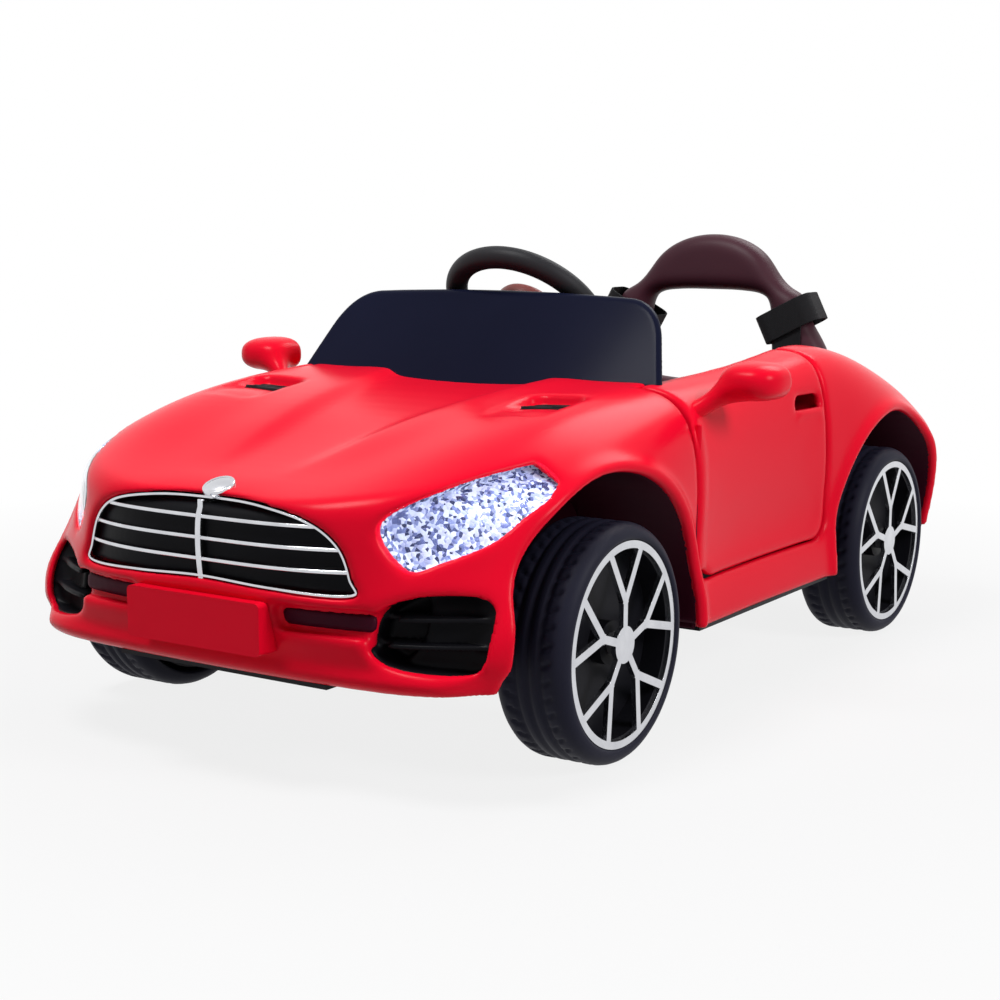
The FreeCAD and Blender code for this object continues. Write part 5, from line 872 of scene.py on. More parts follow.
    def build(self) -> list[Piece]:
        """Makes the shell and both doors.

        Returns:
            The shell, the driver's left door and the right door.
        """
        grid = self.grid()
        axes = grid.axes()
        x, y, z = spread(axes)
        solid = self.dressed(axes)
        wall = self.shell_field(axes, solid)
        cockpit = box_field(x, y, (0.0, (self.cowl_y + self.deck_y) / 2),
                            (self.cockpit_half_width, (self.deck_y - self.cowl_y) / 2), self.cockpit_corner)
        shell = meet(wall, -np.maximum(cockpit, self.cockpit_base - z), self.cut_round)
        front = self.door_hinge[1] - self.barrel_radius - self.front_gap
        opening = self.door_block(axes, front, self.door_rear_y + self.shut_gap, self.door_sill_z - self.shut_gap)
        shell = meet(shell, -opening, self.opening_round)
        pieces = [grid.mesh("moulded_body", shell, True)]
        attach(pieces[0], "car")
        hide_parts("body_shell")
        pieces.extend(self._doors(grid, axes, solid))
        return pieces

    def _doors(self, grid: FieldGrid, axes: Axes, solid: Array) -> list[Piece]:
        """Makes the door skins of both sides."""
        keep = (axes[1] > self.door_span[0]) & (axes[1] < self.door_span[1])
        outer = axes[0] > self.door_inner_x
        part = (axes[0][outer], axes[1][keep], axes[2])
        solid = solid[outer][:, keep]
        x, y, z = spread(part)
        form = self.form
        handle = box_field(y, z, self.handle_middle, self.handle_half, self.handle_half[1])
        pocket = meet(handle, -(solid + self.handle_depth), self.pocket_round)
        dented = meet(solid, -np.where(x > form.waist, pocket, FAR), self.hem_round)
        skin = meet(dented, -(np.minimum(solid, dented) + form.wall), self.wall_round)
        skin = np.maximum(skin, -(solid + form.wall + self.handle_depth))
        limits = (self.door_hinge[1], self.door_rear_y, self.door_sill_z)
        skin = meet(skin, self.door_block(part, *limits), self.opening_round)
        swing = np.sqrt((x - self.door_hinge[0]) ** 2 + (y - self.door_hinge[1]) ** 2)
        barrel = overlap(swing - self.barrel_radius, self.door_sill_z + self.barrel_lift - z, solid)
        skin = join(skin, barrel, self.hem_round)
        edge = np.maximum(self.door_side(part, *limits), swing - (self.door_rear_y - self.door_hinge[1]))
        rim = overlap(edge, -(edge + self.rim_wall), self.rim_x - x, solid + self.rim_inset)
        skin = join(skin, rim, self.pocket_round)
        grip = box_field(y, z, self.grip_middle, self.grip_half, self.grip_half[1])
        grip = meet(grip, np.maximum(solid - self.grip_height, -(solid + form.wall)), self.pocket_round)
        skin = join(skin, grip, self.wall_round)
        local = FieldGrid(tuple(float(axis[0]) - grid.step / 2 for axis in part), grid.high, grid.step)
        doors = []
        for side in Side:
            door = local.mesh(f"door_panel_{side.word}", skin, sides=(side,))
            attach(door, f"door_{side.word}")
            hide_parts(f"door_skin_{side.word}")
            doors.append(door)
        return doors


# Finishes


class Shade:
    """Material in the making: its nodes, links and shader."""

    def __init__(self, name: str) -> None:
        """Starts a node material with one Principled shader.

        Args:
            name: Name of the material.
        """
        self.material = bpy.data.materials.new(name)
        self.material.use_nodes = True
        self.tree = self.material.node_tree
        self.shader = next(node for node in self.tree.nodes if node.type == "BSDF_PRINCIPLED")
        self.output = next(node for node in self.tree.nodes if node.type == "OUTPUT_MATERIAL")
        self.coordinates = self.tree.nodes.new("ShaderNodeTexCoord").outputs["Object"]

    def set(self, **values: object) -> None:
        """Sets constant values on the shader's own sockets, named with underscores."""
        for name, value in values.items():
            self.shader.inputs[name.replace("_", " ").title().replace("Ior", "IOR")].default_value = value

    def node(self, kind: str, **settings: object) -> bpy.types.Node:
        """New node with some of its settings.

        Args:
            kind: Blender's name of the node type.
            **settings: Values of its properties.

        Returns:
            The node.
        """
        made = self.tree.nodes.new(kind)
        for name, value in settings.items():
            setattr(made, name, value)
        return made

    def link(self, source: Socket, target: Socket) -> None:
        """Joins an output to an input."""
        self.tree.links.new(source, target)

    def effect(self, group: Tree, **values: float) -> bpy.types.Node:
        """Places a shared effect in the material.

        Args:
            group: The effect's node group.
            **values: Its input values by socket name.

        Returns:
            The group node, its coordinates joined.
        """
        made = self.tree.nodes.new("ShaderNodeGroup")
        made.node_tree = group
        self.link(self.coordinates, made.inputs["Vector"])
        for name, value in values.items():
            made.inputs[name].default_value = value
        return made

    def bumped(self, height: Socket, strength: float, distance: float) -> None:
        """Joins a height to the shader's normal through a bump."""
        node = self.node("ShaderNodeBump")
        node.inputs["Strength"].default_value = strength
        node.inputs["Distance"].default_value = distance
        self.link(height, node.inputs["Height"])
        self.link(node.outputs["Normal"], self.shader.inputs["Normal"])


class Effects:
    """Shared shader groups of the car's finishes."""

    def __init__(self) -> None:
        """Builds each group once."""
        self.mottle = self._mottle()
        self.weave = self._weave()
        self.cells = self._cells()

    @staticmethod
    def _group(name: str, inputs: dict[str, str], outputs: dict[str, str]) -> tuple:
        """New node group with its sockets.

        Args:
            name: Name of the group.
            inputs: Socket names and types that go in.
            outputs: Socket names and types that come out.

        Returns:
            The group, its input node and its output node.
        """
        group = bpy.data.node_groups.new(name, "ShaderNodeTree")
        for names, direction in ((inputs, "INPUT"), (outputs, "OUTPUT")):
            for socket, kind in names.items():
                group.interface.new_socket(socket, in_out=direction, socket_type=kind)
        return group, group.nodes.new("NodeGroupInput"), group.nodes.new("NodeGroupOutput")

    @staticmethod
    def _wired(group: Tree, *joins: tuple) -> Tree:
        """Joins sockets of a group.

        Args:
            group: The group.
            *joins: Node and output that give, node and input that take.

        Returns:
            The same group.
        """
        for source, output, target, taken in joins:
            group.links.new(source.outputs[output], target.inputs[taken])
        return group

    def _mottle(self) -> Tree:
        """Colour that drifts between two tones, roughness that wanders and a fine grain."""
        group, start, end = self._group(
            "moulded_mottle",
            {"Vector": "NodeSocketVector", "Tone": "NodeSocketColor", "Deep": "NodeSocketColor",
             "Scale": "NodeSocketFloat", "Grain": "NodeSocketFloat", "Low": "NodeSocketFloat",
             "High": "NodeSocketFloat"},
            {"Color": "NodeSocketColor", "Roughness": "NodeSocketFloat", "Height": "NodeSocketFloat"})
        drift, grain = (group.nodes.new("ShaderNodeTexNoise") for _ in range(2))
        drift.inputs["Detail"].default_value = 3.0
        grain.inputs["Detail"].default_value = 2.0
        mix, rough = group.nodes.new("ShaderNodeMix"), group.nodes.new("ShaderNodeMapRange")
        mix.data_type = "RGBA"
        return self._wired(
            group, (start, "Vector", drift, "Vector"), (start, "Scale", drift, "Scale"),
            (start, "Vector", grain, "Vector"), (start, "Grain", grain, "Scale"), (drift, "Fac", mix, "Factor"),
            (start, "Deep", mix, "A"), (start, "Tone", mix, "B"), (drift, "Fac", rough, "Value"),
            (start, "Low", rough, "To Min"), (start, "High", rough, "To Max"), (mix, "Result", end, "Color"),
            (rough, "Result", end, "Roughness"), (grain, "Fac", end, "Height"))

    def _weave(self) -> Tree:
        """Crossed ribs of webbing."""
        group, start, end = self._group(
            "webbing_weave", {"Vector": "NodeSocketVector", "Scale": "NodeSocketFloat"},
            {"Mask": "NodeSocketFloat"})
        waves = [group.nodes.new("ShaderNodeTexWave") for _ in range(2)]
        product = group.nodes.new("ShaderNodeMath")
        product.operation = "MULTIPLY"
        for number, (wave, direction) in enumerate(zip(waves, ("Z", "DIAGONAL"))):
            wave.bands_direction = direction
            self._wired(group, (start, "Vector", wave, "Vector"), (start, "Scale", wave, "Scale"),
                        (wave, "Fac", product, number))
        return self._wired(group, (product, "Value", end, "Mask"))

    def _cells(self) -> Tree:
        """Cut crystal cells: a tone for each cell and the dark lines between them."""
        group, start, end = self._group(
            "crystal_cells", {"Vector": "NodeSocketVector", "Scale": "NodeSocketFloat"},
            {"Tone": "NodeSocketFloat", "Line": "NodeSocketFloat"})
        cell, edge = (group.nodes.new("ShaderNodeTexVoronoi") for _ in range(2))
        edge.feature = "DISTANCE_TO_EDGE"
        split = group.nodes.new("ShaderNodeSeparateColor")
        return self._wired(
            group, (start, "Vector", cell, "Vector"), (start, "Scale", cell, "Scale"),
            (start, "Vector", edge, "Vector"), (start, "Scale", edge, "Scale"), (cell, "Color", split, "Color"),
            (split, "Red", end, "Tone"), (edge, "Distance", end, "Line"))


@dataclass(frozen=True)
class Moulding:
    """A moulded or plated finish: two close tones, roughness, grain and gloss coat."""

    name: str
    tone: Triple
    deep: Triple
    rough: Pair = (0.35, 0.5)
    scale: float = 6.0
    grain: float = 900.0
    grain_depth: float = 0.04
    metallic: float = 0.0
    coat: float = 0.0
    coat_roughness: float = 0.05
    specular: float = 0.5

    def make(self, effects: Effects) -> bpy.types.Material:
        """Builds the material.

        Args:
            effects: The shared shader groups.

        Returns:
            The finished material.
        """
        shade = Shade(self.name)
        shade.set(metallic=self.metallic, coat_weight=self.coat, coat_roughness=self.coat_roughness,
                  specular_ior_level=self.specular)
        mottle = shade.effect(effects.mottle, Tone=self.tone + (1.0,), Deep=self.deep + (1.0,),
                              Scale=self.scale, Grain=self.grain, Low=self.rough[0], High=self.rough[1])
        shade.link(mottle.outputs["Color"], shade.shader.inputs["Base Color"])
        shade.link(mottle.outputs["Roughness"], shade.shader.inputs["Roughness"])
        shade.bumped(mottle.outputs["Height"], self.grain_depth, distance=0.0004)
        return shade.material


@dataclass(frozen=True)
class Webbing:
    """Woven belt: ribs that catch light over a dark ground."""

    name: str
    thread: Triple = (0.014, 0.014, 0.017)
    ground: Triple = (0.006, 0.006, 0.007)
    scale: float = 260.0

    def make(self, effects: Effects) -> bpy.types.Material:
        """Builds the material from the shared weave."""
        shade = Shade(self.name)
        shade.set(roughness=0.85, sheen_weight=0.06, specular_ior_level=0.15)
        weave = shade.effect(effects.weave, Scale=self.scale)
        mix = shade.node("ShaderNodeMix", data_type="RGBA")
        mix.inputs["A"].default_value = self.ground + (1.0,)
        mix.inputs["B"].default_value = self.thread + (1.0,)
        shade.link(weave.outputs["Mask"], mix.inputs["Factor"])
        shade.link(mix.outputs["Result"], shade.shader.inputs["Base Color"])
        shade.bumped(weave.outputs["Mask"], strength=0.5, distance=0.0006)
        return shade.material


@dataclass(frozen=True)
class Crystal:
    """Faceted reflector of a lamp, its cells from dark blue to white as painted reflections of the facets, with a faint
    painted glow.
    """

    name: str
    scale: float = 300.0
    dark: Triple = (0.015, 0.02, 0.08)
    middle: Triple = (0.12, 0.15, 0.36)
    bright: Triple = (0.52, 0.56, 0.74)
    stops: Triple = (0.06, 0.32, 0.72)

    def make(self, effects: Effects) -> bpy.types.Material:
        """Builds the material from the shared cells."""
        shade = Shade(self.name)
        shade.set(roughness=0.22, metallic=0.0, coat_weight=0.3)
        cells = shade.effect(effects.cells, Scale=self.scale)
        # Cell tones from dark blue to white: painted reflections of the facets
        tones = shade.node("ShaderNodeValToRGB")
        first, last = tones.color_ramp.elements
        first.color, last.color = self.dark + (1.0,), self.bright + (1.0,)
        first.position, last.position = self.stops[0], self.stops[2]
        tones.color_ramp.elements.new(self.stops[1]).color = self.middle + (1.0,)
        shade.link(cells.outputs["Tone"], tones.inputs["Fac"])
        shade.link(tones.outputs["Color"], shade.shader.inputs["Base Color"])
        shade.link(tones.outputs["Color"], shade.shader.inputs["Emission Color"])
        # Faint emission: painted glow that brightens the cells' glints
        shade.set(emission_strength=0.16)
        shade.bumped(cells.outputs["Line"], strength=0.25, distance=0.003)
        return shade.material


@dataclass(frozen=True)
class Clear:
    """Clear lens with a faint tint and fine ripple, open to light from the lamps."""

    name: str
    tint: Triple = (0.93, 0.96, 1.0)
    ripple: float = 220.0

    def make(self, effects: Effects) -> bpy.types.Material:
        """Builds the material; light from a lamp passes without bending."""
        shade = Shade(self.name)
        shade.set(base_color=self.tint + (1.0,), roughness=0.03, transmission_weight=1.0, ior=1.12)
        mottle = shade.effect(effects.mottle, Scale=self.ripple, Grain=self.ripple)
        shade.bumped(mottle.outputs["Height"], strength=0.02, distance=0.0004)
        path = shade.node("ShaderNodeLightPath")
        through = shade.node("ShaderNodeBsdfTransparent")
        mix = shade.node("ShaderNodeMixShader")
        shade.link(path.outputs["Is Shadow Ray"], mix.inputs["Fac"])
        shade.link(shade.shader.outputs["BSDF"], mix.inputs[1])
        shade.link(through.outputs["BSDF"], mix.inputs[2])
        shade.link(mix.outputs["Shader"], shade.output.inputs["Surface"])
        return shade.material


class Finish(Enum):
    """Every finish of the car."""

    RED = Moulding("gloss_red_moulding", (0.80, 0.003, 0.024), (0.70, 0.002, 0.018), (0.20, 0.30), 3.0, 260.0, 0.012,
                   specular=0.06)
    # Dark copy of the gloss red: painted shade for inner faces, liners and pockets of the body that lie in shade
    RED_PAINTED_SHADE = Moulding("red_painted_shade", (0.06, 0.004, 0.015), (0.035, 0.003, 0.012), (0.4, 0.6), 9.0, specular=0.06)
    BLACK = Moulding("satin_black_moulding", (0.020, 0.020, 0.023), (0.010, 0.010, 0.012), (0.4, 0.58), 14.0,
                     1400.0, 0.12, specular=0.12)
    PANEL = Moulding("grille_black", (0.006, 0.006, 0.008), (0.003, 0.003, 0.004), (0.3, 0.45), 20.0, 1200.0, 0.05,
                     specular=0.05)
    SCREEN = Moulding("black_screen", (0.009, 0.011, 0.030), (0.005, 0.006, 0.016), (0.14, 0.24), 4.0, 300.0, 0.01,
                      specular=0.022)
    SEAT = Moulding("maroon_seat_moulding", (0.060, 0.016, 0.026), (0.036, 0.010, 0.017), (0.38, 0.52), 8.0, 1500.0,
                    0.10, specular=0.15)
    HUB = Moulding("brown_wheel_hub", (0.20, 0.045, 0.040), (0.12, 0.028, 0.025), (0.35, 0.5), 30.0, specular=0.2)
    CHROME = Moulding("bright_plating", (0.74, 0.75, 0.78), (0.52, 0.53, 0.57), (0.10, 0.26), 60.0, 500.0, 0.02,
                      metallic=1.0)
    RIM = Moulding("dark_wheel_dish", (0.010, 0.010, 0.013), (0.005, 0.005, 0.007), (0.3, 0.45), 20.0, specular=0.08)
    # Blue-black: the tyre's own black with a painted bluish sheen in its colour
    TYRE = Moulding("tyre_black", (0.013, 0.013, 0.026), (0.008, 0.008, 0.017), (0.45, 0.62), 18.0, 800.0, 0.2,
                    specular=0.10)
    STEEL = Moulding("plain_steel", (0.50, 0.50, 0.52), (0.36, 0.36, 0.38), (0.3, 0.5), 30.0, 700.0, 0.08, metallic=1.0)
    GEAR = Moulding("natural_gear", (0.72, 0.70, 0.63), (0.60, 0.58, 0.52), (0.4, 0.55), 30.0)
    MIRROR = Moulding("mirror_plate", (0.90, 0.92, 0.94), (0.84, 0.86, 0.88), (0.02, 0.05), 10.0, metallic=1.0)
    LENS_RED = Moulding("red_lamp_lens", (0.34, 0.003, 0.008), (0.20, 0.002, 0.005), (0.12, 0.22), 40.0, 160.0, 0.2,
                        specular=0.12)
    WEBBING = Webbing("belt_webbing")
    CRYSTAL = Crystal("crystal_reflector")
    CLEAR = Clear("clear_lens")


class Paintbox:
    """Makes each finish once and puts it on pieces."""

    def __init__(self) -> None:
        """Builds the shared effects."""
        self.effects = Effects()
        self.made: dict[Finish, bpy.types.Material] = {}

    def paint(self, piece: Piece, finish: Finish) -> Piece:
        """Gives a piece one finish all over.

        Args:
            piece: Mesh piece or node.
            finish: The finish.

        Returns:
            The same piece.
        """
        if finish not in self.made:
            self.made[finish] = finish.value.make(self.effects)
        piece.data.materials.clear()
        piece.data.materials.append(self.made[finish])
        return piece

    def fit(self, piece: Piece, finish: Finish, body: str, slot: str, *nodes: str) -> None:
        """Finishes a piece, puts it on its body and lets it stand for nodes.

        Args:
            piece: The piece.
            finish: Its finish.
            body: Body that carries it.
            slot: Its slot; not used.
            *nodes: Nodes that it replaces.
        """
        self.paint(piece, finish)
        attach(piece, body)
        if nodes:
            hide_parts(*nodes)
        LOG.info("made %s", piece.name)


# Fittings set in the body


@dataclass
class BodyFittings:
    """Lamps, dark openings, dark red pieces of painted shade and bright trim that follow the body's surface
    (millimetres).
    """

    panels: BodyPanels
    paint: Paintbox
    lamp_grid: tuple = ((146.0, -530.0, 176.0), (286.0, -340.0, 306.0), 2.2)
    intake_grid: tuple = ((64.0, -548.0, 96.0), (286.0, -380.0, 196.0), 2.4)
    grille_grid: tuple = ((0.0, -548.0, 156.0), (174.0, -466.0, 290.0), 2.0)
    tail_grid: tuple = ((128.0, 420.0, 168.0), (290.0, 552.0, 250.0), 2.4)
    vent_grid: tuple = ((128.0, -312.0, 270.0), (212.0, -192.0, 344.0), 2.0)
    plate_grid: tuple = ((160.0, -140.0, 84.0), (288.0, -118.0, 224.0), 2.0)
    # Roundings, gaps to the wheel's arch and how far a piece reaches past its outline
    layer_round: float = 2.0
    well_round: float = 1.0
    arch_gap: float = 1.0
    arch_wall: float = 3.0
    margin: float = 3.0
    lens_depth: Pair = (1.6, 7.2)
    bowl_gap: float = 0.4
    bowl_depth: float = 18.0
    facet_pitch: float = 11.0
    facet_depth: float = 3.0
    facet_lean: Pair = (0.6, 0.5)
    facet_shift: float = 3.0
    intake_margin: float = 1.0
    intake_depth: float = 26.0
    intake_lip: float = 8.0
    well_wall: float = 6.0
    rib_heights: tuple[float, ...] = (134.0, 156.0)
    rib_half: float = 2.0
    rib_depth: float = 18.0
    rib_reach: float = 7.0
    rib_round: float = 1.5
    # Inset and depths of the dark red patch of painted shade in the bumper channel
    shade_patch_inset: float = 4.0
    shade_patch_depth: Pair = (-1.2, 3.0)
    panel_margin: float = 6.0
    panel_depth: Pair = (10.0, 16.0)
    nose_facing: Triple = (0.0, -1.0, 0.2)
    rim_size: Pair = (2.2, 3.0)
    rim_inset: float = 1.6
    rim_depth: float = 5.0
    grille_z: float = 210.0
    slat_heights: tuple[float, ...] = (194.6, 213.1, 231.5)
    slat_size: Pair = (3.4, 3.4)
    slat_inset: float = 1.5
    slat_depth: float = 6.0
    slat_steps: int = 41
    slat_limit: int = 160
    centre_size: Pair = (6.0, 4.0)
    centre_inset: float = 2.0
    centre_depth: float = 5.5
    centre_top: float = 12.0
    centre_slack: float = 2.0
    centre_steps: int = 12
    tail_depth: Pair = (1.0, 6.0)
    tail_start_y: float = 436.0
    back_margin: float = 9.0
    back_depth: Pair = (6.6, 11.6)
    back_start_y: float = 432.0
    vent_inset: float = 5.0
    vent_corner_share: float = 0.7
    # Depths and run of the black sheet of painted shade in each hood pocket
    vent_shade_depth: Pair = (-0.9, 3.0)
    vent_shade_run: float = 34.0
    louvre_count: int = 3
    louvre_start: float = 6.0
    louvre_pitch: float = 11.0
    louvre_radius: float = 2.4
    louvre_height: float = 0.8
    louvre_half: float = 2.2
    badge_y: float = -501.0
    badge_nod: float = 10.0
    badge_radius: float = 15.0
    badge_lift: float = 1.5
    # Share of the radius and height
    badge_profile: Points = ((0.0, 3.6), (0.45, 3.3), (0.72, 2.4), (0.80, 1.7), (0.86, 2.4), (0.95, 2.2), (1.0, 1.0),
                             (1.0, -9.0), (0.0, -9.0))
    plate_low: Triple = (168.0, -132.0, 92.0)
    plate_high: Triple = (277.0, -127.5, 216.0)
    band_reach: Pair = (1.0, 7.0)
    band_margin: float = 5.0
    band_edge: float = 4.0
    band_step: float = 3.0
    firewall_grid: tuple = ((0.0, -190.0, 140.0), (166.0, -162.0, 330.0), 2.4)
    firewall_place: Triple = (158.0, -177.5, 147.0)
    firewall_wall: float = 7.0

    def start(self, grid: tuple) -> tuple[FieldGrid, tuple, Array]:
        """Grid, coordinates and body field of one small region."""
        made = FieldGrid(*grid)
        axes = made.axes()
        return made, axes, self.panels.dressed(axes)

    def arch(self, axes: Axes, radius: float) -> Array:
        """Field that is below zero outside the front wheel's arch."""
        _, y, z = spread(axes)
        return radius - self.panels.form.arch_reach(y, z, self.panels.form.front_axle_y)

    def cut(self, axes: Axes, shares: Points) -> Array:
        """Field of an outline seen from the front, the same all along the car."""
        return outline_field(axes[0], axes[2], self.panels.form.outline(shares))[:, None]

    def layer(self, solid: Array, cut: Array, near: float, far: float) -> Array:
        """Plate inside an outline, between two depths under the body's surface.

        Args:
            solid: Field of the body.
            cut: Field of the outline.
            near: Depth of the outer face.
            far: Depth of the inner face.

        Returns:
            Field of the plate, its rim rounded.
        """
        return meet(np.maximum(solid + near, -(solid + far)), cut, self.layer_round)

    def well(self, axes: Axes, solid: Array, cut: Array, near: float,
             floor: float | Array) -> Array:
        """Open box behind an outline: side wall and floor, kept off the wheel's arch.

        Args:
            axes: Coordinates of the grid.
            solid: Field of the body.
            cut: Field of the outline.
            near: Depth of the wall's outer edge.
            floor: Depth of the floor.

        Returns:
            Field of the well.
        """
        wall = self.well_wall
        radius = self.panels.form.arch_radius
        outer = overlap(cut - wall, solid + near, -(solid + floor + wall), self.arch(axes, radius + self.arch_gap))
        inner = overlap(cut, -(solid + floor), self.arch(axes, radius + self.arch_wall + wall))
        return meet(outer, -inner, self.well_round)

    def add(self, piece: Piece, finish: Finish, slot: str, *nodes: str) -> None:
        """Finishes a piece of the body and lets it stand for nodes."""
        self.paint.fit(piece, finish, "car", slot, *nodes)

    def headlamps(self) -> None:
        """Clear lenses over wells whose floors are cut into crystal pyramids."""
        grid, axes, solid = self.start(self.lamp_grid)
        cut = self.cut(axes, self.panels.form.lamp)
        x, _, z = spread(axes)
        lens = self.layer(solid, cut - self.margin, *self.lens_depth)
        self.add(grid.mesh("lamp_lens", lens, sides=tuple(Side), calm=0), Finish.CLEAR, "clear", "headlamp_lenses")
        half = self.facet_pitch / 2
        slants = ((x + z * self.facet_lean[0], 0.0), (z - x * self.facet_lean[1], self.facet_shift))
        waves = [np.abs((value + shift) % self.facet_pitch - half) / half for value, shift in slants]
        floor = self.bowl_depth - self.facet_depth * np.maximum(*waves)
        bowl = self.well(axes, solid, cut, self.lens_depth[1] + self.bowl_gap, floor)
        self.add(grid.mesh("lamp_crystal", bowl, sides=tuple(Side)), Finish.CRYSTAL, "black_plastic", "headlamp_bowls")

    def intakes(self) -> None:
        """Deep dark intakes with two ribs, and dark red patches of painted shade on the channel floor between them and
        the plate.
        """
        grid, axes, solid = self.start(self.intake_grid)
        form, panels = self.panels.form, self.panels
        x, y, z = spread(axes)
        cut = self.cut(axes, form.intake)
        well = self.well(axes, solid, cut - self.intake_margin, self.intake_lip, self.intake_depth)
        for height in self.rib_heights:
            rib = overlap(np.abs(z - height) - self.rib_half, cut - self.margin,
                          np.abs(solid + self.rib_depth) - self.rib_reach,
                          self.arch(axes, form.arch_radius + self.arch_wall))
            well = join(well, rib, self.rib_round)
        self.add(grid.mesh("side_intakes", well, sides=tuple(Side)), Finish.PANEL, "black_plastic", "intake_grilles")
        # Dark red patch on the channel floor: painted shade of the recessed channel
        half = tuple(value - self.shade_patch_inset for value in panels.channel_half)
        slot = box_field(x, z, panels.channel_middle, half, half[1] * panels.channel_corner_share)
        shade_patch = np.maximum(self.layer(solid, slot, *self.shade_patch_depth), y - panels.channel_end_y)
        self.add(grid.mesh("bumper_channel_painted_shade", shade_patch, sides=tuple(Side)), Finish.RED_PAINTED_SHADE, "black_plastic")

    @staticmethod
    def nose_y(axes: Axes, solid: Array, x: float, z: float, depth: float) -> float:
        """Place along the car where a line from the front has gone a depth into the body.

        Args:
            axes: Coordinates of the grid.
            solid: Field of the body.
            x: Place across the car.
            z: Height.
            depth: Depth under the surface.

        Returns:
            The place in millimetres.
        """
        ys = axes[1]
        step = float(ys[1] - ys[0])
        rows = np.arange(len(ys), dtype=float)
        spot = np.stack([np.full(len(ys), (abs(x) - axes[0][0]) / step), rows,
                         np.full(len(ys), (z - axes[2][0]) / step)], 1)
        column = sampled(solid, np.maximum(spot, 0.0)) + depth
        k = max(int(np.argmax(column < 0)), 1)
        return float(ys[k - 1] + step * column[k - 1] / (column[k - 1] - column[k]))

    def grille(self) -> None:
        """Black panel in the nose, thin bright slats, the centre bar and a bright line round them."""
        grid, axes, solid = self.start(self.grille_grid)
        line = self.panels.form.whole_outline(self.panels.form.grille)
        cut = outline_field(axes[0], axes[2], line)[:, None]
        panel = self.layer(solid, cut - self.panel_margin, *self.panel_depth)
        self.add(grid.mesh("grille_back", panel, mirrored=True), Finish.PANEL, "black_plastic", "grille_panel")
        front, across = Vector(self.nose_facing).normalized(), Vector((1.0, 0.0, 0.0))
        low, high = float(line[:, 1].min()) + self.centre_inset, float(line[:, 1].max()) - self.centre_inset
        limit = self.nose_y(axes, solid, 0.0, high - self.centre_top, self.centre_depth) + self.centre_slack
        bar = [(Vector((0.0, min(self.nose_y(axes, solid, 0.0, z, self.centre_depth), limit), z)), front, across)
               for z in np.linspace(low, high, self.centre_steps)]
        bands = [(bar, False, self.centre_size)]
        xs = np.linspace(0.0, self.slat_limit, self.slat_limit + 1)
        for z in self.slat_heights:
            reach = xs[outline_field(xs, np.array([z]), line)[:, 0] < -self.slat_inset].max()
            slat = [(Vector((x, self.nose_y(axes, solid, x, z, self.slat_depth), z)), front, front.cross(across))
                    for x in np.linspace(-reach, reach, self.slat_steps)]
            bands.append((slat, False, self.slat_size))
        self.add(strips("grille_slats", bands), Finish.CHROME, "chrome", "grille_bars")
        rim = []
        for here, after in zip(line, np.roll(line, -1, 0)):
            run = Vector((after[0] - here[0], 0.0, after[1] - here[1])).normalized()
            inward = run.cross(Vector((0.0, 1.0, 0.0)))
            inward = inward if inward.dot(Vector((-here[0], 0.0, self.grille_z - here[1]))) > 0 else -inward
            place = Vector((here[0], 0.0, here[1])) + inward * self.rim_inset
            place.y = self.nose_y(axes, solid, place.x, place.z, self.rim_depth)
            rim.append((place, front, inward))
        self.add(strips("grille_rim", [(rim, True, self.rim_size)]), Finish.CHROME, "chrome")

    def tail_lamps(self) -> None:
        """Red lenses flush in the tail."""
        grid, axes, solid = self.start(self.tail_grid)
        cut = self.cut(axes, self.panels.form.tail_lamp)
        _, y, _ = spread(axes)
        lens = np.maximum(self.layer(solid, cut - self.margin, *self.tail_depth), self.tail_start_y - y)
        self.add(grid.mesh("tail_lenses", lens, sides=tuple(Side)), Finish.LENS_RED, "red_lens", "tail_lamps")
        back = np.maximum(self.layer(solid, cut - self.back_margin, *self.back_depth), self.back_start_y - y)
        self.add(grid.mesh("tail_lamp_backs", back, sides=tuple(Side)), Finish.RED, "red_shell")

    def vents(self) -> None:
        """Louvres across the deep end of each hood pocket over a black sheet; the black of both is painted shade of the
        pocket's deep end.
        """
        grid, axes, solid = self.start(self.vent_grid)
        x, y, _ = spread(axes)
        panels = self.panels
        half = tuple(value - self.vent_inset for value in panels.vent_half)
        area = box_field(x, y, panels.vent_middle, half, panels.vent_corner * self.vent_corner_share)
        back = panels.vent_middle[1] + half[1]
        bars = np.full(solid.shape, FAR, np.float32)
        for number in range(self.louvre_count):
            bar = np.abs(y - back + self.louvre_start + number * self.louvre_pitch) - self.louvre_radius
            bars = np.minimum(bars, bar)
        louvre = overlap(bars, area, np.abs(solid - self.louvre_height) - self.louvre_half)
        # Black sheet over the pocket's deep end: painted shade
        dark = np.maximum(self.layer(solid, area, *self.vent_shade_depth), back - self.vent_shade_run - y)
        self.add(grid.mesh("hood_louvres", np.minimum(louvre, dark), sides=tuple(Side)), Finish.PANEL, "black_plastic")

    def badge(self) -> None:
        """Plain domed disc on the nose, bare of any sign."""
        _, axes, solid = self.start(self.grille_grid)
        row = int(np.argmin(np.abs(axes[1] - self.badge_y)))
        level = int(np.nonzero(solid[0, row] < 0)[0].max())
        slope = np.gradient(softened(solid))
        rise = Vector((0.0, float(slope[1][0, row, level]), float(slope[2][0, row, level]))).normalized()
        centre = Vector((0.0, self.badge_y, float(axes[2][level]))) + rise * self.badge_lift
        lean = math.atan2(-rise.y, rise.z) + math.radians(self.badge_nod)
        turn = Matrix.Translation(centre * MM) @ Matrix.Rotation(lean, 4, "X")
        piece = lathe("nose_medallion", [(r * self.badge_radius, h) for r, h in self.badge_profile], turn)
        self.add(piece, Finish.CHROME, "chrome", "nose_badge")

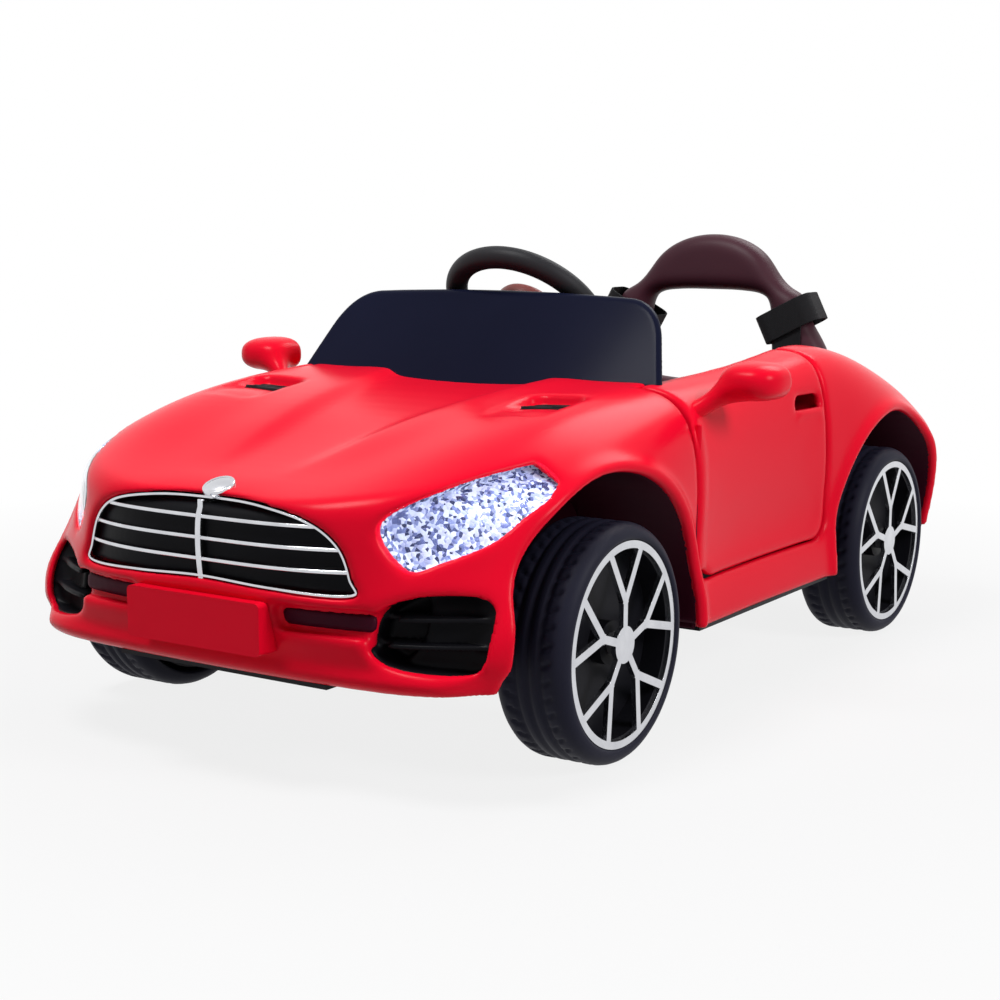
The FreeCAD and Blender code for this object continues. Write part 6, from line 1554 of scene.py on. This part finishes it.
    def arch_bands(self) -> None:
        """Strips that close the arches between the wheel liners and the shell, in the dark red of painted shade."""
        form, edge = self.panels.form, self.band_edge
        near, far = self.band_reach
        margin = form.arch_radius + far + self.band_margin
        for word, axle_y in zip(("front", "rear"), form.axles):
            low = (form.arch_inner_x - edge, axle_y - margin, form.bottom - edge)
            high = (form.half_width, axle_y + margin, form.arch_z + margin)
            grid, axes, solid = self.start((low, high, self.band_step))
            x, y, z = spread(axes)
            radius = form.arch_reach(y, z, axle_y) - form.arch_radius
            band = overlap(near - radius, radius - far, form.bottom + edge - z, solid + edge, form.arch_inner_x - x)
            # Dark red finish: painted shade inside the arch
            self.add(grid.mesh(f"arch_band_{word}", band, sides=tuple(Side)), Finish.RED_PAINTED_SHADE, "black_plastic")

    def firewall(self) -> None:
        """Dark wall between the footwell and the steering gear."""
        grid, axes, solid = self.start(self.firewall_grid)
        x, y, z = spread(axes)
        half_width, middle, foot = self.firewall_place
        plate = overlap(np.abs(y - middle) - self.firewall_wall / 2, foot - z, x - half_width,
                        solid + self.panels.shell_wall)
        self.add(grid.mesh("firewall", plate, True, calm=0), Finish.BLACK, "black_plastic")

    def splash_plates(self) -> None:
        """Plates that close the front arches behind the wheels, in the dark red of painted shade."""
        grid = FieldGrid(*self.plate_grid)
        limits = zip(spread(grid.axes()), self.plate_low, self.plate_high)
        plate = overlap(*(np.abs(value - (low + high) / 2) - (high - low) / 2 for value, low, high in limits))
        # Dark red finish: painted shade behind the wheel
        self.add(grid.mesh("splash_plates", plate, sides=tuple(Side), calm=0), Finish.RED_PAINTED_SHADE, "black_plastic")

    def build(self) -> None:
        """Makes every fitting."""
        for make in (self.headlamps, self.intakes, self.grille, self.tail_lamps, self.vents, self.badge,
                     self.arch_bands, self.firewall, self.splash_plates):
            make()


# Screen, seat, hub cover, mirrors and tyres


@dataclass
class Screen:
    """Dark raked windscreen with rounded edges, bowed in plan (millimetres)."""

    panels: BodyPanels
    paint: Paintbox
    base_half: float = 225.0
    top_half: float = 190.0
    base_z: float = 316.0
    top_z: float = 410.0
    crown: float = 6.0
    base_y: float = -127.0
    rake: float = 72.0
    base_bow: float = 14.0
    top_bow: float = 4.0
    wall: float = 8.0
    corner: float = 36.0
    edge_round: float = 4.0
    sink: float = 5.0
    grid: tuple = ((0.0, -160.0, 294.0), (236.0, -36.0, 418.0), 2.0)

    def build(self) -> None:
        """Makes the screen in place of its solid."""
        grid = FieldGrid(*self.grid)
        axes = grid.axes()
        solid = self.panels.dressed(axes)
        x, y, z = spread(axes)
        rise = (z - self.base_z) / (self.top_z - self.base_z)
        bow = self.base_bow + (self.top_bow - self.base_bow) * rise
        middle = self.base_y + self.rake * rise + bow * (x / self.base_half) ** 2 + self.wall / 2
        slope = self.rake / (self.top_z - self.base_z)
        sheet = np.abs(y - middle) / math.hypot(1.0, slope) - self.wall / 2
        side = x - (self.base_half + (self.top_half - self.base_half) * rise)
        top = z - (self.top_z - self.crown * (x / self.top_half) ** 2)
        screen = meet(sheet, meet(side, top, self.corner), self.edge_round)
        piece = grid.mesh("smoked_screen", np.maximum(screen, -(solid + self.sink)), mirrored=True, calm=0)
        self.paint.fit(piece, Finish.SCREEN, "car", "screen", "windscreen")


@dataclass
class Seat:
    """Moulded seat, its hoop back and the belt (millimetres)."""

    paint: Paintbox
    half_width: float = 165.0
    front_y: float = 168.0
    rear_y: float = 408.0
    floor_z: float = 182.0
    top_z: float = 214.0
    skirt_y: float = 200.0
    skirt_wall: float = 8.0
    pan_z: float = 88.0
    dish: float = 11.0
    rim: float = 30.0
    groove_pitch: float = 44.0
    groove_depth: float = 2.2
    hoop_y: float = 412.0
    hoop_depth: float = 42.0
    hoop_lean: float = 4.0
    hoop_foot: float = 182.0
    hoop_rise: float = 284.0
    hoop_half: float = 168.0
    hoop_round: float = 22.0
    outer: Points = (
        (0.000, 1.000), (0.250, 0.975), (0.440, 0.905), (0.560, 0.815), (0.660, 0.765), (0.745, 0.735),
        (0.800, 0.660), (0.900, 0.560), (0.985, 0.460), (1.000, 0.300), (0.985, 0.000),
    )
    window: Points = (
        (0.000, 0.752), (0.250, 0.750), (0.430, 0.735), (0.505, 0.690), (0.530, 0.560),
        (0.545, 0.420), (0.510, 0.365), (0.300, 0.345), (0.000, 0.342),
    )
    hoop_grid: tuple = ((0.0, 400.0, 176.0), (178.0, 490.0, 474.0), 3.0)
    window_round: float = 6.0
    window_steps: int = 8
    outline_steps: int = 160
    base_grid: tuple = ((0.0, 160.0, 84.0), (172.0, 416.0, 222.0), 3.2)
    corner: float = 34.0
    dish_run: float = 26.0
    groove_width: float = 4.0
    groove_fade: Pair = (50.0, 62.0)
    top_round: float = 14.0
    skirt_inset: float = 30.0
    skirt_corner: float = 3.0
    skirt_lap: float = 4.0
    strap_width: float = 36.0
    strap_wall: float = 2.4
    strap_x: float = 118.0
    loop_inner: float = 80.0
    loop_outer: float = 147.0
    loop_gaps: Pair = (5.4, 2.6)
    loop_corner: float = 14.0
    loop_steps: int = 7
    loop_z: float = 362.0
    loop_tilt: float = 0.52
    loop_nod: float = 0.07
    # Height of the falling strap and its distance before the hoop
    fall: Points = (
        (372.0, 1.6), (300.0, 1.6), (262.0, 1.8), (238.0, 4.0), (225.0, 9.0), (219.0, 21.0), (217.4, 40.0),
        (216.6, 60.0), (216.6, 81.0),
    )

    def lean(self, z: float | Array) -> float | Array:
        """How far the hoop has leant back at a height."""
        return (z - self.hoop_foot) * math.tan(math.radians(self.hoop_lean))

    def hoop(self) -> Piece:
        """Hoop with well rounded edges and its window."""
        grid = FieldGrid(*self.hoop_grid)
        axes = grid.axes()
        _, y, z = spread(axes)
        outer, window = ([(a * self.hoop_half, self.hoop_foot + b * self.hoop_rise) for a, b in shares]
                         for shares in (self.outer, self.window))
        loop = closed_curve(window + [(-a, b) for a, b in reversed(window) if a > 0], self.window_steps)
        fields = [outline_field(axes[0], axes[2], line)[:, None] for line in (self.smooth_half(outer), loop)]
        plate = np.abs(y - self.hoop_y - self.hoop_depth / 2 - self.lean(z)) - self.hoop_depth / 2
        body = meet(meet(fields[0], -fields[1], self.window_round), plate, self.hoop_round)
        return grid.mesh("seat_hoop", np.maximum(body, self.hoop_foot - z), mirrored=True)

    def smooth_half(self, half: Points) -> Array:
        """Smooth outline of the hoop, straight across its foot."""
        points = np.array([(-a, b) for a, b in reversed(half[1:])] + list(half))
        reach = run_lengths(points)
        return smooth_through(reach, points, np.linspace(0, reach[-1], self.outline_steps))

    def base(self) -> Piece:
        """Seat pan with a soft dish, shallow cross grooves and its front skirt."""
        grid = FieldGrid(*self.base_grid)
        x, y, z = spread(grid.axes())
        middle = ((self.front_y + self.rear_y) / 2, (self.rear_y - self.front_y) / 2)
        plan = box_field(x, y, (0.0, middle[0]), (self.half_width, middle[1]), self.corner)
        dip = self.dish * ramp(-plan, self.rim, self.rim + self.dish_run)
        half_pitch = self.groove_pitch / 2
        offset = (y - middle[0] + half_pitch) % self.groove_pitch - half_pitch
        groove = self.groove_depth * bump(offset, self.groove_width) * ramp(-plan, *self.groove_fade)
        top = z - self.top_z + dip + groove
        block = np.maximum(meet(plan, top, self.top_round), self.floor_z - z)
        half_wall = self.skirt_wall / 2
        skirt = box_field(x, y, (0.0, self.skirt_y + half_wall), (self.half_width - self.skirt_inset, half_wall),
                          self.skirt_corner)
        skirt = overlap(skirt, z - self.floor_z - self.skirt_lap, self.pan_z - z)
        return grid.mesh("seat_pan", np.minimum(block, skirt), mirrored=True)

    def belt(self, side: Side) -> Piece:
        """Webbing looped round one leg of the hoop, down its front and over the seat.

        Args:
            side: Side of the car.

        Returns:
            The strap with its loop, as one piece.
        """
        front, rear = self.hoop_y - self.loop_gaps[0], self.hoop_y + self.hoop_depth + self.loop_gaps[1]
        middle = ((self.loop_inner + self.loop_outer) / 2, (front + rear) / 2)
        half = ((self.loop_outer - self.loop_inner) / 2, (rear - front) / 2)
        corner, across = self.loop_corner, Vector((1, 0, 0))
        loop = []
        for cx, cy, start in ((1, 1, 0), (-1, 1, 90), (-1, -1, 180), (1, -1, 270)):
            for angle in np.radians(np.linspace(start, start + 90, self.loop_steps)):
                x = middle[0] + cx * (half[0] - corner) + corner * math.cos(angle)
                y = middle[1] + cy * (half[1] - corner) + corner * math.sin(angle)
                z = self.loop_z + self.loop_tilt * (x - middle[0])
                loop.append((Vector((x, y + self.lean(z), z)), Vector((math.cos(angle), math.sin(angle), 0.0)),
                             Vector((-self.loop_tilt, self.loop_nod, 1.0)).normalized()))
        path = [Vector((self.strap_x, self.hoop_y - gap + self.lean(z), z)) for z, gap in self.fall]
        strap = []
        for k, place in enumerate(path):
            along = (path[min(k + 1, len(path) - 1)] - path[max(k - 1, 0)]).normalized()
            strap.append((place, along.cross(across), across))
        size = (self.strap_width, self.strap_wall)
        return strips(f"belt_webbing_{side.word}", [(loop, True, size), (strap, False, size)], side)

    def build(self) -> None:
        """Makes the seat in place of its solids."""
        for piece, node in ((self.hoop(), "seat_back"), (self.base(), "seat_base")):
            self.paint.fit(piece, Finish.SEAT, "car", "seat", node)
        for side in Side:
            self.paint.fit(self.belt(side), Finish.WEBBING, "car", "webbing", "belt_straps")


@dataclass
class WheelHub:
    """Brown cover behind the steering wheel's hub (millimetres)."""

    paint: Paintbox
    centre: Triple = (0.0, -1.0, 386.0)
    lean: float = 45.0
    radius: float = 36.0
    # Radius share and depth behind the wheel's middle plane
    profile: Points = ((0.40, -13.0), (0.80, -13.0), (0.95, -10.0), (1.0, -4.0), (1.0, 5.0), (0.96, 8.0), (0.90, 9.0))

    def build(self) -> None:
        """Makes the cover on the wheel's body."""
        place = Matrix.Translation(Vector(self.centre) * MM) @ Matrix.Rotation(math.radians(-self.lean), 4, "X")
        piece = lathe("hub_cover", [(r * self.radius, h) for r, h in self.profile], place)
        self.paint.fit(piece, Finish.HUB, "steering", "horn_cap")


@dataclass
class Mirrors:
    """Rounded mirror pods on the doors (millimetres)."""

    paint: Paintbox
    middle: Triple = (305.5, -63.0, 330.0)
    half: Triple = (32.0, 38.0, 19.0)
    power: float = 2.6
    back_y: float = -50.5
    glass_y: float = -54.3
    glass_half: Pair = (26.0, 12.0)
    stalk: tuple[Triple, ...] = ((256.0, -102.0, 300.0), (290.0, -82.0, 324.0))
    stalk_radius: float = 9.0
    grid: tuple = ((244.0, -116.0, 288.0), (342.0, -44.0, 352.0), 2.0)
    # Roundings of the back edge, the glass recess, its corners and the foot of the stalk
    back_round: float = 3.0
    recess_round: float = 1.0
    glass_corner: float = 8.0
    stalk_round: float = 14.0

    def build(self) -> None:
        """Makes a pod for each door in place of its solid."""
        grid = FieldGrid(*self.grid)
        x, y, z = spread(grid.axes())
        total = sum(np.abs((value - centre) / reach) ** self.power
                    for value, centre, reach in zip((x, y, z), self.middle, self.half))
        pod = (total ** (1 / self.power) - 1.0) * min(self.half)
        pod = meet(pod, y - self.back_y, self.back_round)
        recess = box_field(x, z, (self.middle[0], self.middle[2]), self.glass_half, self.glass_corner)
        pod = meet(pod, -np.maximum(recess, self.glass_y - y), self.recess_round)
        start, end = (np.array(point) for point in self.stalk)
        along = end - start
        offsets = [value - origin for value, origin in zip((x, y, z), start)]
        share = np.clip(sum(offset * part for offset, part in zip(offsets, along)) / float(along @ along), 0, 1)
        gap = np.sqrt(sum((offset - share * part) ** 2 for offset, part in zip(offsets, along)))
        whole = join(pod, gap - self.stalk_radius, self.stalk_round)
        for side in Side:
            piece = grid.mesh(f"mirror_pod_{side.word}", whole, sides=(side,))
            self.paint.fit(piece, Finish.RED, f"door_{side.word}", "red_shell", f"mirror_housing_{side.word}")


@dataclass
class Tyres:
    """Moulded tyres with a shallow tread (millimetres)."""

    paint: Paintbox
    radius: float = 110.0
    face_x: float = 292.0
    width: float = 75.0
    axle_z: float = 110.0
    axles: tuple[tuple[str, float], ...] = (("front", -292.0), ("rear", 348.0))
    tread_depth: float = 2.4
    lugs: int = 44
    segments: int = 264
    # Share of the width that the tread covers, its samples, and the grooves round the tyre
    tread_span: Pair = (0.19, 0.81)
    tread_steps: int = 22
    groove_places: Triple = (-0.17, 0.0, 0.17)
    groove_width: float = 0.028
    # Lugs start beyond this share from the middle; their slant and half gap are in turns of one lug
    lug_start: float = 0.18
    lug_slant: float = 2.2
    lug_gap: float = 0.13
    # Distance from the outer face as a share of the width, and drop from the full radius
    profile: Points = (
        (0.030, 15.4), (0.004, 13.8), (0.000, 11.5), (0.012, 8.0), (0.040, 5.0), (0.080, 2.6), (0.125, 1.0),
        (0.165, 0.3),
    )

    def section(self) -> list[Triple]:
        """Half rim to half rim: place across, radius and share of tread."""
        side = [(a * self.width, self.radius - drop, 0.0) for a, drop in self.profile]
        flat = [(a * self.width, self.radius, 1.0) for a in np.linspace(*self.tread_span, self.tread_steps)]
        other = [(self.width - a, r, s) for a, r, s in reversed(side)]
        return side + flat + other

    def relief(self, across: float, angle: float) -> float:
        """Depth of the tread at a place, from zero on a lug to one in a groove."""
        offset = across / self.width - 0.5
        rounds = max(math.exp(-((offset - at) / self.groove_width) ** 2) for at in self.groove_places)
        if abs(offset) < self.lug_start:
            return rounds
        turn = (angle * self.lugs / (2 * math.pi) + abs(offset) * self.lug_slant) % 1.0
        return max(rounds, math.exp(-((turn - 0.5) / self.lug_gap) ** 4))

    def build(self) -> None:
        """Makes four tyres in place of their solids."""
        section = self.section()
        angles = np.linspace(0, 2 * math.pi, self.segments, endpoint=False)
        ring = np.array([[(self.face_x - a, r - s * self.tread_depth * self.relief(a, t), t) for t in angles]
                         for a, r, s in section])
        count, steps = ring.shape[:2]
        faces = []
        for k in range(count):
            here, after = k * steps, (k + 1) % count * steps
            for i in range(steps):
                j = (i + 1) % steps
                faces.append((here + i, here + j, after + j, after + i))
        for end, y in self.axles:
            for side in Side:
                places = np.stack([ring[..., 0] * side.value, y + ring[..., 1] * np.cos(ring[..., 2]),
                                   self.axle_z + ring[..., 1] * np.sin(ring[..., 2])], -1).reshape(-1, 3) * MM
                piece = new_mesh(f"tyre_tread_{end}_{side.word}", places, np.array(faces))
                cleaned(piece)
                place = f"{end}_{side.word}"
                self.paint.fit(piece, Finish.TYRE, f"wheel_{place}", "tyre", f"tyre_{place}")


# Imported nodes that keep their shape


@dataclass
class Carried:
    """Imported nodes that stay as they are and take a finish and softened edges."""

    nodes: dict[str, Piece]
    paint: Paintbox

    def rows(self) -> tuple[tuple[Finish, float, tuple[str, ...]], ...]:
        """Finish, edge rounding in millimetres and starts of the node names."""
        return (
            (Finish.CHROME, 1.0, ("wheel_trim",)),
            (Finish.RED, 1.6, ("number_plates", "door_hinge_pins")),
            # Wheel liners take the dark red of painted shade
            (Finish.RED_PAINTED_SHADE, 0.0, ("wheel_liners",)),
            (Finish.RIM, 0.0, ("rim_",)),
            (Finish.HUB, 1.5, ("horn_button",)),
            (Finish.MIRROR, 0.6, ("mirror_glass",)),
            (Finish.GEAR, 0.0, ("drive_gear", "motor_pinion")),
            (Finish.STEEL, 0.6, ("front_axle", "rear_axle", "tie_rod", "steering_column", "pan_screws",
                                 "steering_knuckle", "drive_motors")),
            (Finish.LENS_RED, 1.2, ("start_button",)),
            (Finish.BLACK, 1.4, ("dashboard", "accelerator_pedal", "direction_switch", "battery", "belt_buckle",
                                 "door_latch", "door_card", "charge_socket", "gearbox")),
        )

    def dress(self) -> None:
        """Gives each shown node its finish and edges."""
        for name, node in sorted(self.nodes.items()):
            if node.hide_render:
                continue
            finish, width = Finish.BLACK, 0.0
            for row_finish, row_width, starts in self.rows():
                if name.startswith(starts):
                    finish, width = row_finish, row_width
                    break
            self.paint.paint(node, finish)
            if width:
                soften_edges(node, width * MM)


# Studio


@dataclass
class Studio:
    """Pale floor, soft lamps and the camera of the photograph."""

    camera_place: Triple = (1.0578, -1.6761, 0.4878)
    camera_target: Triple = (-0.06934, 0.05353, 0.16438)
    camera_roll: float = 0.24
    lens: float = 65.26
    sensor: float = 36.0
    floor_size: float = 14.0
    floor_tone: Triple = (0.45, 0.45, 0.46)
    sky: float = 0.15
    floor_glow: float = 0.84
    fade: Pair = (0.55, 1.4)
    # Place, target, size and power of each soft lamp
    lamps: tuple[tuple[Triple, Triple, float, float], ...] = (
        ((-0.4, -1.1, 2.6), (0.0, -0.2, 0.2), 1.0, 58.0),
        ((2.5, -0.1, 1.6), (0.1, 0.0, 0.2), 1.0, 46.0),
        ((0.2, 1.9, 2.2), (0.0, 0.1, 0.2), 1.4, 26.0),
    )

    def build(self) -> None:
        """Sets the scene round the car."""
        scene = bpy.context.scene
        scene.view_settings.view_transform = "Standard"
        self._world(scene)
        self._floor()
        for place, target, size, power in self.lamps:
            data = bpy.data.lights.new("soft_lamp", "AREA")
            data.shape, data.size, data.energy = "DISK", size, power
            lamp = bpy.data.objects.new("soft_lamp", data)
            scene.collection.objects.link(lamp)
            lamp.location = place
            lamp.rotation_euler = (Vector(target) - Vector(place)).to_track_quat("-Z", "Y").to_euler()
        data = bpy.data.cameras.new("photo_camera")
        data.sensor_width, data.lens = self.sensor, self.lens
        camera = bpy.data.objects.new("photo_camera", data)
        scene.collection.objects.link(camera)
        look = (Vector(self.camera_target) - Vector(self.camera_place)).to_track_quat("-Z", "Y").to_matrix().to_4x4()
        turn = Matrix.Rotation(math.radians(self.camera_roll), 4, "Z")
        camera.matrix_world = Matrix.Translation(self.camera_place) @ look @ turn
        scene.camera = camera

    def _world(self, scene: bpy.types.Scene) -> None:
        """Even grey surroundings, white to the camera."""
        world = bpy.data.worlds.new("studio")
        scene.world = world
        world.use_nodes = True
        tree = world.node_tree
        light = next(node for node in tree.nodes if node.type == "BACKGROUND")
        light.inputs["Color"].default_value = (1.0, 1.0, 1.0, 1.0)
        level = tree.nodes.new("ShaderNodeMapRange")
        level.inputs["To Min"].default_value, level.inputs["To Max"].default_value = self.sky, 1.0
        tree.links.new(self._seen(tree), level.inputs["Value"])
        tree.links.new(level.outputs["Result"], light.inputs["Strength"])

    @staticmethod
    def _seen(tree: Tree) -> Socket:
        """One for rays that look, mirror or pass through, zero for plain light.

        Args:
            tree: Node tree that gets the nodes.

        Returns:
            The socket with that value.
        """
        path = tree.nodes.new("ShaderNodeLightPath")
        last = path.outputs["Is Camera Ray"]
        for name in ("Is Glossy Ray", "Is Transmission Ray"):
            more = tree.nodes.new("ShaderNodeMath")
            more.operation = "MAXIMUM"
            tree.links.new(last, more.inputs[0])
            tree.links.new(path.outputs[name], more.inputs[1])
            last = more.outputs["Value"]
        return last

    def _floor(self) -> None:
        """White floor that keeps the car's shadow."""
        half = self.floor_size / 2
        floor = new_mesh("floor", np.array([(-half, -half, 0), (half, -half, 0), (half, half, 0), (-half, half, 0)]),
                         [(0, 1, 2, 3)])
        shade = Shade("pale_floor")
        shade.set(base_color=self.floor_tone + (1.0,), roughness=0.9, specular_ior_level=0.1)
        white, mix = shade.node("ShaderNodeEmission"), shade.node("ShaderNodeMixShader")
        reach = shade.node("ShaderNodeVectorMath", operation="LENGTH")
        fade = shade.node("ShaderNodeMapRange")
        limits = self.fade + (self.floor_glow, 1.0)
        for name, value in zip(("From Min", "From Max", "To Min", "To Max"), limits):
            fade.inputs[name].default_value = value
        share = shade.node("ShaderNodeMath", operation="MULTIPLY")
        shade.link(shade.coordinates, reach.inputs[0])
        shade.link(reach.outputs["Value"], fade.inputs["Value"])
        shade.link(fade.outputs["Result"], share.inputs[0])
        shade.link(self._seen(shade.tree), share.inputs[1])
        shade.link(share.outputs["Value"], mix.inputs["Fac"])
        shade.link(shade.shader.outputs["BSDF"], mix.inputs[1])
        shade.link(white.outputs["Emission"], mix.inputs[2])
        shade.link(mix.outputs["Shader"], shade.output.inputs["Surface"])
        floor.data.materials.append(shade.material)


def main() -> None:
    """Builds every sub-assembly in order."""
    logging.basicConfig(level=logging.INFO, format="%(message)s")
    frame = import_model()
    Studio().build()
    paint = Paintbox()
    panels = BodyPanels(BodyForm())
    for piece in panels.build():
        paint.paint(piece, Finish.RED)
    for assembly in (BodyFittings(panels, paint), Screen(panels, paint), Seat(paint), Mirrors(paint), WheelHub(paint),
                     Tyres(paint)):
        assembly.build()
    Carried(frame["nodes"], paint).dress()


if __name__ == "__main__":
    main()
